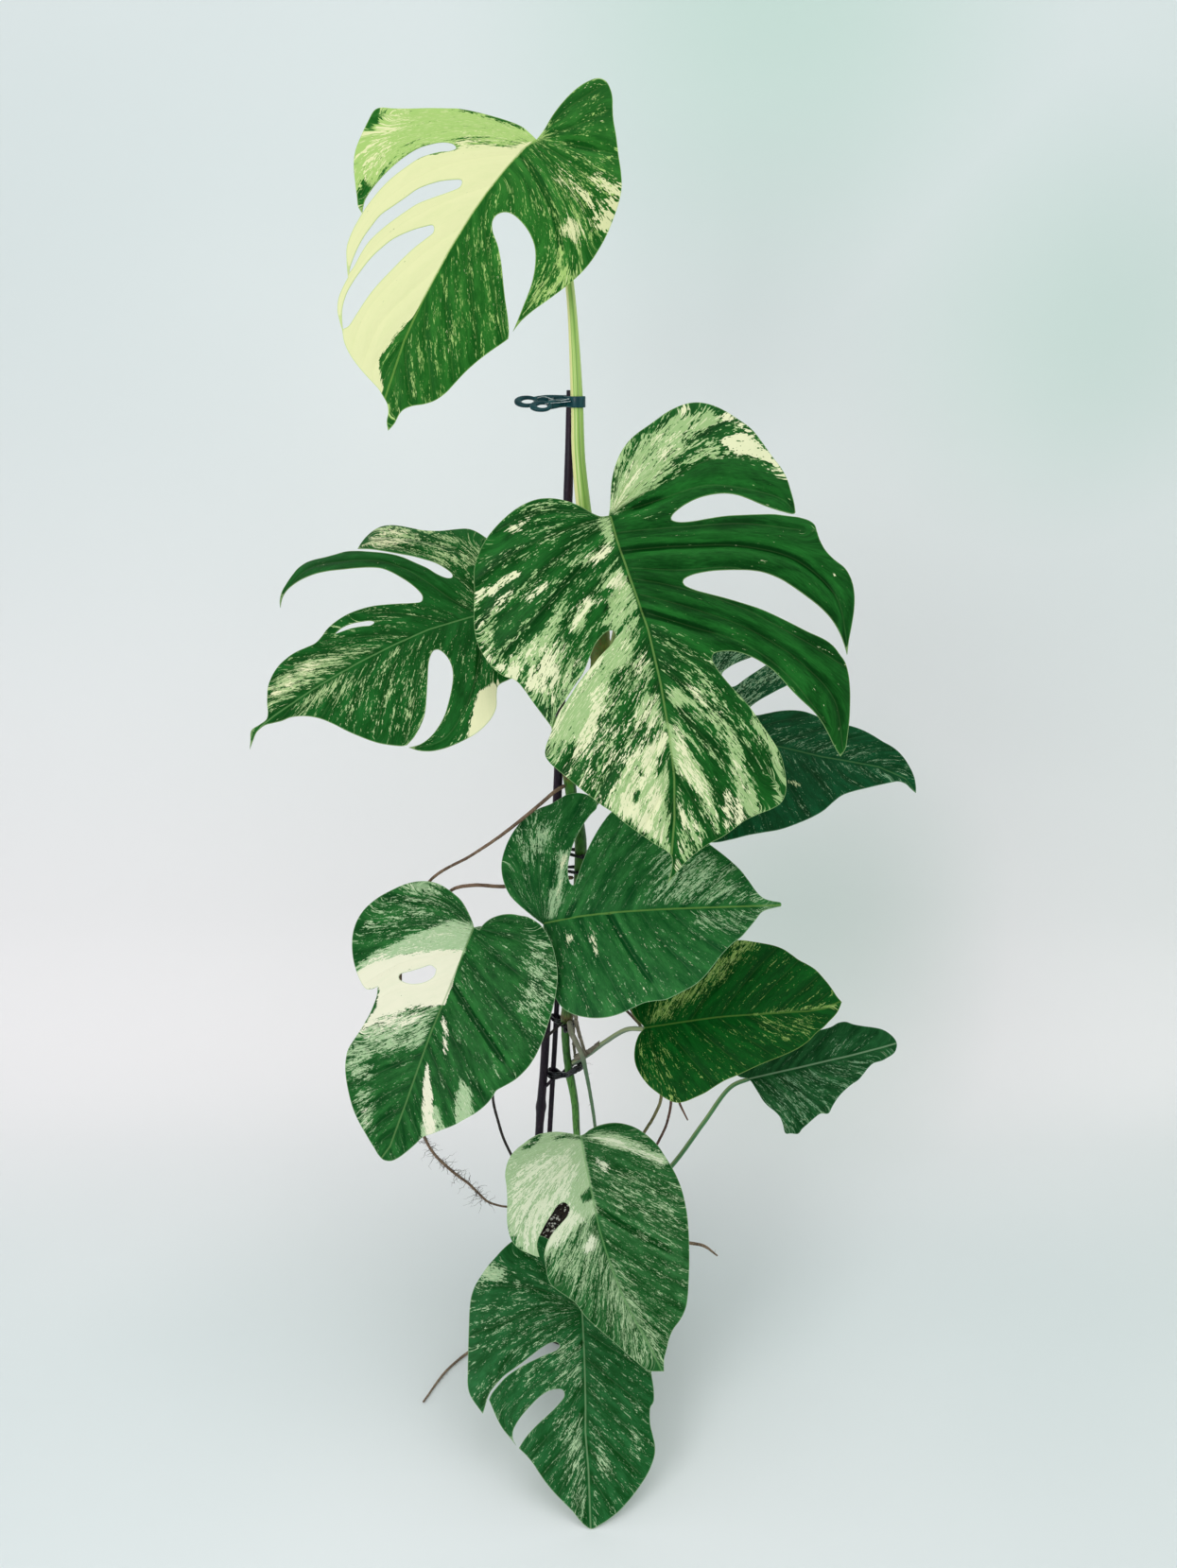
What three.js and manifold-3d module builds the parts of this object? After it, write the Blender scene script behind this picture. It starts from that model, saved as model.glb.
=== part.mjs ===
// A potted, white-marbled monstera: ten cut leaves on their petioles, a climbing stem tied to a stake,
// aerial roots, a plant clip, and the nursery pot with its soil.
// Millimetres, +Z up. The origin is the middle of the pot's underside, and the front is towards -Y.
import * as THREE from "three";
import Module from "manifold-3d";
import { mergeVertices } from "three/addons/utils/BufferGeometryUtils.js";

const wasm = await Module();
wasm.setup();

// Driving dimensions
const clearance = 0.3; // between parts that touch
const petioleReach = 2; // how far a petiole runs on under its blade
const bladeThickness = 0.9;
const bladeGrid = 24; // spacing of the points inside a blade
const bladeReach = 200; // no blade goes further than this to either side
const outlineTolerance = 0.4; // how far a blade's edge may cut its outline's corners
const pot = {
  height: 108,
  rimRadius: 60,
  baseRadius: 43,
  wall: 1.6,
  floor: 2.5,
  lipWidth: 2.4,
  lipHeight: 9,
  drains: 4,
  drainWidth: 12,
  drainHeight: 6,
  drainTurn: 0.08, // of the angle from one drain to the next
};
const soil = { level: 97, crown: 2.5, crownRings: 4 };
const rib = { baseRadius: 1.5, tipRadius: 0.6, start: 12, share: 0.9, sunk: 0.4 }; // under each midrib
const segments = { lathe: 40, stem: 8, stake: 10, root: 6, tie: 5, rib: 4, arc: 8 };

// The climbing stem, as [x, y, z, radius] from the soil up, thicker at its nodes
const stemCourse = [
  [18, 2, 48, 4.0],
  [17, 1, 97, 4.2],
  [12, 0, 160, 4.2],
  [7, 0, 224, 4.3],
  [0, 0, 290, 4.5],
  [-4, 0, 338, 4.6],
  [-5, 0, 356, 6.2],
  [-4, 0, 374, 4.8],
  [1, 1, 424, 4.8],
  [2, 2, 440, 6.0],
  [4, 3, 456, 4.9],
  [7, 9, 500, 5.0],
  [8, 12, 519, 6.0],
  [7, 15, 540, 5.0],
  [1, 18, 562, 5.0],
  [-1, 18, 577, 5.2],
  [-2, 14, 592, 5.8],
  [0, 9, 615, 5.5],
  [12, 0, 650, 5.8],
  [21, -5, 685, 6.2],
  [25, -8, 706, 6.2],
];

// Two stakes, as [x, y, z, radius]
const tallStakeCourse = [
  [-41.5, 8, 62, 4],
  [-40, 8, 97, 4],
  [-33, 8, 227, 4],
  [-32, 8, 240, 4.3],
  [-31.2, 8, 250, 5.2],
  [-30.6, 8, 260, 4.2],
  [-28, 8, 290, 4],
  [-19.5, 16, 440, 4],
  [-12, 20, 584, 4],
  [-7, 14, 700, 4],
  [-3, 8, 827, 4],
  [-2, 8, 911, 4],
];
const shortStakeCourse = [
  [-31, 14, 45, 2.5],
  [-30, 14, 97, 2.5],
  [-23, 14, 222, 2.5],
  [-15, 14, 358, 2.5],
  [-13, 14, 400, 2.5],
];

// Each blade's chart has u along the midrib from the petiole to the tip, and v across it.
// Outlines are [u, v] points in that chart. A third value of 1 marks a sharp corner.
const leaves = [
  {
    name: "leaf_1", // the tall top leaf
    base: [-22, -15, 1082],
    azimuth: -47,
    dip: 54,
    roll: -48,
    length: 237,
    droop: 18,
    fold: [0, -2],
    arch: [12, 24],
    back: [120, 12],
    midrib: [
      [-90, 0], [0, 0], [10, -5], [30, -10], [50, -14], [70, -17], [100, -20], [140, -22], [170, -22],
      [200, -19], [230, -16], [260, -14],
    ],
    margin: [
      [0, 0, 1], [-2, -7], [-3.5, -14], [-2.5, -25], [-0.5, -36], [2, -48], [5, -59], [9, -68],
      [14, -79], [20, -91], [25, -102], [28, -110], [32, -113.5], [40, -114], [55, -113.5], [66, -112],
      [76, -108], [86, -102], [95, -96], [101, -92], [104.5, -87, 1], [95, -89.5], [85, -88.5],
      [75, -86], [65, -82.5], [55, -78], [45, -72], [38, -65], [33, -58], [31, -51], [33, -47.5],
      [37, -51], [41, -57.5], [50, -67], [61, -73.5], [71, -78.5], [81, -82.3], [91, -84.8],
      [100, -86.5], [110, -87.5], [120, -88], [130, -87], [138, -83.5], [145, -79.5], [149, -77, 1],
      [157, -77.3], [165, -76.8], [173, -74], [179, -69.5], [184, -65, 1], [191, -60], [197, -52.5],
      [202, -43], [206, -33], [209, -25], [212, -20], [216, -14.5], [221, -11.5], [227, -10],
      [232.5, -6.5, 1], [226, -4.5], [219, -4], [214, -2.5], [209, 2], [204, 9], [198, 15], [190, 19.5],
      [181, 22.5], [170, 26], [158, 31], [148, 36], [139, 41], [134, 43.5, 1], [129, 41.5], [120, 36],
      [110, 29], [100, 22.5], [90, 16], [81, 9], [74, 1.5], [68, -1.8], [62, -1.2], [57.5, 3], [56, 9],
      [58, 18], [62, 26], [68, 32.5], [76, 37], [86, 40.5], [96, 42.3], [108, 43.2], [118, 43.8],
      [128, 44.3, 1], [118, 46.5], [108, 50.5], [98, 55.5], [88, 60.5], [77, 65.5], [66, 69.8],
      [54, 73], [42, 74.5], [30, 75], [18, 74], [6, 72], [-5, 68.5], [-15, 63], [-25, 56], [-35, 49],
      [-45, 41.5], [-53, 37], [-60, 33.5], [-65, 29.5], [-68.5, 24], [-67, 18], [-60, 12.5], [-49, 7.5],
      [-36, 4], [-22, 2], [-9, 1.5],
    ],
    holes: [
      [
        [52, -34], [57, -32.8], [63, -37.5], [71, -45], [81, -54], [91, -60], [100, -65], [110, -70],
        [120, -74], [130, -75.8], [140, -76.4], [146, -77.6, 1], [140, -79], [130, -79.6], [120, -79],
        [110, -77], [100, -74.5], [91, -69.5], [81, -64], [71, -58.5], [61, -49], [55, -40.5],
      ],
      [
        [90, -38], [94, -35.5], [100, -38], [110, -43], [120, -47], [130, -50.5], [140, -54],
        [150, -57], [160, -59], [170, -60.5], [179, -62], [183, -65, 1], [178, -68], [170, -71.5],
        [160, -73], [150, -72.3], [140, -70.5], [130, -68], [120, -64], [110, -58.5], [100, -50],
        [93.5, -43],
      ],
    ],
  },
  {
    name: "leaf_2", // the left leaf
    base: [-55, -30, 753],
    azimuth: -67,
    dip: 25,
    roll: -35,
    length: 225,
    droop: 16,
    fold: [6, 6],
    arch: [18, 18],
    back: [0, 0],
    midrib: [
      [-90, 8], [0, 7], [22, 0], [60, -13], [90, -19], [120, -24], [160, -29], [200, -32], [215, -32],
      [230, -22],
    ],
    margin: [
      [0, 7, 1], [-14, -3], [-24, -22], [-27, -44], [-24, -64], [-21, -77], [-17, -85], [-10, -91.5],
      [-3, -97], [5, -104], [13, -113], [19, -123], [25, -133], [31, -141], [38, -146], [46, -146],
      [54, -142], [61, -137], [67, -132, 1], [58, -121], [49, -108], [42, -98], [34, -87], [28, -77],
      [23, -68], [19.5, -57], [18, -48], [20, -44], [24, -47], [28, -56], [31, -67], [36, -79],
      [41, -91], [46, -100], [52, -108.5], [60, -118.5], [69, -130], [77, -138], [86, -142.5],
      [95, -147], [103, -151.5], [110, -153.5], [118, -152], [126, -147.5], [134, -142.5], [141, -137],
      [146, -129], [149, -120, 1], [143, -130], [136, -135], [127, -136], [118, -134.5], [108, -131],
      [98, -125], [88, -117], [78, -109], [69, -101], [62, -93], [57.5, -84], [54, -74], [50.5, -62],
      [48.5, -51], [48.5, -43], [52, -39], [59, -43], [67, -49], [76, -55.5], [86, -62], [96, -66.5],
      [106, -69.3], [116, -70], [126, -68.8], [134, -65.5], [141, -64], [149, -66], [158, -68.3],
      [167, -68.5], [176, -67], [184, -63.5], [191, -58], [196, -51], [200, -44], [203, -38],
      [207, -34], [214, -34.2], [222, -34.5], [227, -27.5], [231, -22, 1], [225, -26.5], [219, -30.5],
      [211, -30.8], [204, -27], [197, -23], [190, -20.5], [184, -16.5], [177, -10], [170, -1],
      [164, 10], [158, 23], [151, 36], [144, 47], [137, 55], [130, 61.5], [126, 63.5, 1], [118, 61.5],
      [109, 57], [100, 50], [92, 39.5], [84, 27.5], [76.5, 16], [71, 10], [66.5, 7.8], [62.8, 11],
      [61.5, 20], [63, 30], [67, 38.5], [73, 46.5], [80, 54], [88, 61], [97, 66], [107, 69.2],
      [117, 69.5], [126, 66, 1], [121, 73], [114, 79], [106, 83], [98, 85.5], [89, 87.3], [79, 88.5],
      [69, 87.8], [60, 85], [53, 80], [47, 71], [42, 66], [32, 67], [20, 69], [5, 67], [-12, 59],
      [-24, 44], [-24, 28], [-12, 14],
    ],
    holes: [
      [
        [92, -47], [96, -46.5], [102, -50.5], [110, -55], [117, -57.6], [124, -60, 1], [116, -60.8],
        [108, -58.8], [100, -54.5], [94, -50.5],
      ],
    ],
  },
  {
    name: "leaf_3", // the big main leaf
    base: [31, -75, 826],
    azimuth: 17,
    dip: 58,
    roll: 12,
    length: 274,
    droop: 18,
    fold: [2, 6],
    arch: [24, 10],
    back: [0, 0],
    midrib: [
      [-90, 0], [0, 0], [20, 2], [50, 7], [90, 14], [130, 17], [170, 18], [200, 17], [230, 13],
      [276, 3],
    ],
    margin: [
      [0, -1, 1], [0, -7], [-3.5, -13], [-9.5, -20], [-15.5, -29], [-19.8, -39], [-21.5, -50],
      [-20.2, -60], [-16.8, -70], [-11.5, -80], [-5, -89.5], [2, -97], [9, -102.5], [18, -107.5],
      [28, -110], [38, -111.3], [48, -113.3], [58, -115.3], [68, -116], [78, -115], [87, -112],
      [95, -108], [101, -103.5], [106, -98], [109, -92], [113, -87.5], [120, -83.5], [129, -79],
      [138, -74], [146, -69.5], [151, -66.8, 1], [146, -65.2], [140, -61.5], [135, -57], [130, -52],
      [125, -47.5], [120, -42.8], [116, -38.8], [111, -35.5], [105, -32], [100, -29], [95, -25.8],
      [90, -20.5], [87, -15.5], [87.5, -11], [91.5, -10.3], [96.5, -13.5], [100.5, -18.5], [105.5, -25],
      [110, -29.5], [114.5, -35], [119, -40], [124, -44.8], [129, -49.3], [134, -54], [139, -58.6],
      [144, -62.2], [149, -65], [156, -69], [163, -73], [170, -75], [176, -72.5], [182, -67.5],
      [190, -60], [198, -52.5], [206, -45], [213, -38], [219, -31], [226, -25], [233, -18],
      [240, -10.5], [246, -4], [251, 2.5], [256, 6.8], [261, 7.2], [268, 5.5], [276.5, 2, 1], [271, 8],
      [265, 14], [259, 22], [254.5, 30], [251, 37], [248.5, 45], [244, 54], [239, 63], [235.5, 74],
      [233, 85], [229.5, 92.5], [223, 96.8], [214, 98.3], [204, 98], [195, 96.8], [187, 93.8],
      [178, 89.5], [168, 84.5], [158, 79.5], [150, 74.5], [142, 69], [133, 63.3], [126, 59.5],
      [119.5, 57], [115, 58.5], [114, 64], [115, 73], [118.5, 82], [124, 90.5], [131, 98.5], [139, 105],
      [148, 111], [157, 118], [166, 125.5], [174, 130.5], [183, 134.5], [193, 138], [202.5, 142, 1],
      [197, 147], [188, 150], [177, 153], [166, 155], [154, 156.5], [143, 157], [134, 156],
      [127, 152.5], [121, 149], [115, 142.5], [108, 131], [101, 121], [94, 110.5], [87, 98.5], [81, 86],
      [75, 73], [70, 61], [66, 52], [61.5, 45.5], [57.5, 45.5], [54.8, 53], [54, 65], [54.5, 76],
      [55.5, 86], [57, 96], [60, 106], [66, 117], [73, 126], [81, 135], [90, 143.5], [100, 150.5],
      [111, 155.3], [120, 157.5], [128.5, 158.5, 1], [118, 162], [107, 166.3], [97, 169.8], [87, 172.2],
      [78, 173], [70, 172.2], [62, 169], [55, 162], [48, 156.5], [40, 153.3], [33, 152.3], [27, 151.5],
      [23, 147.5], [20.5, 142], [19.5, 138.5, 1], [18, 131], [16, 121], [15, 110], [14, 98], [13, 85],
      [13.3, 72], [14, 60], [13.5, 50], [11, 44.3], [7.5, 45.5], [3.5, 51], [0, 58], [-3, 67],
      [-4.5, 77], [-4.5, 87], [-2.5, 96], [1.5, 104], [6, 111], [10.5, 119], [14, 127], [17, 136],
      [16, 138.6, 1], [8, 139], [-2, 138.3], [-12, 137.3], [-22, 134.5], [-32, 129.5], [-43, 124],
      [-55, 117.5], [-65, 108.5], [-73, 99.5], [-78.5, 90.5], [-81.5, 82], [-82, 74], [-80.5, 66],
      [-77, 56.5], [-72, 48], [-67, 39.5], [-62, 30.5], [-56, 22.5], [-48, 15.5], [-38, 9.8],
      [-27, 5.5], [-15, 2.7], [-6, 0.8],
    ],
    holes: [],
  },
  {
    name: "leaf_4", // the leaf behind the main one, on the right
    base: [112, -20, 643],
    azimuth: 77,
    dip: 12,
    roll: 37,
    length: 180,
    droop: 16,
    fold: [6, 6],
    arch: [14, 14],
    back: [0, 0],
    midrib: [
      [-90, 0], [0, 0], [60, 5], [100, 10], [150, 22], [175, 22], [186, 13],
    ],
    margin: [
      [0, 0, 1], [-14, -6], [-30, -25], [-36, -50], [-30, -75], [-10, -95], [14, -103], [33, -101],
      [46, -94], [58, -86], [70, -79], [82, -71.5], [94, -61], [104, -51], [112, -41], [118, -30],
      [124, -20.5], [133, -12], [143, -4], [153, 4], [162, 11], [169, 16], [176, 17], [181, 15],
      [186.5, 13, 1], [185, 19], [181.5, 27], [176, 34], [168, 41], [158, 45.5], [147, 47], [137, 49],
      [128, 50], [118, 49.5], [105, 47], [94, 45.5], [84, 46.5], [75, 46.3], [65, 43.5], [55, 38.5],
      [46, 32.5], [38, 27.5], [32, 28], [31, 33], [36, 42], [43, 51.5], [50, 60.5], [57, 69], [62, 80],
      [60, 92], [52, 100], [44, 96], [35, 85], [27, 72.5], [20, 61], [14, 51], [8, 48.5], [3, 53],
      [0, 61], [5, 71], [12, 79.5], [20, 88], [27, 97], [24, 105], [12, 108], [-6, 104], [-25, 92],
      [-38, 70], [-40, 45], [-32, 22], [-16, 6],
    ],
    holes: [],
  },
  {
    name: "leaf_5", // the middle leaf, which points right
    base: [-23, -75, 490],
    azimuth: 77,
    dip: -11,
    roll: 46,
    length: 198,
    droop: 16,
    fold: [5, 5],
    arch: [14, 14],
    back: [0, 0],
    midrib: [
      [-90, 0], [0, 0], [30, 4], [60, 6], [100, 7], [150, 8], [180, 9], [198, 10],
    ],
    margin: [
      [0, -1, 1], [2, -10], [3, -20], [5, -33], [7.5, -46], [10.5, -57], [14, -66], [20, -73.5],
      [29, -78.5], [40, -81.3], [50, -82], [60, -81], [70, -78], [78, -74.5], [86, -71], [95, -69.5],
      [103, -68.8], [111, -65.5], [119, -61.5], [127, -57], [135, -50], [142, -41.5], [149, -32.5],
      [157, -24], [165, -17.5], [171, -10.5], [177, -3], [181, 2.5], [185, 5.3], [191, 7.3],
      [198, 9, 1], [198, 12], [191, 13.3], [185, 15], [181, 18], [177, 23], [172, 31], [166, 39.5],
      [159, 47], [151, 54.5], [143, 61.5], [133, 70], [122, 78], [110, 86], [97, 94], [84, 100],
      [72, 103.5], [63, 102.5], [56, 97], [51, 90], [46, 82], [41, 72.5], [37, 63], [34, 54], [31, 45],
      [28.5, 37], [26.5, 31.5], [23, 33.5], [20.8, 41], [20.3, 48], [21, 56], [22.5, 64], [24.5, 71],
      [28, 80], [32.5, 89], [38, 97], [43.5, 103.5], [42, 111], [35, 117.5], [25, 121], [15, 120.5],
      [8, 117], [0, 112.5], [-10, 109], [-20, 103.5], [-28, 95], [-34, 84], [-38, 72], [-40.3, 59],
      [-39.5, 48], [-36, 36.5], [-30.5, 26.5], [-22.5, 18], [-14, 10.5], [-7, 4.5],
    ],
    holes: [],
  },
  {
    name: "leaf_6", // the left lower leaf
    base: [-81, -85, 492],
    azimuth: -30,
    dip: 52,
    roll: -13,
    length: 195,
    droop: 16,
    fold: [5, 5],
    arch: [14, 14],
    back: [0, 0],
    midrib: [
      [-90, 1], [0, 1], [30, -1], [60, -3], [90, -6], [120, -8], [150, -10], [190, -14], [202, -19],
    ],
    margin: [
      [0, 1, 1], [-3, -1], [-7, -4.5], [-12.5, -10], [-18, -17], [-22, -26], [-25, -36], [-26, -44],
      [-25, -53], [-22, -62], [-17, -71], [-10, -80], [-2, -89], [6, -95.5], [14, -100], [24, -102.3],
      [34, -101.5], [44, -98], [54, -93], [62, -87.5], [68, -82], [73, -76], [75, -71], [73, -66],
      [70, -62.5, 1], [77, -60.8], [85, -61], [93, -62], [101, -64], [109, -66.3], [117, -69],
      [125, -71.5], [132, -71.5], [141, -69.5], [151, -65.5], [161, -60], [171, -53], [180, -44.5],
      [188, -35.5], [195, -27.5], [200, -22], [202.5, -17], [201, -10], [196, -4], [189, 1.5], [181, 7],
      [173, 12], [168, 19], [162, 26.5], [156, 34.5], [149, 41.5], [141, 49.5], [132, 56], [124, 59.5],
      [119, 61], [113, 67], [106, 73.5], [98, 78.5], [90, 82], [80, 84.5], [68, 85.8], [56, 86],
      [44, 86], [32, 85], [18, 82], [5, 76], [-8, 67], [-17, 56], [-20.5, 44], [-20, 36], [-19, 28],
      [-16, 20], [-11, 13], [-5, 8.5], [1, 6.5, 1],
    ],
    holes: [
      [
        [42, -18], [40.5, -24], [45, -31], [50, -38], [54, -43], [58, -42], [60, -37], [58, -30],
        [54, -23], [48, -18],
      ],
    ],
  },
  {
    name: "leaf_7", // the right lower leaf
    base: [62, -45, 375],
    azimuth: 85,
    dip: -9,
    roll: 40,
    length: 177,
    droop: 14,
    fold: [5, 5],
    arch: [14, 14],
    back: [0, 0],
    midrib: [
      [-90, -4], [3, -4], [30, -2], [70, 1], [120, 2], [150, 3], [165, 5], [178, 11],
    ],
    margin: [
      [3, -4, 1], [-1, -8], [-4, -13], [-6.5, -21], [-7.5, -31], [-6, -40], [-2, -48.5], [4, -57],
      [11, -63.5], [18, -69], [26, -72.8], [34, -72.5], [43, -69.5], [52, -66], [61, -61], [70, -56.5],
      [80, -53], [90, -49], [100, -45], [110, -41.5], [120, -38], [130, -34], [139, -29.5], [147, -24],
      [154, -17.5], [161, -12.5], [167, -7], [172, -2.5], [176, 2], [179, 7], [181, 11, 1], [177, 16.5],
      [173, 24], [167.5, 32.5], [161, 41], [154, 46.5], [147, 51], [141, 56.5], [134, 62.5],
      [126, 66.5], [117, 69], [108, 71], [99, 72.8], [88, 73.5], [74, 73.5], [56, 72], [36, 69],
      [18, 62], [4, 52], [-5, 38], [-8.5, 24], [-7.5, 12], [-4, 5], [0, 0],
    ],
    holes: [],
  },
  {
    name: "leaf_8", // the small leaf at the far right
    base: [163, -20, 302],
    azimuth: 90,
    dip: -13,
    roll: 40,
    length: 141,
    droop: 10,
    fold: [-6, 30],
    arch: [14, 20],
    back: [0, 0],
    midrib: [
      [-90, -2], [0, -2], [50, 0], [100, 3], [130, 6], [145, 8],
    ],
    margin: [
      [0, -1, 1], [3, -4], [5, -9], [7.5, -16], [10, -23], [13.5, -29], [18, -34], [22, -40],
      [23.5, -47], [24, -55.5], [29, -56.5], [35.5, -58], [40, -54.5], [47, -50.5], [54, -46.5],
      [60, -44], [67, -45], [72, -39.5], [79, -32.5], [86, -27.5], [94, -23], [101, -20], [107, -15.5],
      [113, -10.5], [119, -7], [127, -6], [133, -4], [138, -2], [142, 1], [145, 7], [143.5, 12.5],
      [139, 18], [133, 22.5], [125, 25.5], [116, 28], [107, 31], [100, 34.5], [93, 34.5], [86, 32],
      [78, 31], [62, 30.5], [45, 30], [28, 28], [12, 24], [-2, 17], [-9, 8], [-7, 2],
    ],
    holes: [],
  },
  {
    name: "leaf_9", // the front lower leaf
    base: [10, -75, 279],
    azimuth: 25,
    dip: 42,
    roll: 14,
    length: 201,
    droop: 16,
    fold: [5, 5],
    arch: [14, 14],
    back: [0, 0],
    midrib: [
      [-90, -3], [0, -3], [30, -5], [60, -6], [100, -4], [130, 3], [160, 7], [206, 8],
    ],
    margin: [
      [0, -3, 1], [-3, -8], [-6, -14], [-9, -21], [-11, -29], [-12, -38], [-10.8, -46], [-8.5, -53],
      [-6, -60], [-2, -67], [4, -72.5], [12, -76.5], [21, -78], [30, -80], [40, -83], [50, -86],
      [60, -87], [68, -85.8], [75, -81.5], [80, -75.5], [84, -70.5], [85.5, -67.5, 1], [79, -66],
      [73, -62.5], [67.5, -57], [62, -51], [57, -45], [52.5, -39.5], [51.5, -34.5], [55, -32],
      [59.5, -35], [63.5, -41.5], [67.5, -49], [72, -55.5], [78, -60.5], [86, -63.3], [94, -64.5],
      [102, -65.5], [109, -64.8], [116, -60.5], [123, -54.5], [130, -49], [138, -46], [146, -42.5],
      [153, -38], [160, -33.5], [168, -28], [176, -23], [184, -18], [191, -13], [197, -9], [202, -4],
      [204.5, 2], [206.5, 7.5, 1], [203, 8.5], [197, 10.5], [190, 15], [183, 19.5], [177, 25],
      [171, 34], [164, 41], [155, 46], [143, 51], [130, 56], [118, 60], [105, 64], [92, 67.2], [80, 69],
      [70, 69.5], [60, 68.8], [50, 67], [40, 64.5], [30, 61.5], [20, 56], [11, 49], [5, 42], [0.5, 34],
      [-2, 26], [-3, 16], [-2, 7], [0, 1],
    ],
    holes: [],
  },
  {
    name: "leaf_10", // the lowest leaf
    base: [4, -120, 126],
    azimuth: 7,
    dip: 40,
    roll: 4,
    length: 171,
    droop: 12,
    fold: [5, 5],
    arch: [12, 12],
    back: [0, 0],
    midrib: [
      [-90, 5], [0, 5], [30, 4], [50, 3], [80, 1], [100, -1], [130, -1], [172, -3],
    ],
    margin: [
      [0, 5, 1], [-18, 2], [-36, -3], [-51, -11], [-62, -24], [-66.5, -39], [-62, -53], [-56, -62.5],
      [-49, -70.5], [-42, -78], [-34, -85], [-26, -91], [-17, -95], [-7, -97], [3, -98], [15, -99],
      [30, -100], [44, -101], [55, -101.5], [63, -99.5], [70, -95], [78, -89, 1], [72, -86.5],
      [67, -84.5], [61.5, -81.3], [55.5, -75.2], [50, -68.3], [45.5, -60], [41, -51.5], [36, -43],
      [31.5, -35], [28, -27], [27.5, -20.5], [30.5, -17.5], [34, -21], [36.5, -30], [39.5, -40],
      [43, -50], [47, -59.5], [51.5, -67.5], [57, -74.2], [63, -80.3], [67.5, -83, 1], [75, -80],
      [83, -76.8], [91, -72.5], [98, -67], [105, -61.5, 1], [99.5, -64], [93.5, -63.5], [88, -60],
      [82, -54.5], [76, -47.5], [70, -39.5], [66, -31.5], [64.8, -24], [66, -18], [71, -17], [77, -23],
      [83, -31], [89, -40], [95, -48], [101, -54.5], [107, -59.5, 1], [113, -53.5], [120, -48],
      [128, -43], [136, -37.5], [144, -31], [152, -23.5], [159, -17], [165, -12.5], [170, -8],
      [173.5, -2.5], [171.5, 4], [168, 12], [163, 21], [157, 29], [150, 37], [142, 45], [134, 51.5],
      [125, 56.5], [117, 58.3], [108, 57.3], [100, 56], [91, 56.5], [86, 57.8], [82, 61], [72, 62],
      [60, 61.5], [46, 62.5], [32, 64.5], [16, 66], [0, 64], [-18, 58], [-32, 46], [-38, 32], [-34, 18],
      [-20, 9],
    ],
    holes: [],
  },
];

// Petioles, one to a leaf. Each starts on the stem at a height, or in the soil, runs through its
// course of [x, y, z, radius] points, and ends under its blade's base.
const petioles = [
  {
    leaf: 0,
    stemTop: true,
    course: [[24, -8, 730, 6.3], [20, -6, 770, 6.2], [11, -2, 824, 5.8], [7, 1, 865, 5.2], [6, 2, 903, 4.8],
      [1, 0, 985, 3.4], [-7, 4, 1030, 3.0], [-15, 3, 1062, 2.8], [-20, -6, 1077, 2.6]],
    endRadius: 2.4,
  },
  {
    leaf: 1,
    stemHeight: 604,
    course: [[-14, 0, 640, 3.2], [-30, -2, 690, 3.0], [-48, -10, 735, 2.6]],
    endRadius: 2.2,
  },
  {
    leaf: 2,
    stemHeight: 655,
    course: [[30, -16, 690, 3.6], [40, -24, 740, 3.4], [42, -40, 785, 3.2], [38, -58, 811, 2.8]],
    endRadius: 2.5,
  },
  {
    leaf: 3,
    stemHeight: 550,
    course: [[34, 20, 578, 3.2], [66, 18, 612, 3.0], [96, 2, 636, 2.6]],
    endRadius: 2.2,
  },
  {
    leaf: 4,
    stemHeight: 448,
    course: [[-4, -24, 458, 3.0], [-14, -46, 470, 2.7], [-21, -64, 481, 2.5]],
    endRadius: 2.2,
  },
  {
    leaf: 5,
    stemHeight: 432,
    course: [[-26, -14, 444, 3.0], [-52, -38, 460, 2.7], [-74, -66, 480, 2.5]],
    endRadius: 2.2,
  },
  {
    leaf: 6,
    stemHeight: 306,
    course: [[15, -10, 321, 2.5], [30, -20, 340, 2.3], [50, -32, 361, 2.2]],
    endRadius: 2.1,
  },
  {
    leaf: 7,
    course: [[30, 8, 55, 2.6], [30, 8, 97, 2.6], [60, 5, 135, 2.4], [98, 0, 188, 2.3], [126, -7, 242, 2.2],
      [150, -13, 287, 2.1]],
    endRadius: 2.0,
  },
  {
    leaf: 8,
    course: [[8, -22, 52, 3.0], [8, -25, 97, 3.0], [8, -38, 170, 2.8], [9, -52, 235, 2.6],
      [10, -66, 268, 2.4]],
    endRadius: 2.2,
  },
  {
    leaf: 9,
    course: [[-4, -16, 58, 3.0], [-5, -22, 97, 3.0], [-2, -44, 121, 2.8], [3, -66, 130, 2.6],
      [5, -92, 128, 2.4], [4, -110, 123, 2.3]],
    endRadius: 2.2,
  },
];

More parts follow.
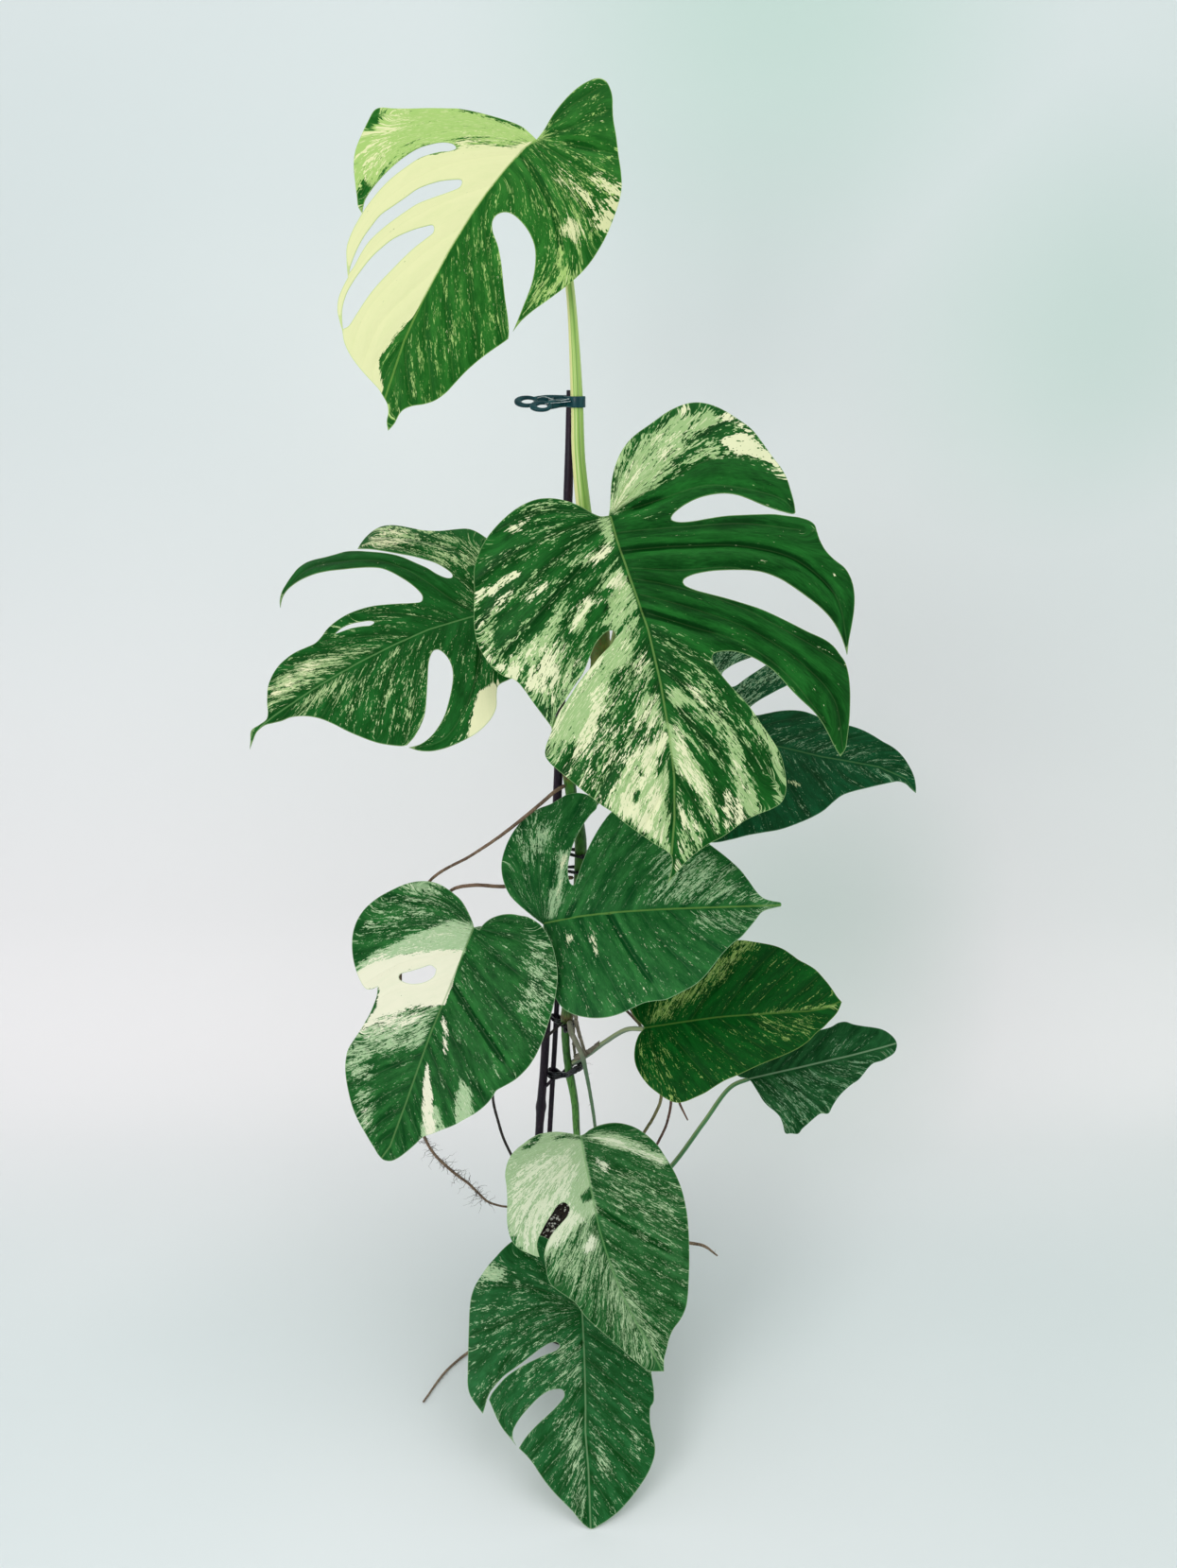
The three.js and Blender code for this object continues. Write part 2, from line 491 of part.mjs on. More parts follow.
// Aerial roots, as [x, y, z, radius]. A stemHeight starts a root on the stem.
const roots = [
  {
    stemHeight: 582,
    course: [[-14, 6, 578, 1.7], [-30, -1, 566, 1.6], [-61, -10, 543, 1.5], [-87, -20, 528, 1.3],
      [-121, -40, 513, 1.3], [-142, -52, 470, 1.3], [-150, -58, 400, 1.3], [-145, -60, 320, 1.3],
      [-133, -60, 262, 1.3], [-124, -60, 243, 1.3], [-110, -58, 222, 1.3], [-93, -56, 204, 1.3],
      [-80, -52, 180, 1.3], [-62, -40, 150, 1.3], [-46, -28, 118, 1.3], [-39, -23, 97, 1.3],
      [-34, -20, 70, 1.0]],
  },
  {
    stemHeight: 494,
    course: [[-24, 0, 496, 1.8], [-57, -30, 503, 1.7], [-84, -45, 511, 1.6], [-101, -52, 510, 1.4],
      [-116, -48, 486, 1.3], [-121, -42, 450, 1.1], [-118, -40, 425, 0.8]],
  },
  {
    stemHeight: 350,
    course: [[-22, -14, 344, 1.3], [-52, -18, 322, 1.3], [-72, -14, 298, 1.3], [-76, -10, 272, 1.3],
      [-72, -10, 247, 1.3], [-67, -10, 226, 1.3], [-58, -9, 200, 1.3], [-46, -6, 150, 1.3],
      [-42, -4, 97, 1.3], [-38, -2, 72, 1.0]],
  },
  {
    course: [[-40, -5, 1.5, 0.8], [-48, -8, 1.5, 1.1], [-64, -17, 1.6, 1.2], [-84, -31, 1.7, 1.2],
      [-107, -53, 1.7, 1.2], [-125, -75, 1.7, 1.1], [-142, -110, 1.6, 0.9]],
    onFloor: true,
  },
  {
    course: [[41, -10, 70, 1.2], [44, -12, 97, 1.3], [49, -14, 108, 1.3], [58, -18, 114.5, 1.3],
      [72, -24, 120, 1.3], [92, -34, 126, 1.3], [114, -40, 127, 1.2], [127, -44, 127, 1.1],
      [139, -50, 121, 0.8]],
  },
  {
    stemHeight: 424,
    course: [[24, 2, 408, 1.5], [52, -8, 372, 1.5], [76, -22, 325, 1.5], [83, -28, 288, 1.5],
      [77, -24, 262, 1.5], [67, -20, 238, 1.5], [52, -14, 190, 1.4], [42, -6, 140, 1.4],
      [40, -2, 97, 1.3], [38, 0, 70, 1.0]],
  },
  {
    stemHeight: 388,
    course: [[30, 10, 374, 1.3], [66, 4, 340, 1.3], [88, -12, 305, 1.3], [93, -18, 279, 1.3],
      [90, -16, 249, 1.3], [82, -11, 222, 1.3], [66, 10, 170, 1.3], [50, 22, 120, 1.3],
      [45, 24, 97, 1.3], [41, 24, 70, 1.0]],
  },
  {
    stemHeight: 400,
    course: [[40, 16, 388, 1.3], [78, 8, 352, 1.3], [94, -10, 312, 1.2], [100, -25, 279, 1.2],
      [108, -30, 262, 0.8]],
  },
  {
    stemHeight: 353,
    course: [[6, -11, 336, 2.3], [11, -14, 313, 2.4], [18, -17, 280, 2.4], [22, -18, 249, 2.4],
      [24, -17, 200, 2.3], [25, -14, 150, 2.2], [25, -13, 97, 2.0], [24, -13, 70, 1.4]],
  },
];

// Ties hold the stem to the tall stake: a thin band round both, some with a knot in front of the stem
const ties = [
  { stemHeight: 288, stakeHeight: 300, radius: 1.3, knot: 0 },
  { stemHeight: 344, stakeHeight: 350, radius: 1.1, knot: 2.6 },
  { stemHeight: 508, stakeHeight: 508, radius: 1.1, knot: 0 },
  { stemHeight: 530, stakeHeight: 530, radius: 1.1, knot: 2.0 },
];

// The clip near the stake's top, in plan: two jaws round the stake and the top petiole, each with an
// arm to a finger ring, and a spring between the arms
const clip = {
  height: 903,
  depth: 6,
  wall: 1.8,
  ease: 0.5, // inside the jaws
  gap: 0.6, // between the jaws
  ringDepth: 3,
  armWidth: 3.6,
  jaws: [
    {
      name: "clip_jaw_back",
      side: 1,
      arm: [[-5, 13.9], [-15, 13.4], [-22, 11], [-27, 9.2]],
      ring: { centre: [-34, 7], outer: 8.6, inner: 5.2 },
    },
    {
      name: "clip_jaw_front",
      side: -1,
      arm: [[-8, 9.8], [-12.8, 5], [-16, 1], [-18.4, -1.4]],
      ring: { centre: [-22, -6], outer: 8.0, inner: 4.4 },
    },
  ],
  spring: { centre: [-14.6, 9.4], radius: 1.75, depth: 8 },
};

// Finishes
const finishes = {
  pot: { color: "#17181a", roughness: 0.55 },
  soil: { color: "#3a2b20", roughness: 0.95 },
  stem: { color: "#4f7a35", roughness: 0.55 },
  petiole: { color: "#7da556", roughness: 0.5 },
  leaf: { color: "#3d6b34", roughness: 0.45 },
  marbledLeaf: { color: "#c9d69b", roughness: 0.45 },
  root: { color: "#7b6248", roughness: 0.8 },
  stake: { color: "#241c24", roughness: 0.5 },
  clip: { color: "#1d4a4a", roughness: 0.4 },
  spring: { color: "#b9bec0", roughness: 0.3, metalness: 1 },
  tie: { color: "#0f0f10", roughness: 0.35 },
};

const plant = new THREE.Group();

function addPiece(name, geometry, finish) {
  const piece = new THREE.Mesh(geometry, new THREE.MeshStandardMaterial(finish));
  piece.name = name;
  plant.add(piece);
}

// Closed solids and their booleans

function geometryOf(vertices, faces) {
  const geometry = new THREE.BufferGeometry();
  const numbers = vertices.flatMap((vertex) => vertex.toArray());
  geometry.setAttribute("position", new THREE.Float32BufferAttribute(numbers, 3));
  geometry.setIndex(faces.flat());
  return geometry;
}

function solidOf(geometry) {
  const bare = geometry.clone();
  bare.deleteAttribute("normal");
  bare.deleteAttribute("uv");
  const merged = mergeVertices(bare, 1e-4);
  return new wasm.Manifold(
    new wasm.Mesh({
      numProp: 3,
      vertProperties: merged.attributes.position.array,
      triVerts: new Uint32Array(merged.index.array),
    }),
  );
}

function geometryOfSolid(solid) {
  const mesh = solid.getMesh();
  const geometry = new THREE.BufferGeometry();
  geometry.setAttribute("position", new THREE.BufferAttribute(new Float32Array(mesh.vertProperties), 3));
  geometry.setIndex(new THREE.BufferAttribute(new Uint32Array(mesh.triVerts), 1));
  return geometry;
}

// A tapered round tube along a smooth course of [x, y, z, radius] points, with domed ends.
// grow widens and lengthens it, to cut the hole that it stands in.
function courseTube(course, sides, { steps = 2, grow = 0, closed = false } = {}) {
  const curve = new THREE.CatmullRomCurve3(
    course.map(([x, y, z]) => new THREE.Vector3(x, y, z)),
    closed,
    "centripetal",
  );
  const spans = closed ? course.length : course.length - 1;
  const rings = spans * steps;
  const vertices = [];
  const faces = [];
  let side = new THREE.Vector3(0, -1, 0);
  const addRing = (centre, along, radius) => {
    side = side.clone().addScaledVector(along, -side.dot(along)).normalize();
    const across = new THREE.Vector3().crossVectors(along, side);
    for (let i = 0; i < sides; i++) {
      const angle = (2 * Math.PI * i) / sides;
      vertices.push(
        centre
          .clone()
          .addScaledVector(side, radius * Math.cos(angle))
          .addScaledVector(across, radius * Math.sin(angle)),
      );
    }
  };
  const radiusAt = (t) => {
    const place = Math.min(t * spans, spans - 1e-9);
    const from = Math.floor(place);
    const to = (from + 1) % course.length;
    return THREE.MathUtils.lerp(course[from][3], course[to][3], place - from) + grow;
  };
  const domeShare = Math.SQRT1_2; // the dome's middle ring, at 45 degrees
  const dome = (t, way) => {
    const along = curve.getTangent(t);
    const radius = radiusAt(t);
    const centre = curve.getPoint(t).addScaledVector(along, way * radius * domeShare);
    addRing(centre, along, radius * domeShare);
  };
  if (!closed) {
    dome(0, -1);
  }
  for (let i = 0; i < (closed ? rings : rings + 1); i++) {
    const t = i / rings;
    addRing(curve.getPoint(t), curve.getTangent(t), radiusAt(t));
  }
  if (!closed) {
    dome(1, 1);
  }
  const ringCount = vertices.length / sides;
  for (let ring = 0; ring < (closed ? ringCount : ringCount - 1); ring++) {
    for (let i = 0; i < sides; i++) {
      const a = ring * sides + i;
      const b = ring * sides + ((i + 1) % sides);
      const c = ((ring + 1) % ringCount) * sides + ((i + 1) % sides);
      const d = ((ring + 1) % ringCount) * sides + i;
      faces.push([a, b, c], [a, c, d]);
    }
  }
  if (!closed) {
    const foot = vertices.push(curve.getPoint(0).addScaledVector(curve.getTangent(0), -radiusAt(0))) - 1;
    const tip = vertices.push(curve.getPoint(1).addScaledVector(curve.getTangent(1), radiusAt(1))) - 1;
    const last = (ringCount - 1) * sides;
    for (let i = 0; i < sides; i++) {
      const next = (i + 1) % sides;
      faces.push([foot, next, i], [tip, last + i, last + next]);
    }
  }
  return geometryOf(vertices, faces);
}

// Where a standing course is at a height, and how thick it is there
function courseAt(course, height) {
  const above = course.findIndex(([, , z]) => z >= height);
  const [low, high] = [course[above - 1], course[above]];
  const share = (height - low[2]) / (high[2] - low[2]);
  const [x, y, z, radius] = low.map((value, i) => THREE.MathUtils.lerp(value, high[i], share));
  const along = new THREE.Vector3(high[0] - low[0], high[1] - low[1], high[2] - low[2]).normalize();
  return { centre: new THREE.Vector3(x, y, z), along, radius };
}

// A first point for something that grows from the stem's side towards a next point
function seatOnStem(height, next, radius) {
  const seat = courseAt(stemCourse, height);
  const way = new THREE.Vector3(...next).sub(seat.centre);
  way.addScaledVector(seat.along, -way.dot(seat.along)).normalize();
  const start = seat.centre.addScaledVector(way, seat.radius + clearance + radius);
  return [...start.toArray(), radius];
}

// The blades

function bladeFrame({ azimuth, dip, roll }) {
  const [turn, down, lean] = [azimuth, dip, roll].map(THREE.MathUtils.degToRad);
  const ahead = new THREE.Vector3(Math.sin(turn), -Math.cos(turn), 0);
  const level = new THREE.Vector3(Math.cos(turn), Math.sin(turn), 0);
  const along = ahead.multiplyScalar(Math.cos(down)).setZ(-Math.sin(down));
  const up = new THREE.Vector3().crossVectors(along, level);
  const across = level.clone().multiplyScalar(Math.cos(lean)).addScaledVector(up, Math.sin(lean));
  const out = up.multiplyScalar(Math.cos(lean)).addScaledVector(level, -Math.sin(lean));
  return { along, across, out };
}

function midribAt(leaf, along) {
  const { midrib } = leaf;
  const u = THREE.MathUtils.clamp(along, midrib[0][0], midrib.at(-1)[0]);
  const after = midrib.findIndex(([at], i) => i && at >= u);
  const [from, to] = [midrib[after - 1], midrib[after]];
  return THREE.MathUtils.mapLinear(u, from[0], to[0], from[1], to[1]);
}

// The point of a blade's upper face at a place of its chart. The blade droops towards the tip, is
// folded up at its midrib and arches down towards its edges.
function bladePoint(leaf, u, v) {
  const { along, across, out } = bladeFrame(leaf);
  const middle = midribAt(leaf, u);
  const half = v < middle ? 0 : 1;
  const droop = THREE.MathUtils.degToRad(leaf.droop) / leaf.length;
  const backBend = THREE.MathUtils.degToRad(leaf.back[half]) / 100;
  const bend = u < 0 && backBend ? backBend : droop;
  const fold = THREE.MathUtils.degToRad(leaf.fold[half]);
  const arch = THREE.MathUtils.degToRad(leaf.arch[half]) / 100;
  const lean = fold - arch * Math.abs(v - middle);
  const reach = middle + (Math.sign(v - middle) * (Math.sin(fold) - Math.sin(lean))) / arch;
  const lift = (Math.cos(lean) - Math.cos(fold)) / arch;
  const turned = bend * u;
  return new THREE.Vector3(...leaf.base)
    .addScaledVector(along, Math.sin(turned) / bend + lift * Math.sin(turned))
    .addScaledVector(across, reach)
    .addScaledVector(out, lift * Math.cos(turned) - (1 - Math.cos(turned)) / bend);
}

function bladeNormal(leaf, u, v) {
  const step = 0.5;
  const ahead = bladePoint(leaf, u + step, v).sub(bladePoint(leaf, u - step, v));
  const aside = bladePoint(leaf, u, v + step).sub(bladePoint(leaf, u, v - step));
  return ahead.cross(aside).normalize();
}

function underBlade(leaf, u, v, depth) {
  return bladePoint(leaf, u, v).addScaledVector(bladeNormal(leaf, u, v), -depth);
}

function distanceToEdge(point, loops) {
  let nearest = Infinity;
  for (const loop of loops) {
    loop.forEach((from, i) => {
      const to = loop[(i + 1) % loop.length];
      const way = to.clone().sub(from);
      const share = THREE.MathUtils.clamp(point.clone().sub(from).dot(way) / way.lengthSq(), 0, 1);
      nearest = Math.min(nearest, point.distanceTo(way.multiplyScalar(share).add(from)));
    });
  }
  return nearest;
}

// Leaves out the points that an outline hardly bends at (Douglas and Peucker's rule), never a corner
function thinOut(points) {
  const kept = points.map(([, , corner]) => Boolean(corner));
  kept[0] = true;
  kept[Math.floor(points.length / 2)] = true;
  const thinSpan = (from, to) => {
    const [a, b] = [points[from], points[to % points.length]].map(([u, v]) => new THREE.Vector2(u, v));
    const way = b.clone().sub(a);
    let worst = 0;
    let at = from;
    for (let i = from + 1; i < to; i++) {
      const off = new THREE.Vector2(points[i][0], points[i][1]).sub(a);
      const miss = Math.abs(way.cross(off)) / way.length();
      if (miss > worst) {
        worst = miss;
        at = i;
      }
    }
    if (worst > outlineTolerance) {
      kept[at] = true;
      thinSpan(from, at);
      thinSpan(at, to);
    }
  };
  const fixed = kept.flatMap((keep, i) => (keep ? [i] : []));
  fixed.forEach((from, i) => thinSpan(from, i + 1 < fixed.length ? fixed[i + 1] : points.length));
  return points.filter((_, i) => kept[i]).map(([u, v]) => new THREE.Vector2(u, v));
}

function turnsLeft(a, b, c) {
  return (b.x - a.x) * (c.y - a.y) - (b.y - a.y) * (c.x - a.x) > 0;
}

function inCircle(a, b, c, d) {
  const rows = [a, b, c].map((p) => [p.x - d.x, p.y - d.y, (p.x - d.x) ** 2 + (p.y - d.y) ** 2]);
  const rounding = 1e-9;
  return new THREE.Matrix3().set(...rows.flat()).determinant() > rounding;
}

// Turns the diagonals of thin pairs of triangles until none would be better the other way
function relax(points, faces) {
  const mostPasses = 60;
  for (let pass = 0; pass < mostPasses; pass++) {
    const owner = new Map();
    faces.forEach((face, f) => face.forEach((a, i) => owner.set(`${a},${face[(i + 1) % 3]}`, f)));
    const touched = new Set();
    for (const [edge, f] of owner) {
      const [a, b] = edge.split(",").map(Number);
      const g = owner.get(`${b},${a}`);
      if (g === undefined || touched.has(f) || touched.has(g)) {
        continue;
      }
      const c = faces[f].find((p) => p !== a && p !== b);
      const d = faces[g].find((p) => p !== a && p !== b);
      const [pa, pb, pc, pd] = [a, b, c, d].map((i) => points[i]);
      if (inCircle(pa, pb, pc, pd) && turnsLeft(pc, pa, pd) && turnsLeft(pd, pb, pc)) {
        faces[f] = [c, a, d];
        faces[g] = [d, b, c];
        touched.add(f).add(g);
      }
    }
    if (!touched.size) {
      return;
    }
  }
}

function triangulate(loops, inner) {
  const points = loops.flat();
  const faces = THREE.ShapeUtils.triangulateShape(loops[0], loops.slice(1)).map(([a, b, c]) =>
    turnsLeft(points[a], points[b], points[c]) ? [a, b, c] : [a, c, b],
  );
  relax(points, faces);
  for (const point of inner) {
    const at = faces.findIndex((face) =>
      face.every((a, i) => turnsLeft(points[a], points[face[(i + 1) % 3]], point)),
    );
    if (at < 0 || distanceToEdge(point, loops) < bladeGrid / 4) {
      continue;
    }
    const [a, b, c] = faces[at];
    const added = points.push(point) - 1;
    faces.splice(at, 1, [a, b, added], [b, c, added], [c, a, added]);
  }
  relax(points, faces);
  return { points, faces };
}

// Points inside a blade: along its midrib, and on a grid beside it
function innerPoints(leaf) {
  const inner = [];
  for (let u = bladeGrid / 2; u < leaf.length; u += bladeGrid / 2) {
    inner.push(new THREE.Vector2(u, midribAt(leaf, u)));
  }
  const most = Math.ceil(bladeReach / bladeGrid);
  for (let row = -most; row * bladeGrid < leaf.length; row++) {
    for (let column = -most; column <= most; column++) {
      const u = row * bladeGrid;
      const v = (column + (row % 2 ? 0.5 : 0)) * bladeGrid;
      if (Math.abs(v - midribAt(leaf, u)) > bladeGrid / 2) {
        inner.push(new THREE.Vector2(u, v));
      }
    }
  }
  return inner;
}

// The midrib stands out under the blade as a rib that thins towards the tip
function ribCourse(leaf) {
  const course = [];
  for (let u = rib.start; u <= leaf.length * rib.share; u += bladeGrid) {
    const radius = THREE.MathUtils.mapLinear(u, 0, leaf.length, rib.baseRadius, rib.tipRadius);
    const depth = bladeThickness + radius * (1 - rib.sunk);
    course.push([...underBlade(leaf, u, midribAt(leaf, u), depth).toArray(), radius]);
  }
  return course;
}

// A thin shell between the upper face and the same triangles one thickness below it, with its rib
function bladeGeometry(leaf) {
  const loops = [leaf.margin, ...leaf.holes].map(thinOut);
  const { points, faces } = triangulate(loops, innerPoints(leaf));
  const upper = points.map(({ x, y }) => bladePoint(leaf, x, y));
  const lower = points.map(({ x, y }) => underBlade(leaf, x, y, bladeThickness));
  const count = points.length;
  const edges = new Set(faces.flatMap((face) => face.map((a, i) => `${a},${face[(i + 1) % 3]}`)));
  const shell = [...faces, ...faces.map(([a, b, c]) => [a + count, c + count, b + count])];
  for (const edge of edges) {
    const [a, b] = edge.split(",").map(Number);
    if (!edges.has(`${b},${a}`)) {
      shell.push([a, a + count, b + count], [a, b + count, b]);
    }
  }
  const ribTube = courseTube(ribCourse(leaf), segments.rib, { steps: 1 });
  return geometryOfSolid(solidOf(geometryOf([...upper, ...lower], shell)).add(solidOf(ribTube)));
}

// The pot, with drains in its lower edge, and the soil with a hole for each thing that stands in it

function potInside(height) {
  const slope = (pot.rimRadius - pot.lipWidth - pot.baseRadius) / pot.height;
  return pot.baseRadius + slope * height - pot.wall;
}

function potGeometry() {
  const wallTop = pot.height - pot.lipHeight;
  const profile = [
    [0, 0],
    [pot.baseRadius, 0],
    [potInside(wallTop) + pot.wall, wallTop],
    [pot.rimRadius, wallTop],
    [pot.rimRadius, pot.height],
    [potInside(pot.height), pot.height],
    [potInside(pot.floor), pot.floor],
    [0, pot.floor],
  ].map(([x, y]) => new THREE.Vector2(x, y));
  let solid = solidOf(new THREE.LatheGeometry(profile, segments.lathe).rotateX(Math.PI / 2));
  for (let i = 0; i < pot.drains; i++) {
    const drain = new THREE.BoxGeometry(2 * pot.drainHeight, pot.drainWidth, 2 * pot.drainHeight);
    drain.translate(pot.baseRadius, 0, 0).rotateZ((2 * Math.PI * (i + pot.drainTurn)) / pot.drains);
    solid = solid.subtract(solidOf(drain));
  }
  return geometryOfSolid(solid);
}

function soilGeometry(standing) {
  const foot = pot.floor + clearance;
  const profile = [new THREE.Vector2(0, foot), new THREE.Vector2(potInside(foot) - clearance, foot)];
  for (let ring = soil.crownRings; ring >= 0; ring--) {
    const share = ring / soil.crownRings;
    const reach = share * (potInside(soil.level) - clearance);
    profile.push(new THREE.Vector2(reach, soil.level + soil.crown * (1 - share ** 2)));
  }
  let solid = solidOf(new THREE.LatheGeometry(profile, segments.lathe).rotateX(Math.PI / 2));
  for (const { course, sides, steps = 2 } of standing) {
    solid = solid.subtract(solidOf(courseTube(course, sides, { steps, grow: clearance })));
  }
  return geometryOfSolid(solid);
}

// The ties and the clip

// The closed course of a band drawn tight round upright rounds, each { centre, radius }
function bandCourse(rounds, radius) {
  const course = [];
  for (let i = 0; i < 2 * segments.arc; i++) {
    const angle = (Math.PI * i) / segments.arc;
    const way = new THREE.Vector3(Math.cos(angle), Math.sin(angle), 0);
    const reach = (round) => round.centre.dot(way) + round.radius;
    const outer = rounds.reduce((best, round) => (reach(round) > reach(best) ? round : best));
    const place = outer.centre.clone().addScaledVector(way, outer.radius + 2 * clearance + radius);
    course.push([...place.toArray(), radius]);
  }
  return course;
}

function tieGeometry({ stemHeight, stakeHeight, radius, knot }) {
  const stem = courseAt(stemCourse, stemHeight);
  const rounds = [stem, courseAt(tallStakeCourse, stakeHeight)];
  if (stakeHeight < shortStakeCourse.at(-1)[2]) {
    rounds.push(courseAt(shortStakeCourse, (stemHeight + stakeHeight) / 2));
  }
  const band = solidOf(courseTube(bandCourse(rounds, radius), segments.tie, { steps: 1, closed: true }));
  if (!knot) {
    return geometryOfSolid(band);
  }
  const lump = new THREE.IcosahedronGeometry(knot, 1);
  lump.translate(stem.centre.x, stem.centre.y - stem.radius - knot - clearance, stem.centre.z);
  return geometryOfSolid(band.add(solidOf(lump)));
}

function slab(outline, depth, hole) {
  const shape = new THREE.Shape(outline);
  if (hole) {
    shape.holes.push(hole);
  }
  const extruded = new THREE.ExtrudeGeometry(shape, {
    depth,
    bevelEnabled: false,
    curveSegments: segments.arc,
  });
  return solidOf(extruded.translate(0, 0, clip.height - depth / 2));
}

function ringSlab({ centre, outer, inner }) {
  const circle = (radius) => new THREE.Path().absarc(...centre, radius, 0, 2 * Math.PI);
  return slab(circle(outer).getPoints(2 * segments.arc), clip.ringDepth, circle(inner));
}

// A strip of even width along a line in plan
function stripSlab(line) {
  const curve = new THREE.CatmullRomCurve3(line.map(([x, y]) => new THREE.Vector3(x, y, 0)));
  const edges = [[], []];
  for (let i = 0; i <= segments.arc; i++) {
    const middle = curve.getPoint(i / segments.arc);
    const along = curve.getTangent(i / segments.arc);
    for (const [edge, way] of [[0, 1], [1, -1]]) {
      const half = (way * clip.armWidth) / 2;
      edges[edge].push(new THREE.Vector2(middle.x - along.y * half, middle.y + along.x * half));
    }
  }
  return slab([...edges[0], ...edges[1].reverse()], clip.depth);
}

// Half of a band round the stake and the petiole, from the arm's end to the jaw's tip
function jawSlab(side, stake, petiole) {
  const along = petiole.centre.clone().sub(stake.centre).setZ(0).normalize();
  const aside = new THREE.Vector3(-along.y, along.x, 0).multiplyScalar(side);
  const edges = [[], []];
  for (let i = 0; i <= segments.arc; i++) {
    const angle = Math.PI * (1 - i / segments.arc);
    const way = along.clone().multiplyScalar(Math.cos(angle)).addScaledVector(aside, Math.sin(angle));
    const round = Math.cos(angle) < 0 ? stake : petiole;
    for (const [edge, thick] of [[0, clip.wall], [1, 0]]) {
      const place = round.centre.clone().addScaledVector(way, round.radius + clip.ease + thick);
      place.addScaledVector(aside, clip.gap / 2);
      edges[edge].push(new THREE.Vector2(place.x, place.y));
    }
  }
  return slab([...edges[0], ...edges[1].reverse()], clip.depth);
}

function jawGeometry({ side, arm, ring }) {
  const held = [tallStakeCourse, petioles[0].course].map((course) => courseAt(course, clip.height));
  return geometryOfSolid(jawSlab(side, ...held).add(stripSlab(arm)).add(ringSlab(ring)));
}

// Everything in its place

const standing = [
  { course: stemCourse, sides: segments.stem },
  { course: tallStakeCourse, sides: segments.stake, steps: 1 },
  { course: shortStakeCourse, sides: segments.stake, steps: 1 },
];

addPiece("pot", potGeometry(), finishes.pot);
addPiece("vine_stem", courseTube(stemCourse, segments.stem), finishes.stem);
addPiece("stake_tall", courseTube(tallStakeCourse, segments.stake, { steps: 1 }), finishes.stake);
addPiece("stake_short", courseTube(shortStakeCourse, segments.stake, { steps: 1 }), finishes.stake);

leaves.forEach((leaf, i) => {
  const marbled = i === 0 || i === 2;
  addPiece(leaf.name, bladeGeometry(leaf), marbled ? finishes.marbledLeaf : finishes.leaf);
});

petioles.forEach(({ leaf, stemTop, stemHeight, course, endRadius }, i) => {
  const blade = leaves[leaf];
  const depth = bladeThickness + clearance + endRadius;
  const end = underBlade(blade, petioleReach, midribAt(blade, petioleReach), depth);
  const full = [...course, [...end.toArray(), endRadius]];
  if (stemHeight) {
    full.unshift(seatOnStem(stemHeight, course[0].slice(0, 3), course[0][3]));
  }
  if (stemTop) {
    const [x, y, z, radius] = stemCourse.at(-1);
    full.unshift([x, y, z + 2 * radius + clearance, radius]);
  }
  if (!stemTop && !stemHeight) {
    standing.push({ course: full, sides: segments.stem });
  }
  addPiece(`petiole_${i + 1}`, courseTube(full, segments.stem), finishes.petiole);
});

roots.forEach(({ stemHeight, course, onFloor }, i) => {
  const seat = stemHeight ? [seatOnStem(stemHeight, course[0].slice(0, 3), course[0][3])] : [];
  const full = [...seat, ...course];
  if (!onFloor) {
    standing.push({ course: full, sides: segments.root });
  }
  addPiece(`aerial_root_${i + 1}`, courseTube(full, segments.root), finishes.root);
});

addPiece("soil", soilGeometry(standing), finishes.soil);

ties.forEach((tie, i) => addPiece(`stem_tie_${i + 1}`, tieGeometry(tie), finishes.tie));

clip.jaws.forEach((jaw) => addPiece(jaw.name, jawGeometry(jaw), finishes.clip));
const { centre, radius, depth } = clip.spring;
const spring = new THREE.CylinderGeometry(radius, radius, depth, segments.arc);
addPiece("clip_spring", spring.rotateX(Math.PI / 2).translate(...centre, clip.height), finishes.spring);

export default plant;
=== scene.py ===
import math

import bmesh
import bpy
import numpy as np
from mathutils import Matrix, Vector, noise
from mathutils.geometry import delaunay_2d_cdt


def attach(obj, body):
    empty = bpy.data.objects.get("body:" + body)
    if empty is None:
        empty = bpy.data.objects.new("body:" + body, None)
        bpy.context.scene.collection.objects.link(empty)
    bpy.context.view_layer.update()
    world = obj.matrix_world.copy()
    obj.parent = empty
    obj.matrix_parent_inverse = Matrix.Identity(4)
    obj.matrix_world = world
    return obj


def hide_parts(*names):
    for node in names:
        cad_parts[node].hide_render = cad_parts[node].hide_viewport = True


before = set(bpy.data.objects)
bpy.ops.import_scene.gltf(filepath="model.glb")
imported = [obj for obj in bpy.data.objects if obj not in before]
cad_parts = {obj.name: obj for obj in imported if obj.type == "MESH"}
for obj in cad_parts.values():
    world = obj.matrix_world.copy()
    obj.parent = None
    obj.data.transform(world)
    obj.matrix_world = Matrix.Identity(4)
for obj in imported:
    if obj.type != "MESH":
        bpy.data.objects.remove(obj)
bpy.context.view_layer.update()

mm = 0.001  # sizes below are in millimetres unless a note says otherwise
collection = bpy.context.scene.collection

# Camera, backdrop and light

studio = {  # in metres
    "cameraPlace": (0.015, -0.962, 0.937),
    "cameraDown": 20,  # degrees
    "sensor": 36,
    "focalPixels": 1246,
    "imageHeight": 1659,
    "wallY": 0.50,
    "sweep": 0.22,
    "sweepSteps": 12,
    "halfWidth": 4.0,
    "front": -4.5,
    "back": 4.0,
    "wallTop": 3.2,
    "world": (0.935, 0.965, 0.975),
    "worldStrength": 0.66,
    # painted green shadows on the wall, as centre, radius and strength
    "casts": [((0.22, 0.5, 1.32), 0.4, 0.6), ((0.6, 0.5, 0.97), 0.34, 0.45), ((0.3, 0.45, 0.2), 0.4, 0.42)],
}

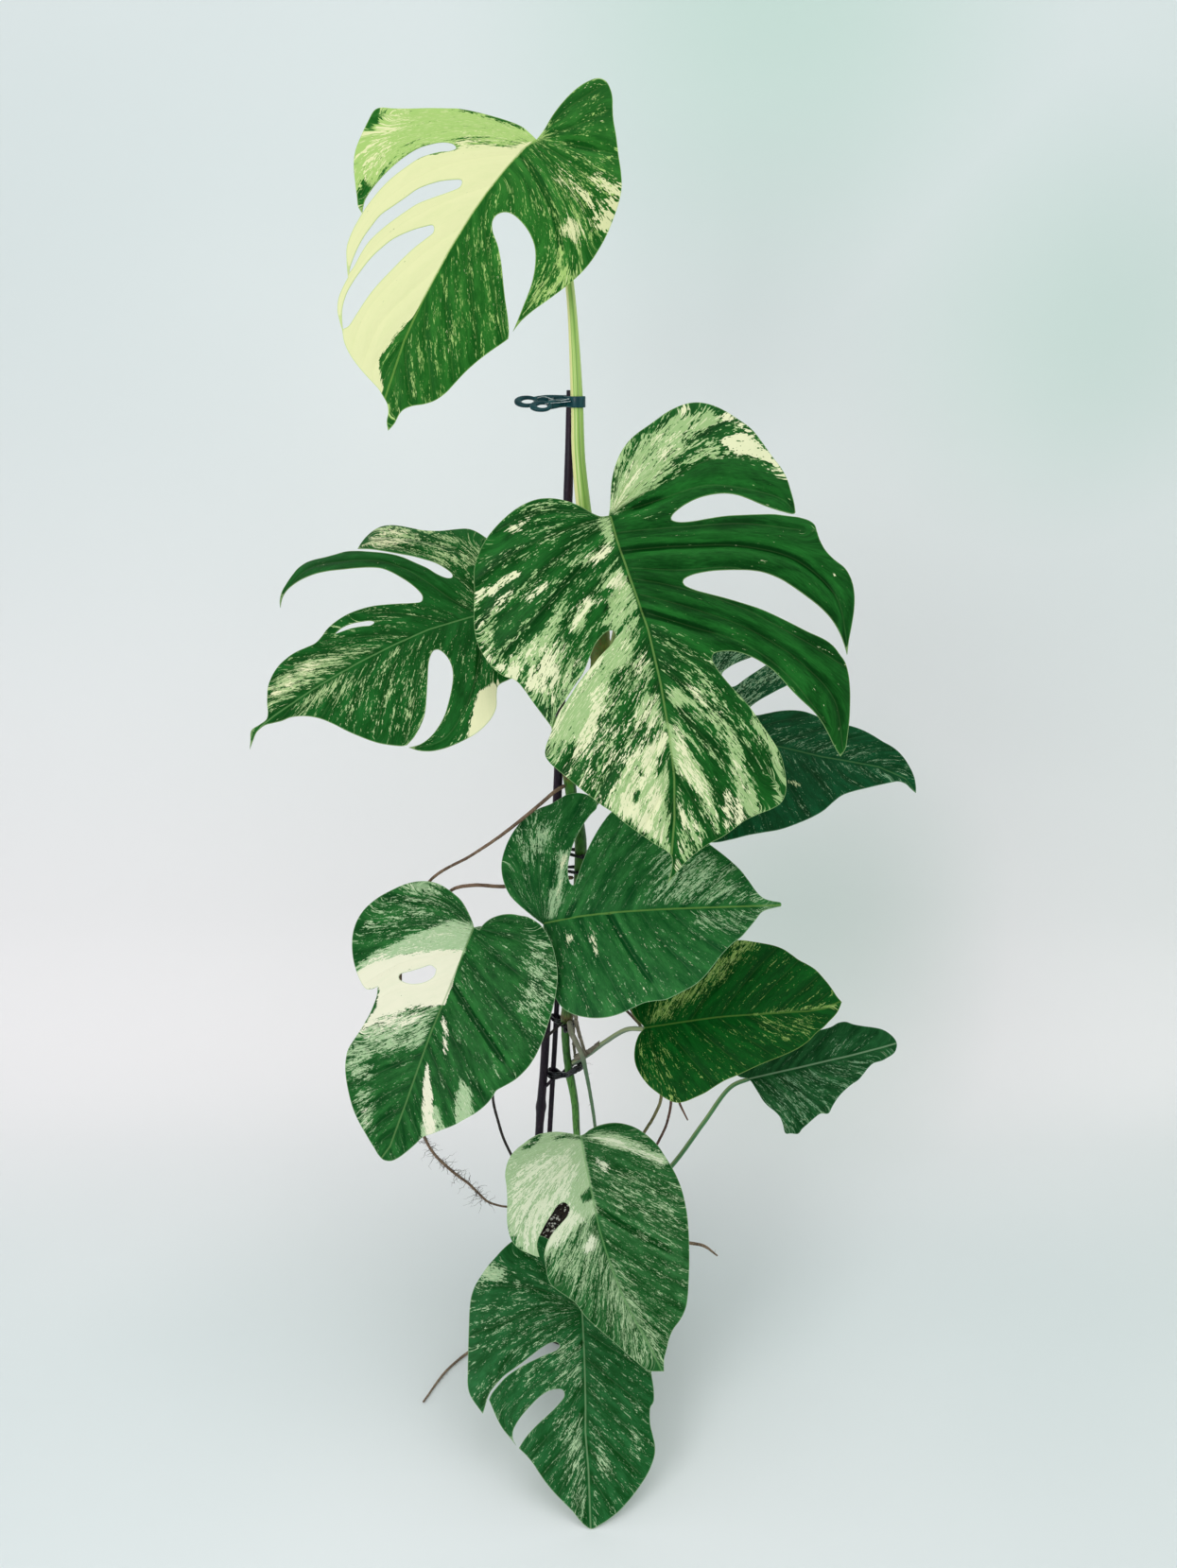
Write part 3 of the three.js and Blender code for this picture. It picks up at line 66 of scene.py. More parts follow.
picture = bpy.context.scene.view_settings
picture.view_transform = "Standard"
picture.look = "None"
picture.exposure = 0
picture.gamma = 1

lens = bpy.data.cameras.new("camera")
lens.sensor_width = studio["sensor"]
lens.lens = studio["focalPixels"] / studio["imageHeight"] * lens.sensor_width
camera = bpy.data.objects.new("camera", lens)
camera.location = studio["cameraPlace"]
camera.rotation_euler = (math.radians(90 - studio["cameraDown"]), 0, 0)
collection.objects.link(camera)
bpy.context.scene.camera = camera

world = bpy.data.worlds.new("paleRoom")
world.use_nodes = True
worldSurface = world.node_tree.nodes["Background"]
worldSurface.inputs["Color"].default_value = (*studio["world"], 1)
worldSurface.inputs["Strength"].default_value = studio["worldStrength"]
bpy.context.scene.world = world

lamps = {  # in metres and watts
    "keyLamp": {"place": (-0.75, -1.25, 1.15), "aim": (0.05, 0.0, 0.62), "size": 0.7, "power": 8},
    "topLamp": {"place": (0.35, -0.55, 2.3), "aim": (0.0, 0.05, 0.6), "size": 1.6, "power": 8},
    "fillLamp": {"place": (1.5, -1.0, 0.9), "aim": (0.0, 0.0, 0.5), "size": 1.4, "power": 3},
}
for name, lamp in lamps.items():
    light = bpy.data.lights.new(name, "AREA")
    light.size = lamp["size"]
    light.energy = lamp["power"]
    holder = bpy.data.objects.new(name, light)
    holder.location = lamp["place"]
    holder.rotation_euler = (Vector(lamp["aim"]) - Vector(lamp["place"])).to_track_quat("-Z", "Y").to_euler()
    collection.objects.link(holder)
print("camera and lamps placed")


# Small helpers for node trees

class Value:
    # one output of a node, open to plain arithmetic; value[name] is another output of the same node
    def __init__(self, socket):
        self.socket = socket
        self.tree = socket.id_data

    def __getitem__(self, name):
        return Value(self.socket.node.outputs[name])

    def math(self, operation, other):
        vector = isinstance(other, tuple) or self.socket.type == "VECTOR"
        kind = "ShaderNodeVectorMath" if vector else "ShaderNodeMath"
        return put(self.tree, kind, {0: self, 1: other}, operation=operation)

    def __add__(self, other):
        return self.math("ADD", other)

    def __sub__(self, other):
        return self.math("SUBTRACT", other)

    def __rsub__(self, other):
        return put(self.tree, "ShaderNodeMath", {0: other, 1: self}, operation="SUBTRACT")

    def __mul__(self, other):
        return self.math("MULTIPLY", other)

    def scaled(self, amount):
        return put(self.tree, "ShaderNodeVectorMath", {0: self, "Scale": amount}, operation="SCALE")

    def split(self):
        return put(self.tree, "ShaderNodeSeparateXYZ", {0: self})


def colour(code):
    # "#rrggbb" as linear numbers
    parts = [int(code[i:i + 2], 16) / 255 for i in (1, 3, 5)]
    return tuple(p / 12.92 if p <= 0.04045 else ((p + 0.055) / 1.055) ** 2.4 for p in parts)


def between(a, b, share):
    # the colour at this share of the way from a to b
    return [x * (1 - share) + y * share for x, y in zip(colour(a), colour(b))]


def fill(target, value):
    # links an input, or sets it: a colour is "#rrggbb" or three numbers
    if isinstance(value, Value):
        target.id_data.links.new(value.socket, target)
    elif target.type == "RGBA":
        target.default_value = (*(colour(value) if isinstance(value, str) else value), 1)
    else:
        target.default_value = value


def put(tree, kind, inputs=None, out=0, **settings):
    # adds a node and gives back one of its outputs
    made = tree.nodes.new(kind)
    made.location = (190 * (len(tree.nodes) % 12), -260 * (len(tree.nodes) // 12))
    for name, value in settings.items():
        setattr(made, name, value)
    for name, value in (inputs or {}).items():
        fill(made.inputs[name], value)
    return Value(made.outputs[out])


def newTree(name, kind, inputs):
    # inputs by name: a number or a vector is the default, a word is a kind of socket without one
    tree = bpy.data.node_groups.new(name, kind)
    kinds = {int: "Int", float: "Float", tuple: "Vector"}
    for label, value in inputs.items():
        word = isinstance(value, str)
        socket = tree.interface.new_socket(
            label, in_out="INPUT", socket_type="NodeSocket" + (value if word else kinds[type(value)]))
        if not word:
            socket.default_value = value
    return tree, put(tree, "NodeGroupInput")


def finishTree(tree, outputs):
    # outputs by name: the kind of socket and what it puts out
    for label, (kind, value) in outputs.items():
        tree.interface.new_socket(label, in_out="OUTPUT", socket_type=f"NodeSocket{kind}")
    result = tree.nodes.new("NodeGroupOutput")
    for label, (kind, value) in outputs.items():
        fill(result.inputs[label], value)
    return tree


def ramp(value, low, high, start=0.0, end=1.0):
    return put(value.tree, "ShaderNodeMapRange", {0: value, 1: low, 2: high, 3: start, 4: end},
               interpolation_type="SMOOTHSTEP")


def blend(share, a, b):
    # from colour a to colour b
    return put(share.tree, "ShaderNodeMix", {0: share, 6: a, 7: b}, 2, data_type="RGBA", clamp_factor=True)


def newMaterial(name, **settings):
    material = bpy.data.materials.new(name)
    material.use_nodes = True
    for label, value in settings.items():
        surface = material.node_tree.nodes["Principled BSDF"]
        surface.inputs[label.replace("_", " ")].default_value = value
    return material, material.node_tree


def dress(material, tone, rough, height=None, strength=0.0, distance=0.0):
    # the colour, roughness and relief of a material
    tree = material.node_tree
    surface = tree.nodes["Principled BSDF"]
    fill(surface.inputs["Base Color"], tone)
    fill(surface.inputs["Roughness"], rough)
    if height is not None:
        bump = put(tree, "ShaderNodeBump", {"Height": height, "Strength": strength, "Distance": distance})
        fill(surface.inputs["Normal"], bump)
    return material


def attribute(tree, name, out="Fac"):
    return put(tree, "ShaderNodeAttribute", out=out, attribute_name=name)


def objectPlace(tree):
    return put(tree, "ShaderNodeTexCoord", out="Object")


# Small helpers for meshes and pieces

def newMesh(name, places, edges, faces):
    mesh = bpy.data.meshes.new(name)
    mesh.from_pydata((np.array(places, float) * mm).tolist(), edges, faces)
    return mesh


def mark(mesh, name, values):
    # an attribute with one number or one vector for each vertex
    values = np.array(values, np.float32)
    kind, field = ("FLOAT", "value") if values.ndim == 1 else ("FLOAT_VECTOR", "vector")
    mesh.attributes.new(name, kind, "POINT").data.foreach_set(field, values.ravel())


def smoothed(mesh, sharp=None):
    # sharp: edges steeper than this, in degrees, stay crisp
    mesh.polygons.foreach_set("use_smooth", [True] * len(mesh.polygons))
    if sharp:
        mesh.set_sharp_from_angle(angle=math.radians(sharp))
    return mesh


def builtMesh(name, build, sharp):
    bmesh.ops.recalc_face_normals(build, faces=build.faces[:])
    mesh = bpy.data.meshes.new(name)
    build.to_mesh(mesh)
    build.free()
    return smoothed(mesh, sharp)


def newPiece(name, mesh, material, slotName, *nodes):
    piece = bpy.data.objects.new(name, mesh)
    collection.objects.link(piece)
    mesh.materials.clear()
    mesh.materials.append(material)
    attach(piece, "root")
    if nodes:
        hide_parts(*nodes)
    return piece


def grown(mesh, tree, **inputs):
    # runs one node tree on a mesh and gives back the plain result
    holder = bpy.data.objects.new("holder", mesh)
    collection.objects.link(holder)
    modifier = holder.modifiers.new(tree.name, "NODES")
    modifier.node_group = tree
    for item in tree.interface.items_tree:
        if item.in_out == "INPUT" and item.name in inputs:
            modifier[item.identifier] = inputs[item.name]
    evaluated = holder.evaluated_get(bpy.context.evaluated_depsgraph_get())
    result = bpy.data.meshes.new_from_object(evaluated)
    bpy.data.objects.remove(holder)
    bpy.data.meshes.remove(mesh)
    return result


# Shader groups that several materials share

def makeSpeckle():
    # uneven noise that is drawn out along one direction of its coordinates
    tree, given = newTree("drawnNoise", "ShaderNodeTree", {
        "Place": (0, 0, 0), "Stretch": (1, 1, 1), "Detail": 2.0, "Warp": 0.0})
    cloud = put(tree, "ShaderNodeTexNoise", {
        "Vector": given["Place"] * given["Stretch"], "Scale": 1.0, "Detail": given["Detail"],
        "Roughness": 0.55, "Distortion": given["Warp"]})
    return finishTree(tree, {"Value": ("Float", cloud - 0.5)})


drawnNoise = makeSpeckle()


def drawn(place, stretch, detail=2.0, warp=0.0):
    return put(place.tree, "ShaderNodeGroup",
               {"Place": place, "Stretch": stretch, "Detail": detail, "Warp": warp}, node_tree=drawnNoise)


def makeFlecks():
    # a mask with crisp streaky edges and its soft halo: Zone says how much of the place is covered
    tree, given = newTree("streakMask", "ShaderNodeTree", {
        "Place": (0, 0, 0), "Zone": 0.0, "Broad": 1.0, "Middle": 2.0, "Fine": 1.2, "Edge": 0.05,
        "Strength": 1.0, "Seed": 0.0})
    place = given["Place"] + put(tree, "ShaderNodeCombineXYZ", {"Z": given["Seed"]})
    total = (drawn(place, (1 / 36, 1 / 6, 1), 1.0, 0.5) * given["Broad"]
             + drawn(place, (1 / 9, 1 / 1.8, 1), 1.5, 0.5) * given["Middle"]
             + drawn(place, (1 / 3.2, 1 / 0.75, 1), 1.0, 0.5) * given["Fine"])
    total = total * given["Strength"] + given["Zone"]
    crisp = ramp(total, 0.5 - given["Edge"], given["Edge"] + 0.5)
    return finishTree(tree, {"Mask": ("Float", crisp), "Halo": ("Float", ramp(total, 0.2, 0.6))})


streakMask = makeFlecks()


def streaks(place, zone, strength, **gains):
    # the mask and its halo
    return put(place.tree, "ShaderNodeGroup",
               {"Place": place, "Zone": zone, "Strength": strength, **gains}, node_tree=streakMask)


def backdrop():
    # floor and wall in one sheet with a rounded corner
    wall, sweep, half = studio["wallY"], studio["sweep"], studio["halfWidth"]
    profile = [(studio["front"], 0.0)]
    for angle in np.linspace(0, math.pi / 2, studio["sweepSteps"] + 1):
        profile.append((wall - sweep + sweep * math.sin(angle), sweep - sweep * math.cos(angle)))
    profile.append((wall, studio["wallTop"]))
    # the last two rows are floor behind the wall, for views from the back
    profile += [(wall - sweep, -mm), (studio["back"], -mm)]
    places = [(x, y, z) for y, z in profile for x in (-half, half)]
    faces = [(2 * i, 2 * i + 1, 2 * i + 3, 2 * i + 2) for i in range(len(profile) - 1)
             if i != len(profile) - 3]
    mesh = bpy.data.meshes.new("backdrop")
    mesh.from_pydata(places, [], faces)
    smoothed(mesh)
    material, tree = newMaterial("backdropPaper", Specular_IOR_Level=0.1)
    place = objectPlace(tree)
    paper = blend(ramp(drawn(place, (1.1, 1.1, 1.1)), -0.2, 0.25), "#dfe6e6", "#ebefef")
    across, back, up = place.split()
    # painted light: brightest and a little warmer low on the wall
    paper = blend(ramp(back + up, -0.05, 0.5) * ramp(up, 1.15, 0.1), paper, "#f8f5f6")
    # painted shadow: a green tint that grows to the right, with a few deeper painted shadows of the plant
    paintedShadow = ramp(across, 0.1, 2.4, 0, 0.5)
    for centre, radius, strength in studio["casts"]:
        apart = put(tree, "ShaderNodeVectorMath", {0: place, 1: centre}, 1, operation="DISTANCE")
        paintedShadow = paintedShadow.math("MAXIMUM", ramp(apart, radius, 0, 0, strength))
    dress(material, blend(paintedShadow, paper, "#b9d8c9"), 0.9)
    # clear from behind, so that the plant's back can be seen
    both = put(tree, "ShaderNodeMixShader", {
        0: put(tree, "ShaderNodeNewGeometry", out="Backfacing"),
        1: Value(tree.nodes["Principled BSDF"].outputs[0]), 2: put(tree, "ShaderNodeBsdfTransparent")})
    fill(tree.nodes["Material Output"].inputs[0], both)
    sheet = bpy.data.objects.new("backdrop", mesh)
    mesh.materials.append(material)
    collection.objects.link(sheet)


backdrop()
print("backdrop laid")

# Leaves. Each chart has u along the midrib from the petiole to the tip, and v across it.
# Every row of points runs u, v, u, v. An outline is arcs that meet at sharp corners.
leaves = {
    "leaf_1": {  # the tall top leaf
        "base": (-22, -15, 1082), "turn": (-47, 54, -48), "length": 237, "droop": 18, "fold": (0, -2),
        "arch": (12, 24), "back": (120, 12), "cream": -0.45, "light": -0.06,
        "midrib": [-90, 0, 0, 0, 10, -5, 30, -10, 50, -14, 70, -17, 100, -20, 140, -22, 170, -22, 200, -19,
        230, -16, 260, -14],
        "margin": [[0, 0, -2, -7, -3.5, -14, -2.5, -25, -0.5, -36, 2, -48, 5, -59, 9, -68, 14, -79, 20, -91,
        25, -102, 28, -110, 32, -113.5, 40, -114, 55, -113.5, 66, -112, 76, -108, 86, -102, 95, -96, 101,
        -92], [104.5, -87, 95, -89.5, 85, -88.5, 75, -86, 65, -82.5, 55, -78, 45, -72, 38, -65, 33, -58, 31,
        -51, 33, -47.5, 37, -51, 41, -57.5, 50, -67, 61, -73.5, 71, -78.5, 81, -82.3, 91, -84.8, 100, -86.5,
        110, -87.5, 120, -88, 130, -87, 138, -83.5, 145, -79.5], [149, -77, 157, -77.3, 165, -76.8, 173,
        -74, 179, -69.5], [184, -65, 191, -60, 197, -52.5, 202, -43, 206, -33, 209, -25, 212, -20, 216,
        -14.5, 221, -11.5, 227, -10], [232.5, -6.5, 226, -4.5, 219, -4, 214, -2.5, 209, 2, 204, 9, 198, 15,
        190, 19.5, 181, 22.5, 170, 26, 158, 31, 148, 36, 139, 41], [134, 43.5, 129, 41.5, 120, 36, 110, 29,
        100, 22.5, 90, 16, 81, 9, 74, 1.5, 68, -1.8, 62, -1.2, 57.5, 3, 56, 9, 58, 18, 62, 26, 68, 32.5, 76,
        37, 86, 40.5, 96, 42.3, 108, 43.2, 118, 43.8], [128, 44.3, 118, 46.5, 108, 50.5, 98, 55.5, 88, 60.5,
        77, 65.5, 66, 69.8, 54, 73, 42, 74.5, 30, 75, 18, 74, 6, 72, -5, 68.5, -15, 63, -25, 56, -35, 49,
        -45, 41.5, -53, 37, -60, 33.5, -65, 29.5, -68.5, 24, -67, 18, -60, 12.5, -49, 7.5, -36, 4, -22, 2,
        -9, 1.5]],
        "holes": [[[146, -77.6, 140, -79, 130, -79.6, 120, -79, 110, -77, 100, -74.5, 91, -69.5, 81, -64,
        71, -58.5, 61, -49, 55, -40.5, 52, -34, 57, -32.8, 63, -37.5, 71, -45, 81, -54, 91, -60, 100, -65,
        110, -70, 120, -74, 130, -75.8, 140, -76.4]], [[183, -65, 178, -68, 170, -71.5, 160, -73, 150,
        -72.3, 140, -70.5, 130, -68, 120, -64, 110, -58.5, 100, -50, 93.5, -43, 90, -38, 94, -35.5, 100,
        -38, 110, -43, 120, -47, 130, -50.5, 140, -54, 150, -57, 160, -59, 170, -60.5, 179, -62]]],
        "veins": ([[0, -2, 2, -35, 13, -68, 29, -98], [3, -3, 8, -25, 18, -50, 34, -74, 58, -92, 92, -94],
        [16, -7, 30, -28, 48, -50, 72, -68, 98, -79, 130, -83.5, 146, -79], [44, -13, 62, -30, 84, -48, 106,
        -62, 130, -71.5, 160, -75, 180, -68], [80, -18, 105, -33, 135, -46, 165, -55, 195, -54], [112, -21,
        140, -33, 170, -43, 202, -42], [145, -22, 170, -30, 195, -34, 207, -30], [175, -21.5, 195, -24, 211,
        -22]], [[-2, 1, -30, 8, -62, 22], [-2, 1, -25, 20, -50, 35], [-1, 1, -14, 28, -24, 54], [1, 0, 2,
        35, 4, 69], [4, -2, 12, 25, 22, 50, 34, 72], [14, -6, 25, 15, 43, 38, 66, 52, 95, 51, 122, 45], [46,
        -13, 68, -8, 93, 7, 118, 26, 136, 40], [75, -17.5, 100, -6, 128, 12, 156, 30], [105, -20, 130, -9,
        155, 6, 179, 21], [135, -22, 158, -12, 180, 2, 198, 13], [165, -22, 185, -14, 206, 0], [190, -20,
        205, -13, 218, -7]]),
        "marks": [
            ("light", 1.3, 3, [-6, 2, 2, -1, 12, -14, 20, -30, 26, -47, 31, -52, 45, -74, 70, -87, 106, -89,
            95, -99, 60, -118, 20, -114, 0, -60]),
            ("cream", 0.25, 6, [4, -4, 20, -26, 28, -46, 14, -44, 4, -20]),
            ("cream", 0.5, 7, [24, -84, 78, -91, 75, -110, 30, -114, 20, -96]),
            ("cream", 1.6, 0.3, [3, -2, 14, -13, 22, -29, 29, -47, 34, -47, 60, -79, 98, -93, 130, -97, 153,
            -86, 186, -68, 206, -45, 216, -22, 208, -21, 200, -27, 190, -33, 180, -31, 165, -28, 153, -23.5,
            140, -22, 100, -20, 70, -17, 50, -14, 30, -10, 10, -5]),
            ("cream", 0.55, 2, [20, -31, 27, -33, 32, -47, 24, -48]),
            ("light", 0.3, 2, [20, -31, 27, -33, 32, -47, 24, -48]),
            ("dark", -0.6, 2, [26, -115, 50, -116, 46, -108, 30, -107]),
            ("dark", -0.6, 2, [82, -98, 105, -91, 102, -87, 86, -89]),
            ("dark", -0.5, 1, [-5, -10, -2.5, -36, 3, -60, 5, -58, 0.5, -36, -2.5, -10]),
            ("light", 0.12, 5, [-12, 40, 28, 18, 52, 38, 50, 62, 30, 78, -10, 74]),
            ("cream", 0.55, 3, [-6, 44, 6, 44, 6, 72, -6, 72]),
            ("cream", 0.5, 3, [9, 24, 20, 24, 24, 62, 12, 60]),
            ("cream", 0.7, 2, [-4, 62, 30, 62, 32, 78, -4, 78]),
            ("cream", 0.75, 2, [34, 43, 48, 44, 49, 60, 37, 60]),
            ("light", 0.5, 4, [56, 48, 100, 44, 104, 54, 66, 68]),
            ("light", 0.1, 4, [216, -16, 235, -8, 232, -2, 214, -3]),
        ],
    },
    "leaf_2": {  # the left leaf
        "base": (-55, -30, 753), "turn": (-67, 25, -35), "length": 225, "droop": 16, "fold": (6, 6), "arch":
        (18, 18), "back": (0, 0), "cream": -0.6, "light": -0.07,
        "midrib": [-90, 8, 0, 7, 22, 0, 60, -13, 90, -19, 120, -24, 160, -29, 200, -32, 215, -32, 230, -22],
        "margin": [[0, 7, -14, -3, -24, -22, -27, -44, -24, -64, -21, -77, -17, -85, -10, -91.5, -3, -97, 5,
        -104, 13, -113, 19, -123, 25, -133, 31, -141, 38, -146, 46, -146, 54, -142, 61, -137], [67, -132,
        58, -121, 49, -108, 42, -98, 34, -87, 28, -77, 23, -68, 19.5, -57, 18, -48, 20, -44, 24, -47, 28,
        -56, 31, -67, 36, -79, 41, -91, 46, -100, 52, -108.5, 60, -118.5, 69, -130, 77, -138, 86, -142.5,
        95, -147, 103, -151.5, 110, -153.5, 118, -152, 126, -147.5, 134, -142.5, 141, -137, 146, -129],
        [149, -120, 143, -130, 136, -135, 127, -136, 118, -134.5, 108, -131, 98, -125, 88, -117, 78, -109,
        69, -101, 62, -93, 57.5, -84, 54, -74, 50.5, -62, 48.5, -51, 48.5, -43, 52, -39, 59, -43, 67, -49,
        76, -55.5, 86, -62, 96, -66.5, 106, -69.3, 116, -70, 126, -68.8, 134, -65.5, 141, -64, 149, -66,
        158, -68.3, 167, -68.5, 176, -67, 184, -63.5, 191, -58, 196, -51, 200, -44, 203, -38, 207, -34, 214,
        -34.2, 222, -34.5, 227, -27.5], [231, -22, 225, -26.5, 219, -30.5, 211, -30.8, 204, -27, 197, -23,
        190, -20.5, 184, -16.5, 177, -10, 170, -1, 164, 10, 158, 23, 151, 36, 144, 47, 137, 55, 130, 61.5],
        [126, 63.5, 118, 61.5, 109, 57, 100, 50, 92, 39.5, 84, 27.5, 76.5, 16, 71, 10, 66.5, 7.8, 62.8, 11,
        61.5, 20, 63, 30, 67, 38.5, 73, 46.5, 80, 54, 88, 61, 97, 66, 107, 69.2, 117, 69.5], [126, 66, 121,
        73, 114, 79, 106, 83, 98, 85.5, 89, 87.3, 79, 88.5, 69, 87.8, 60, 85, 53, 80, 47, 71, 42, 66, 32,
        67, 20, 69, 5, 67, -12, 59, -24, 44, -24, 28, -12, 14]],
        "holes": [[[124, -60, 116, -60.8, 108, -58.8, 100, -54.5, 94, -50.5, 92, -47, 96, -46.5, 102, -50.5,
        110, -55, 117, -57.6]]],
        "veins": ([[-1, 5, -14, -22, -22, -60], [2, 6, -2, -30, 1, -62, 20, -100, 48, -134], [10, 4, 13,
        -30, 23, -78, 50, -122], [20, 0, 31, -25, 38, -52, 46, -78, 60, -103, 82, -126, 110, -143, 140,
        -133], [45, -8, 57, -24, 72, -42, 93, -60], [75, -16, 92, -32, 112, -46, 132, -60], [102, -21, 122,
        -36, 146, -54, 164, -64], [130, -26, 150, -40, 172, -56, 186, -60], [158, -29, 176, -40, 194, -50],
        [182, -31, 196, -37, 205, -38]], [[-1, 8, -14, 20, -24, 36], [0, 8, -2, 35, 0, 64], [6, 5, 16, 35,
        32, 65], [18, 2, 34, 26, 52, 48, 74, 67, 100, 77, 122, 70], [55, -11, 72, 2, 92, 24, 112, 46, 126,
        60], [80, -17, 100, -2, 122, 20, 141, 42], [105, -21.5, 126, -6, 148, 14, 159, 24], [130, -25.5,
        150, -12, 171, 0], [158, -29, 174, -20, 188, -17], [180, -31, 192, -26, 203, -27]]),
        "marks": [
            ("light", 0.12, 8, [78, -12, 160, -20, 152, 44, 98, 58]),
            ("light", 0.6, 4, [100, -26, 130, -44, 160, -56, 195, -54, 203, -40, 170, -36, 130, -29]),
            ("cream", 0.6, 3, [124, -38, 158, -54, 192, -54, 199, -44, 164, -43]),
            ("light", 0.5, 4, [136, -26, 184, -29, 180, -14, 140, -10]),
            ("light", 0.32, 4, [-24, -40, 16, -48, 62, -120, 70, -134, 30, -150, 0, -98]),
            ("cream", 0.45, 4, [20, -96, 58, -112, 68, -134, 30, -148]),
            ("dark", -0.6, 3, [22, -30, 24, -50, 36, -92, 68, -132, 112, -158, 154, -120, 130, -128, 80,
            -104, 52, -66, 48, -38, 38, -18]),
            ("dark", -0.3, 6, [22, 8, 60, 20, 64, 60, 100, 90, 124, 72, 98, 70, 64, 40, 60, 8, 40, -4]),
            ("cream", 1.4, 1.2, [40, 62, 60, 62, 72, 74, 84, 86, 88, 92, 74, 94, 58, 90, 44, 78]),
        ],
    },
    "leaf_3": {  # the big main leaf
        "base": (31, -75, 826), "turn": (17, 58, 12), "length": 274, "droop": 18, "fold": (2, 6), "arch":
        (24, 10), "back": (0, 0), "cream": -0.45, "light": -0.05,
        "midrib": [-90, 0, 0, 0, 20, 2, 50, 7, 90, 14, 130, 17, 170, 18, 200, 17, 230, 13, 276, 3],
        "margin": [[0, -1, 0, -7, -3.5, -13, -9.5, -20, -15.5, -29, -19.8, -39, -21.5, -50, -20.2, -60,
        -16.8, -70, -11.5, -80, -5, -89.5, 2, -97, 9, -102.5, 18, -107.5, 28, -110, 38, -111.3, 48, -113.3,
        58, -115.3, 68, -116, 78, -115, 87, -112, 95, -108, 101, -103.5, 106, -98, 109, -92, 113, -87.5,
        120, -83.5, 129, -79, 138, -74, 146, -69.5], [151, -66.8, 146, -65.2, 140, -61.5, 135, -57, 130,
        -52, 125, -47.5, 120, -42.8, 116, -38.8, 111, -35.5, 105, -32, 100, -29, 95, -25.8, 90, -20.5, 87,
        -15.5, 87.5, -11, 91.5, -10.3, 96.5, -13.5, 100.5, -18.5, 105.5, -25, 110, -29.5, 114.5, -35, 119,
        -40, 124, -44.8, 129, -49.3, 134, -54, 139, -58.6, 144, -62.2, 149, -65, 156, -69, 163, -73, 170,
        -75, 176, -72.5, 182, -67.5, 190, -60, 198, -52.5, 206, -45, 213, -38, 219, -31, 226, -25, 233, -18,
        240, -10.5, 246, -4, 251, 2.5, 256, 6.8, 261, 7.2, 268, 5.5], [276.5, 2, 271, 8, 265, 14, 259, 22,
        254.5, 30, 251, 37, 248.5, 45, 244, 54, 239, 63, 235.5, 74, 233, 85, 229.5, 92.5, 223, 96.8, 214,
        98.3, 204, 98, 195, 96.8, 187, 93.8, 178, 89.5, 168, 84.5, 158, 79.5, 150, 74.5, 142, 69, 133, 63.3,
        126, 59.5, 119.5, 57, 115, 58.5, 114, 64, 115, 73, 118.5, 82, 124, 90.5, 131, 98.5, 139, 105, 148,
        111, 157, 118, 166, 125.5, 174, 130.5, 183, 134.5, 193, 138], [202.5, 142, 197, 147, 188, 150, 177,
        153, 166, 155, 154, 156.5, 143, 157, 134, 156, 127, 152.5, 121, 149, 115, 142.5, 108, 131, 101, 121,
        94, 110.5, 87, 98.5, 81, 86, 75, 73, 70, 61, 66, 52, 61.5, 45.5, 57.5, 45.5, 54.8, 53, 54, 65, 54.5,
        76, 55.5, 86, 57, 96, 60, 106, 66, 117, 73, 126, 81, 135, 90, 143.5, 100, 150.5, 111, 155.3, 120,
        157.5], [128.5, 158.5, 118, 162, 107, 166.3, 97, 169.8, 87, 172.2, 78, 173, 70, 172.2, 62, 169, 55,
        162, 48, 156.5, 40, 153.3, 33, 152.3, 27, 151.5, 23, 147.5, 20.5, 142], [19.5, 138.5, 18, 131, 16,
        121, 15, 110, 14, 98, 13, 85, 13.3, 72, 14, 60, 13.5, 50, 11, 44.3, 7.5, 45.5, 3.5, 51, 0, 58, -3,
        67, -4.5, 77, -4.5, 87, -2.5, 96, 1.5, 104, 6, 111, 10.5, 119, 14, 127, 17, 136], [16, 138.6, 8,
        139, -2, 138.3, -12, 137.3, -22, 134.5, -32, 129.5, -43, 124, -55, 117.5, -65, 108.5, -73, 99.5,
        -78.5, 90.5, -81.5, 82, -82, 74, -80.5, 66, -77, 56.5, -72, 48, -67, 39.5, -62, 30.5, -56, 22.5,
        -48, 15.5, -38, 9.8, -27, 5.5, -15, 2.7, -6, 0.8]],
        "holes": [],
        "veins": ([[0, -2, -8, -28, -12, -55, -4, -86], [1, -2, 6, -35, 14, -70, 28, -108], [5, 0, 22, -35,
        40, -68, 64, -112], [16, 1, 38, -28, 64, -62, 94, -104], [31, 4, 55, -20, 86, -52, 120, -80], [50,
        7, 73, -16, 100, -44, 127, -62, 147, -67], [76, 12, 98, -6, 122, -32, 148, -58, 168, -73], [100,
        14.5, 128, -10, 158, -38, 184, -62], [128, 17, 155, 0, 182, -24, 207, -43], [155, 18, 182, 4, 206,
        -14, 227, -23], [185, 18, 208, 8, 236, -12], [212, 15.5, 230, 8, 248, 0]], [[-1, 1, -28, 9, -58,
        20], [-1, 1, -35, 25, -74, 58], [-1, 1, -30, 40, -58, 85, -70, 112], [-1, 1, -20, 45, -34, 90, -27,
        130], [0, 1, -7, 40, -12, 80, 1, 125, 15, 138], [14, 2, 17, 45, 20, 92, 30, 140], [28, 4, 31, 45,
        37, 92, 52, 132, 82, 158, 122, 160], [42, 6, 50, 45, 54, 86, 70, 122, 100, 152], [50, 7, 63, 42, 84,
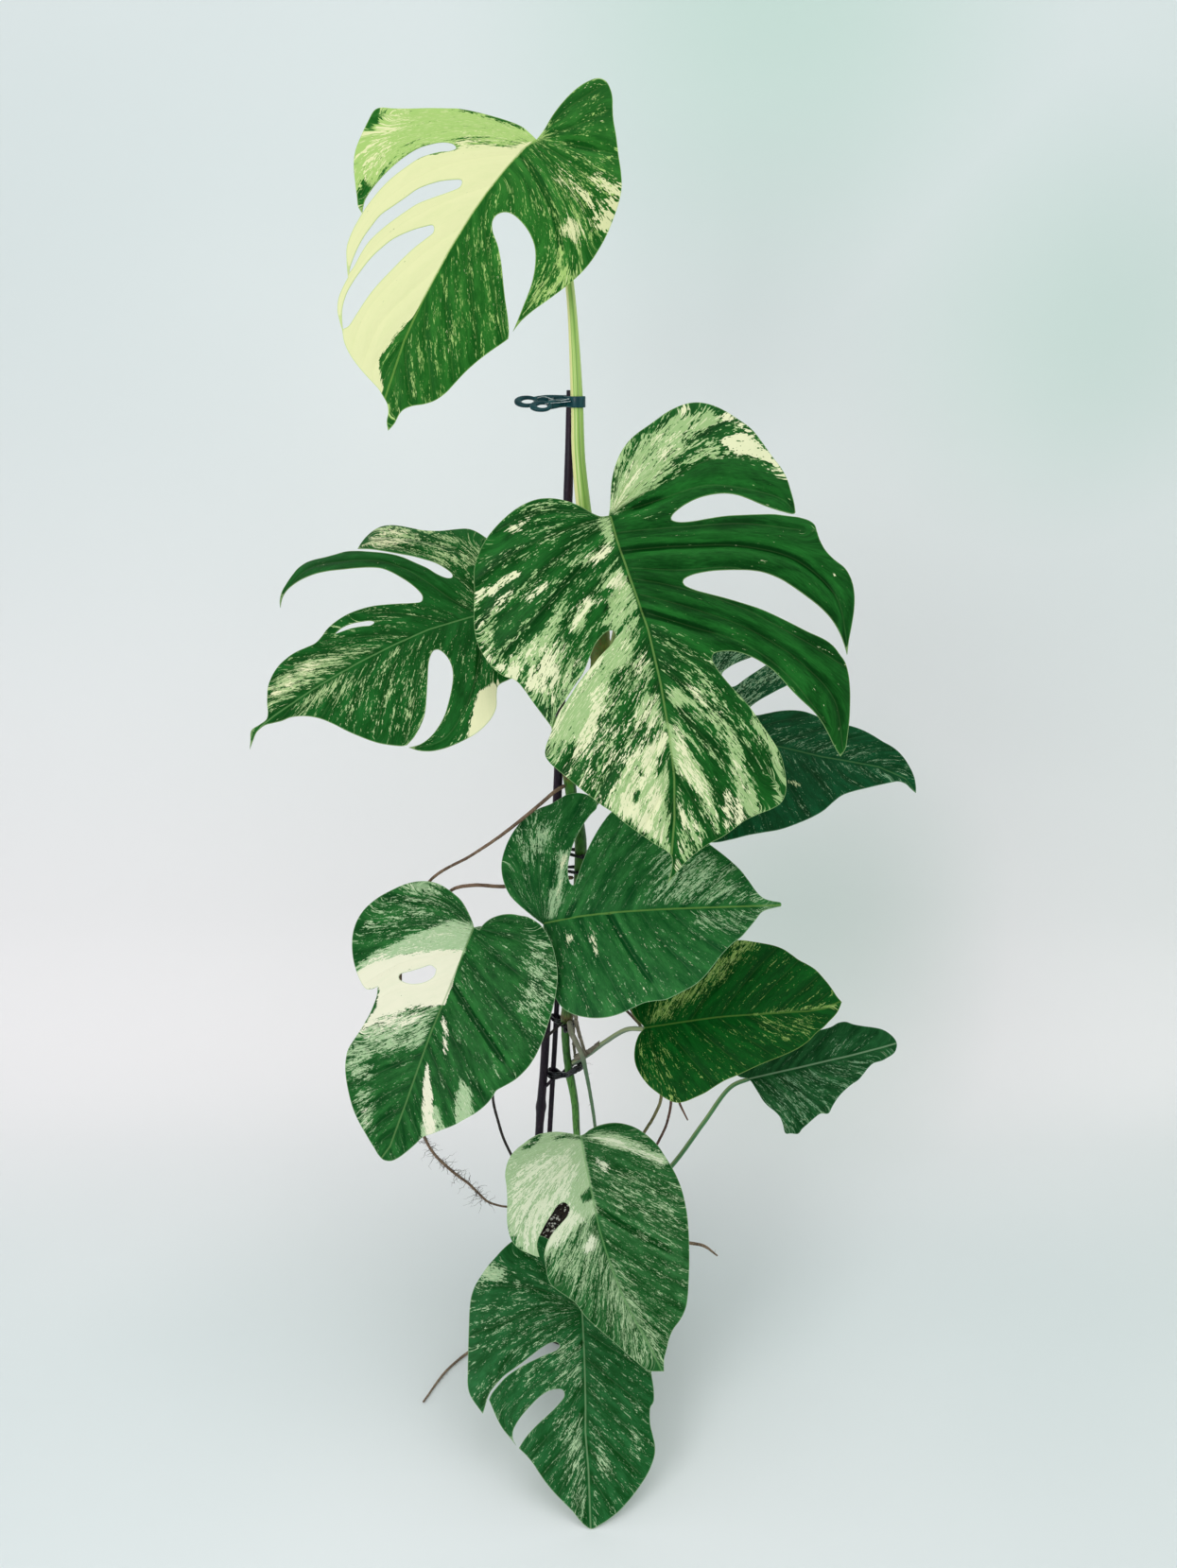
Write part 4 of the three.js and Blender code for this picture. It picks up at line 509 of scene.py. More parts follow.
        84, 112, 124, 138, 156], [62, 9, 78, 45, 101, 88, 128, 120, 160, 143, 198, 145], [76, 12, 92, 45,
        112, 84, 140, 112, 176, 134], [92, 14, 110, 38, 132, 64, 164, 86, 202, 96], [114, 16, 138, 38, 168,
        62, 206, 84], [138, 17, 165, 36, 198, 58, 230, 74], [165, 18, 192, 32, 222, 50, 242, 60], [192,
        17.5, 218, 28, 248, 42], [215, 15.5, 236, 20, 256, 26]]),
        "marks": [
            ("light", 0, 5, [-20, -60, -8, -92, 30, -110, 86, -112, 110, -92, 150, -60, 90, -20, 40, -2, 4,
            -4, -12, -30]),
            ("light", 0.5, 4, [50, -114, 58, -98, 86, -100, 98, -112]),
            ("cream", 0.4, 4, [58, -114, 62, -102, 86, -102, 96, -112]),
            ("light", 0.45, 4, [92, -98, 82, -62, 94, -36, 142, -58, 152, -68, 122, -82, 106, -96]),
            ("cream", 0.42, 5, [94, -94, 84, -62, 96, -42, 136, -60, 120, -82, 106, -94]),
            ("cream", 0.75, 2, [-5, -76, -8, -56, -4, -57, 2, -76]),
            ("cream", 0.85, 1.5, [37, -110, 47, -112, 40, -97, 36, -98]),
            ("cream", 0.85, 1.5, [34, -96, 30, -74, 35, -72, 37, -86, 43, -99]),
            ("cream", 0.8, 2, [47, -94, 56, -100, 57, -94, 48, -80, 43, -80]),
            ("cream", 0.85, 1.5, [42, -56, 46, -53, 55, -68, 55, -76, 49, -70]),
            ("light", 1, 1.5, [60, -45, 64, -42, 80, -52, 94, -62, 98, -72, 92, -74, 76, -60]),
            ("cream", 0.85, 2, [88, -112, 94, -106, 106, -98, 114, -90, 108, -84, 100, -86, 98, -100, 90,
            -104]),
            ("cream", 0.85, 2, [90, -70, 104, -68, 122, -82, 118, -70, 104, -62]),
            ("cream", 0.85, 2, [98, -62, 118, -76, 126, -66, 112, -58]),
            ("light", 1, 2, [0, -7, 10, -10, 20, -6, 24, -1, 4, 0]),
            ("cream", 0.85, 1.5, [20, -3, 23, -12, 30, -21, 37, -20, 33, -10, 25, -3]),
            ("light", 0.9, 1.5, [26, -18, 32, -36, 37, -34, 29, -18]),
            ("light", 0.8, 2, [42, 2, 45, -6, 54, -16, 60, -28, 70, -40, 80, -42, 84, -36, 80, -22, 90, -10,
            84, 6, 70, 10, 56, 8]),
            ("cream", 0.8, 3, [44, 2, 48, -8, 58, -18, 62, -30, 72, -40, 82, -40, 72, -22, 62, -8, 56, 5]),
            ("dark", -0.5, 1.5, [56, -6, 58, -20, 63, -24, 61, -10]),
            ("dark", -0.5, 1.5, [64, -14, 74, -28, 82, -28, 72, -12]),
            ("dark", 0.12, 5, [88, 14, 120, -14, 142, -26, 166, -62, 182, -66, 212, -38, 240, -4, 262, 6,
            262, 16, 180, 17, 120, 16]),
            ("cream", 0.15, 6, [140, -22, 168, -62, 184, -64, 214, -34, 200, -14, 166, 4, 130, 12]),
            ("light", 1, 2, [88, 4, 92, -12, 102, -28, 120, -44, 136, -60, 152, -68, 172, -74, 177, -68,
            164, -60, 166, -50, 160, -38, 148, -28, 132, -20, 120, -16, 112, -4, 100, 2]),
            ("cream", 0.85, 1.5, [100, -24, 122, -43, 138, -59, 152, -68, 160, -73, 158, -66, 142, -54, 124,
            -36, 106, -20]),
            ("cream", 0.85, 2, [124, -24, 128, -20, 138, -27, 152, -33, 168, -42, 176, -52, 170, -52, 154,
            -43, 140, -38, 130, -34]),
            ("cream", 0.6, 3, [92, -2, 98, -18, 110, -26, 108, -14, 100, 0]),
            ("light", 0.5, 2, [112, 0, 112, 14, 128, 14, 134, -8, 124, -8]),
            ("light", 0.7, 2, [134, 4, 136, 15, 162, 16, 160, 0, 148, -4]),
            ("cream", 0.45, 2, [146, 4, 146, 15, 162, 16, 160, 2]),
            ("light", 1, 2, [178, -8, 198, -24, 212, -36, 224, -24, 238, -8, 252, 4, 262, 8, 246, 9, 222,
            10, 200, 12, 186, 8, 172, 12]),
            ("cream", 0.85, 2, [164, 15, 168, 8, 182, -6, 196, -14, 214, -24, 224, -22, 226, -13, 210, -11,
            200, -3, 186, 3, 178, 12, 172, 16]),
            ("cream", 0.85, 2, [214, -20, 232, -14, 244, 0, 238, 2, 226, -6]),
            ("cream", 0.6, 2.5, [196, -2, 214, -6, 230, 2, 226, 6, 206, 4]),
            ("dark", 0.1, 0.6, [188, -6, 196, -2, 195, -8, 190, -9]),
            ("dark", 0.1, 0.6, [206, -14, 214, -16, 214, -10, 207, -9]),
            ("dark", 0.1, 0.6, [182, 6, 197, 4, 196, 10, 186, 11]),
            ("dark", -0.1, 1, [204, 12, 216, 8, 240, 8, 266, 7, 272, 9, 252, 15, 228, 16, 204, 16]),
            ("light", 0.1, 4, [94, 20, 118, 18, 190, 20, 234, 50, 240, 66, 232, 92, 214, 98, 176, 92, 150,
            74, 120, 56]),
            ("light", 1, 1.5, [136, 21, 138, 30, 148, 35, 148, 25]),
            ("light", 0.62, 2, [124, 34, 136, 44, 160, 60, 186, 70, 176, 58, 152, 42, 136, 34]),
            ("cream", 0.45, 2, [126, 36, 138, 46, 158, 58, 152, 46, 138, 36]),
            ("light", 0.55, 2, [148, 20, 162, 30, 182, 38, 192, 36, 172, 22]),
            ("cream", 0.55, 2, [158, 22, 172, 30, 184, 37, 174, 24]),
            ("light", 1, 1.5, [160, 18, 178, 17, 198, 20, 206, 27, 222, 34, 244, 44, 230, 46, 210, 41, 194,
            38, 178, 29, 168, 22]),
            ("cream", 0.85, 2, [170, 19, 196, 21, 208, 29, 228, 38, 242, 43, 228, 43, 208, 38, 190, 33, 178,
            26]),
            ("dark", -0.6, 1.5, [200, 20, 208, 22, 222, 31, 212, 29]),
            ("light", 0.6, 2, [208, 18, 222, 20, 244, 34, 256, 26, 266, 14, 240, 12]),
            ("cream", 0.5, 2, [214, 19, 240, 30, 248, 30, 236, 16]),
            ("dark", -0.4, 2, [178, 32, 196, 42, 216, 47, 242, 48, 246, 52, 216, 52, 194, 48]),
            ("cream", 0.85, 1.5, [214, 52, 218, 56, 238, 54, 242, 50, 228, 49]),
            ("cream", 0.85, 1.5, [216, 58, 220, 62, 238, 66, 242, 57, 228, 57]),
            ("light", 1, 2, [178, 60, 184, 66, 200, 68, 224, 74, 236, 78, 236, 68, 220, 62, 198, 59]),
            ("cream", 0.4, 3, [182, 62, 200, 66, 222, 72, 224, 66, 200, 60]),
            ("dark", -0.2, 2, [188, 76, 206, 84, 228, 86, 230, 79, 208, 75]),
            ("light", 1, 2, [156, 80, 168, 84, 186, 93, 204, 97, 224, 95, 232, 88, 214, 91, 192, 88, 172,
            79]),
            ("light", 0.3, 3, [-8, 2, -28, 4, -50, 12, -66, 28, -78, 50, -88, 76, -82, 96, -72, 84, -68, 60,
            -60, 38, -46, 28, -30, 18]),
            ("light", 1, 1.5, [0, 0, -6, 0, -24, 10, -36, 22, -48, 28, -60, 36, -62, 46, -66, 56, -70, 68,
            -73, 86, -66, 100, -60, 88, -57, 80, -52, 64, -44, 64, -40, 62, -34, 54, -28, 50, -22, 43, -16,
            38, -12, 24, -5, 12]),
            ("cream", 0.62, 3, [-1, 1, -7, 2, -24, 13, -38, 26, -34, 34, -18, 22, -5, 10]),
            ("cream", 0.4, 4, [-30, 36, -56, 42, -66, 80, -60, 80, -46, 58, -32, 50]),
            ("cream", 0.85, 1.5, [-46, 90, -52, 104, -48, 118, -40, 124, -32, 126, -33, 110, -36, 99, -41,
            90]),
            ("cream", 0.85, 2, [-66, 94, -72, 100, -60, 112, -46, 122, -28, 134, -8, 140, -12, 134, -24,
            128, -36, 118, -50, 116, -60, 104]),
            ("cream", 0.85, 1.5, [-24, 120, -18, 121, -12, 132, -18, 130]),
            ("light", 0.5, 2.5, [-52, 74, -44, 92, -38, 90, -36, 72, -44, 64]),
            ("cream", 0.85, 1.5, [-82, 70, -76, 76, -70, 66, -76, 66]),
            ("light", 0.9, 1.5, [-64, 48, -72, 62, -66, 62, -60, 54]),
            ("dark", -0.5, 1, [4, 4, -6, 14, -12, 34, -20, 56, -32, 76, -30, 100, -24, 118, -6, 134, 16,
            142, 14, 100, 4, 45]),
            ("dark", -0.55, 1, [2, 2, 14, 40, 14, 140, 90, 178, 204, 152, 202, 143, 158, 124, 116, 82, 110,
            58, 94, 34, 84, 14, 50, 8]),
        ],
    },
    "leaf_4": {  # behind the main leaf, on the right
        "base": (112, -20, 643), "turn": (77, 12, 37), "length": 180, "droop": 16, "fold": (6, 6), "arch":
        (14, 14), "back": (0, 0), "cream": -0.8, "light": -0.22,
        "midrib": [-90, 0, 0, 0, 60, 5, 100, 10, 150, 22, 175, 22, 186, 13],
        "margin": [[0, 0, -14, -6, -30, -25, -36, -50, -30, -75, -10, -95, 14, -103, 33, -101, 46, -94, 58,
        -86, 70, -79, 82, -71.5, 94, -61, 104, -51, 112, -41, 118, -30, 124, -20.5, 133, -12, 143, -4, 153,
        4, 162, 11, 169, 16, 176, 17, 181, 15], [186.5, 13, 185, 19, 181.5, 27, 176, 34, 168, 41, 158, 45.5,
        147, 47, 137, 49, 128, 50, 118, 49.5, 105, 47, 94, 45.5, 84, 46.5, 75, 46.3, 65, 43.5, 55, 38.5, 46,
        32.5, 38, 27.5, 32, 28, 31, 33, 36, 42, 43, 51.5, 50, 60.5, 57, 69, 62, 80, 60, 92, 52, 100, 44, 96,
        35, 85, 27, 72.5, 20, 61, 14, 51, 8, 48.5, 3, 53, 0, 61, 5, 71, 12, 79.5, 20, 88, 27, 97, 24, 105,
        12, 108, -6, 104, -25, 92, -38, 70, -40, 45, -32, 22, -16, 6]],
        "holes": [],
        "veins": ([[-1, -1, -22, -30, -30, -60], [0, -1, -6, -50, 3, -99], [4, 0, 20, -45, 40, -95], [28, 2,
        50, -34, 73, -75], [54, 4.5, 76, -26, 102, -52], [80, 7.5, 100, -14, 119, -28], [106, 11, 124, -4,
        140, -7], [130, 17, 143, 10, 156, 7]], [[-1, 1, -20, 22, -35, 46], [-1, 1, -18, 45, -25, 90], [0, 1,
        -6, 45, 0, 80, 18, 105], [6, 1, 20, 30, 36, 60, 50, 94], [32, 3, 52, 25, 84, 45], [60, 5, 84, 28,
        112, 47], [86, 8.5, 108, 28, 135, 48], [112, 12, 132, 30, 156, 45], [134, 18, 150, 30, 170, 38],
        [155, 22, 168, 28, 180, 28]]),
        "marks": [
            ("light", 0.18, 6, [58, 0, 180, 14, 178, 34, 60, 20]),
            ("light", 0.3, 6, [-34, 20, -20, 100, 24, 110, 64, 94, 40, 48, 12, 6]),
            ("cream", 1.1, 1, [75, -27.5, 88, -28.5, 90, -24.5, 78, -24]),
        ],
    },
    "leaf_5": {  # the middle leaf, which points right
        "base": (-23, -75, 490), "turn": (77, -11, 46), "length": 198, "droop": 16, "fold": (5, 5), "arch":
        (14, 14), "back": (0, 0), "cream": -0.8, "light": -0.14,
        "midrib": [-90, 0, 0, 0, 30, 4, 60, 6, 100, 7, 150, 8, 180, 9, 198, 10],
        "margin": [[0, -1, 2, -10, 3, -20, 5, -33, 7.5, -46, 10.5, -57, 14, -66, 20, -73.5, 29, -78.5, 40,
        -81.3, 50, -82, 60, -81, 70, -78, 78, -74.5, 86, -71, 95, -69.5, 103, -68.8, 111, -65.5, 119, -61.5,
        127, -57, 135, -50, 142, -41.5, 149, -32.5, 157, -24, 165, -17.5, 171, -10.5, 177, -3, 181, 2.5,
        185, 5.3, 191, 7.3], [198, 9, 198, 12, 191, 13.3, 185, 15, 181, 18, 177, 23, 172, 31, 166, 39.5,
        159, 47, 151, 54.5, 143, 61.5, 133, 70, 122, 78, 110, 86, 97, 94, 84, 100, 72, 103.5, 63, 102.5, 56,
        97, 51, 90, 46, 82, 41, 72.5, 37, 63, 34, 54, 31, 45, 28.5, 37, 26.5, 31.5, 23, 33.5, 20.8, 41,
        20.3, 48, 21, 56, 22.5, 64, 24.5, 71, 28, 80, 32.5, 89, 38, 97, 43.5, 103.5, 42, 111, 35, 117.5, 25,
        121, 15, 120.5, 8, 117, 0, 112.5, -10, 109, -20, 103.5, -28, 95, -34, 84, -38, 72, -40.3, 59, -39.5,
        48, -36, 36.5, -30.5, 26.5, -22.5, 18, -14, 10.5, -7, 4.5]],
        "holes": [],
        "veins": ([[1, -1, 9, -35, 19, -70], [12, 1, 26, -36, 44, -80], [32, 4, 48, -30, 72, -76], [56, 6,
        75, -28, 102, -68], [82, 6.5, 102, -22, 130, -52], [106, 7, 126, -13, 149, -31], [130, 7.5, 147, -7,
        165, -16], [152, 8, 165, -3, 176, -4], [170, 8.5, 180, 3, 186, 6]], [[-1, 1, -20, 22, -35, 46], [-1,
        1, -14, 40, -25, 92], [0, 1, -5, 40, -6, 85, 3, 112], [2, 1, 8, 35, 14, 75, 32, 115], [20, 3, 38,
        36, 58, 72, 75, 102], [42, 5, 60, 38, 84, 72, 103, 91], [66, 6.5, 86, 36, 112, 62, 127, 75], [92, 7,
        112, 32, 136, 54, 148, 58], [118, 7.5, 138, 26, 160, 45], [142, 8, 158, 22, 172, 32], [165, 8.5,
        174, 16, 181, 18]]),
        "marks": [
            ("light", 0.45, 6, [-26, 56, 0, 58, 6, 96, -22, 96]),
            ("light", 1, 2, [10, 14, 15, 16, 20, 62, 13, 62]),
            ("cream", 0.6, 2, [10, 16, 15, 18, 20, 60, 13, 60]),
            ("light", 0.9, 2, [3, 2, 10, 4, 13, 30, 5, 28]),
            ("light", 0.4, 6, [90, 10, 166, 12, 158, 44, 104, 70]),
            ("dark", -0.3, 5, [2, -1, 8, -62, 50, -86, 112, -70, 160, -20, 120, 3, 40, 4]),
            ("cream", 1.1, 0.8, [22, -18, 25, -19, 27, -13, 23, -12]),
            ("cream", 1, 0.8, [41, -14, 44, -15, 49, -28, 47, -31]),
            ("light", 0.35, 5, [120, -12, 160, -14, 176, 4, 130, 5]),
            ("light", 0.5, 4, [178, 2, 199, 8, 199, 12, 178, 18]),
        ],
    },
    "leaf_6": {  # the left lower leaf
        "base": (-81, -85, 492), "turn": (-30, 52, -13), "length": 195, "droop": 16, "fold": (5, 5), "arch":
        (14, 14), "back": (0, 0), "cream": -0.7, "light": -0.2,
        "midrib": [-90, 1, 0, 1, 30, -1, 60, -3, 90, -6, 120, -8, 150, -10, 190, -14, 202, -19],
        "margin": [[0, 1, -3, -1, -7, -4.5, -12.5, -10, -18, -17, -22, -26, -25, -36, -26, -44, -25, -53,
        -22, -62, -17, -71, -10, -80, -2, -89, 6, -95.5, 14, -100, 24, -102.3, 34, -101.5, 44, -98, 54, -93,
        62, -87.5, 68, -82, 73, -76, 75, -71, 73, -66], [70, -62.5, 77, -60.8, 85, -61, 93, -62, 101, -64,
        109, -66.3, 117, -69, 125, -71.5, 132, -71.5, 141, -69.5, 151, -65.5, 161, -60, 171, -53, 180,
        -44.5, 188, -35.5, 195, -27.5, 200, -22, 202.5, -17, 201, -10, 196, -4, 189, 1.5, 181, 7, 173, 12,
        168, 19, 162, 26.5, 156, 34.5, 149, 41.5, 141, 49.5, 132, 56, 124, 59.5, 119, 61, 113, 67, 106,
        73.5, 98, 78.5, 90, 82, 80, 84.5, 68, 85.8, 56, 86, 44, 86, 32, 85, 18, 82, 5, 76, -8, 67, -17, 56,
        -20.5, 44, -20, 36, -19, 28, -16, 20, -11, 13, -5, 8.5], [1, 6.5]],
        "holes": [[[42, -18, 40.5, -24, 45, -31, 50, -39, 55, -47, 59, -46, 60, -38, 58, -30, 54, -23, 48,
        -18]]],
        "veins": ([[-1, 0, -14, -22, -18, -50], [-1, 0, -10, -40, -2, -84], [2, 0, 10, -40, 32, -96], [16,
        0, 32, -25, 48, -52, 70, -74], [40, -2, 54, -20, 68, -46, 82, -60], [62, -3, 80, -24, 106, -62],
        [84, -5.5, 104, -28, 132, -70], [108, -7, 128, -30, 154, -62], [132, -9, 152, -30, 174, -48], [155,
        -10.5, 172, -26, 188, -36], [176, -12.5, 188, -22, 198, -25]], [[-1, 2, -12, 22, -17, 46], [0, 2, 0,
        40, 8, 78], [6, 1, 20, 35, 40, 86], [26, 0, 46, 32, 76, 84], [50, -2, 72, 28, 103, 70], [76, -4, 98,
        22, 130, 54], [102, -6, 122, 14, 150, 43], [126, -8, 144, 8, 164, 25], [150, -10, 164, 0, 176, 10],
        [172, -12, 184, -4, 190, 0]]),
        "marks": [
            ("light", 0.2, 8, [-18, -20, -20, -64, 10, -98, 34, -90, 14, -30]),
            ("light", 0.8, 2, [-26, -38, -26, -56, -18, -66, -14, -58, -18, -38]),
            ("light", 1.3, 2, [-1, 0, 0, -16, 18, -42, 46, -76, 64, -90, 68, -76, 46, -56, 32, -26, 22,
            -1]),
            ("cream", 0.3, 4, [2, -2, 4, -16, 22, -40, 50, -76, 60, -84, 46, -58, 26, -24]),
            ("light", 0.65, 4, [70, -4, 86, -50, 112, -68, 124, -50, 106, -10]),
            ("cream", 0.45, 4, [70, -4, 84, -50, 112, -68, 116, -54, 96, -24]),
            ("cream", 1.5, 0.8, [20, -1.2, 28, -24, 40, -52, 52, -74, 66, -88, 77, -73, 70, -61, 86, -58,
            112, -67, 90, -50, 76, -26, 67, -1.2]),
            ("light", 1.2, 2, [22, -1, 34, -3, 30, -14, 20, -10]),
            ("light", 0.5, 4, [110, -74, 146, -74, 146, -46, 112, -50]),
            ("light", 0.5, 4, [156, -52, 186, -44, 182, -32, 158, -36]),
            ("cream", 0.5, 3, [166, -48, 182, -42, 180, -34, 166, -38]),
            ("light", 0.35, 5, [-12, 50, 60, 60, 62, 90, 0, 80]),
            ("cream", 1, 1, [72, -2, 80, 0, 108, 11, 104, 13, 88, 8, 74, 1]),
            ("cream", 1.2, 1.2, [116, -2, 132, 0, 150, 6, 172, 14, 168, 24, 150, 14, 132, 7]),
            ("light", 1.1, 1, [119, 30, 138, 30, 155, 38, 147, 49, 124, 40]),
            ("light", 1.1, 1, [148, 6, 174, 10, 172, 27, 160, 28, 146, 17]),
            ("cream", 1.1, 0.8, [116, -1, 134, 1, 164, 9, 168, 15, 150, 14, 130, 7]),
        ],
    },
    "leaf_7": {  # the right lower leaf
        "base": (62, -45, 375), "turn": (85, -9, 40), "length": 177, "droop": 14, "fold": (5, 5), "arch":
        (14, 14), "back": (0, 0), "cream": -0.8, "light": -0.25,
        "midrib": [-90, -4, 3, -4, 30, -2, 70, 1, 120, 2, 150, 3, 165, 5, 178, 11],
        "margin": [[3, -4, -1, -8, -4, -13, -6.5, -21, -7.5, -31, -6, -40, -2, -48.5, 4, -57, 11, -63.5, 18,
        -69, 26, -72.8, 34, -72.5, 43, -69.5, 52, -66, 61, -61, 70, -56.5, 80, -53, 90, -49, 100, -45, 110,
        -41.5, 120, -38, 130, -34, 139, -29.5, 147, -24, 154, -17.5, 161, -12.5, 167, -7, 172, -2.5, 176, 2,
        179, 7], [181, 11, 177, 16.5, 173, 24, 167.5, 32.5, 161, 41, 154, 46.5, 147, 51, 141, 56.5, 134,
        62.5, 126, 66.5, 117, 69, 108, 71, 99, 72.8, 88, 73.5, 74, 73.5, 56, 72, 36, 69, 18, 62, 4, 52, -5,
        38, -8.5, 24, -7.5, 12, -4, 5, 0, 0]],
        "holes": [],
        "veins": ([[1, -5, -4, -28, 2, -56], [5, -4, 12, -35, 28, -72], [20, -3, 38, -30, 62, -62], [44, -1,
        64, -24, 90, -49], [70, 0, 90, -18, 116, -39], [96, 1, 114, -12, 138, -25], [122, 1.5, 138, -8, 154,
        -14], [146, 2, 158, -4, 166, -4]], [[1, -3, -4, 20, 4, 50], [4, -4, 12, 30, 28, 67], [20, -3, 42,
        28, 64, 72], [44, -1, 70, 32, 100, 72], [70, 1, 98, 34, 128, 64], [96, 1.5, 122, 28, 148, 52], [122,
        2, 144, 20, 162, 35], [146, 3, 160, 12, 170, 20]]),
        "marks": [
            ("light", 0.15, 6, [-6, -20, 4, -58, 26, -72, 26, -20]),
            ("light", 0.55, 4, [6, -1, 12, 14, 58, 46, 104, 80, 114, 68, 68, 30, 22, 1]),
            ("light", 0.9, 1.2, [100, 0, 176, 6, 178, 10, 150, 6, 100, 3]),
            ("light", 0.12, 4, [108, -22, 152, -16, 152, 1, 108, 0]),
        ],
    },
    "leaf_8": {  # the small leaf at the far right
        "base": (163, -20, 302), "turn": (90, -13, 40), "length": 141, "droop": 10, "fold": (-6, 30),
        "arch": (14, 20), "back": (0, 0), "cream": -0.8, "light": -0.3,
        "midrib": [-90, -2, 0, -2, 50, 0, 100, 3, 130, 6, 145, 8],
        "margin": [[0, -1, 3, -4, 5, -9, 7.5, -16, 10, -23, 13.5, -29, 18, -34, 22, -40, 23.5, -47, 24,
        -55.5, 29, -56.5, 35.5, -58, 40, -54.5, 47, -50.5, 54, -46.5, 60, -44, 67, -45, 72, -39.5, 79,
        -32.5, 86, -27.5, 94, -23, 101, -20, 107, -15.5, 113, -10.5, 119, -7, 127, -6, 133, -4, 138, -2,
        142, 1, 145, 7, 143.5, 12.5, 139, 18, 133, 22.5, 125, 25.5, 116, 28, 107, 31, 100, 34.5, 93, 34.5,
        86, 32, 78, 31, 62, 30.5, 45, 30, 28, 28, 12, 24, -2, 17, -9, 8, -7, 2]],
        "holes": [],
        "veins": ([[0, -3, 12, -25, 26, -55], [10, -2, 26, -24, 42, -51], [28, -1, 44, -20, 63, -41], [48,
        0, 64, -16, 84, -27], [68, 1, 84, -10, 102, -18], [88, 2, 104, -4, 120, -8]], [[0, 0, 8, 12, 14,
        23], [10, -1, 28, 12, 42, 28], [30, 0, 48, 14, 66, 30], [52, 1, 70, 16, 90, 33], [76, 2, 94, 16,
        110, 29], [98, 3, 114, 14, 126, 21]]),
        "marks": [
            ("light", 0.12, 2, [0, -2, 20, -64, 62, -62, 116, -16, 148, 6, 130, 5, 50, -1]),
            ("light", 0.1, 5, [70, 4, 110, 8, 110, 20, 74, 20]),
        ],
    },
    "leaf_9": {  # the front lower leaf
        "base": (10, -75, 279), "turn": (25, 42, 14), "length": 201, "droop": 16, "fold": (5, 5), "arch":
        (14, 14), "back": (0, 0), "cream": -0.5, "light": -0.1,
        "midrib": [-90, -3, 0, -2, 20, -5, 40, -7, 60, -9, 80, -11, 100, -11, 120, -10, 140, -8, 160, -4,
        180, 1, 206, 6],
        "margin": [[0, -3, -3, -8, -6, -14, -9, -21, -11, -29, -12, -38, -10.8, -46, -8.5, -53, -6, -60, -2,
        -67, 4, -72.5, 12, -76.5, 21, -78, 30, -80, 40, -83, 50, -86, 60, -87, 68, -85.8, 75, -81.5, 80,
        -75.5, 84, -70.5], [85.5, -67.5, 77, -67, 71, -64, 65.5, -58.5, 60, -52.5, 55.5, -46.5, 50.5, -40,
        50, -33.5, 55.5, -30.5, 61, -34, 65, -40.5, 69, -48, 73.5, -54.5, 79, -59.5, 86, -63.3, 94, -64.5,
        102, -65.5, 109, -64.8, 116, -60.5, 123, -54.5, 130, -49, 138, -46, 146, -42.5, 153, -38, 160,
        -33.5, 168, -28, 176, -23, 184, -18, 191, -13, 197, -9, 202, -4, 204.5, 2], [206.5, 7.5, 203, 8.5,
        197, 10.5, 190, 15, 183, 19.5, 177, 25, 171, 34, 164, 41, 155, 46, 143, 51, 130, 56, 118, 60, 105,
        64, 92, 67.2, 80, 69, 70, 69.5, 60, 68.8, 50, 67, 40, 64.5, 30, 61.5, 20, 56, 11, 49, 5, 42, 0.5,
        34, -2, 26, -3, 16, -2, 7, 0, 1]],
        "holes": [],
        "veins": ([[-1, -4, -6, -25, -6, -55], [0, -4, 2, -40, 9, -77], [4, -4, 18, -40, 38, -84], [10, -5,
        32, -40, 58, -68, 81, -74], [34, -7, 56, -26, 76, -50, 94, -65], [54, -9, 78, -28, 109, -58], [76,
        -11, 98, -26, 126, -46], [98, -11, 120, -24, 148, -38], [120, -10, 140, -20, 166, -28], [140, -8,
        158, -14, 180, -20], [158, -4, 174, -8, 192, -10]], [[-1, -1, -2, 18, 2, 40], [2, -2, 14, 22, 28,
        42, 47, 66], [16, -4, 40, 22, 77, 66], [38, -7, 64, 18, 105, 62], [62, -9, 88, 14, 128, 55], [86,
        -11, 112, 10, 148, 47], [108, -10, 132, 8, 162, 37], [130, -9, 150, 6, 174, 27], [148, -6, 166, 6,
        186, 19], [166, -3, 182, 6, 196, 12]]),
        "marks": [
            ("light", 0.2, 5, [24, 0, 44, 0, 112, 40, 100, 66, 70, 66]),
            ("light", 0.45, 4, [66, -12, 106, -12, 128, -44, 108, -60, 84, -62]),
            ("light", 0.4, 5, [100, -30, 192, -18, 202, 8, 182, 16, 140, 4, 104, -4]),
            ("light", 1.4, 2, [-14, -4, -14, -60, 0, -80, 40, -92, 88, -76, 86, -62, 79, -46, 70, -24, 66,
            -9, 40, -7, 0, -2]),
            ("cream", 0.55, 5, [4, -8, 4, -70, 40, -88, 80, -78, 76, -50, 64, -30, 30, -14]),
            ("cream", 0.95, 3, [54, -34, 66, -20, 80, -46, 84, -64, 72, -58]),
            ("dark", -0.3, 1.2, [-7, -28, -3, -24, 0, -12, 3, -3, -1, -5, -4, -12, -6, -20]),
            ("dark", -0.1, 1, [-12, -36, -9, -48, -4, -57, -2, -51, -6, -40]),
            ("dark", -0.7, 1, [45, -9, 50, -19, 55, -18, 54, -10]),
            ("cream", 1.3, 1.2, [83, -20, 90, -30, 97, -28, 94, -20, 86, -16]),
            ("light", 1.2, 2, [3, 2, 8, 8, 20, 26, 34, 44, 48, 62, 44, 66, 28, 50, 10, 30, 2, 12]),
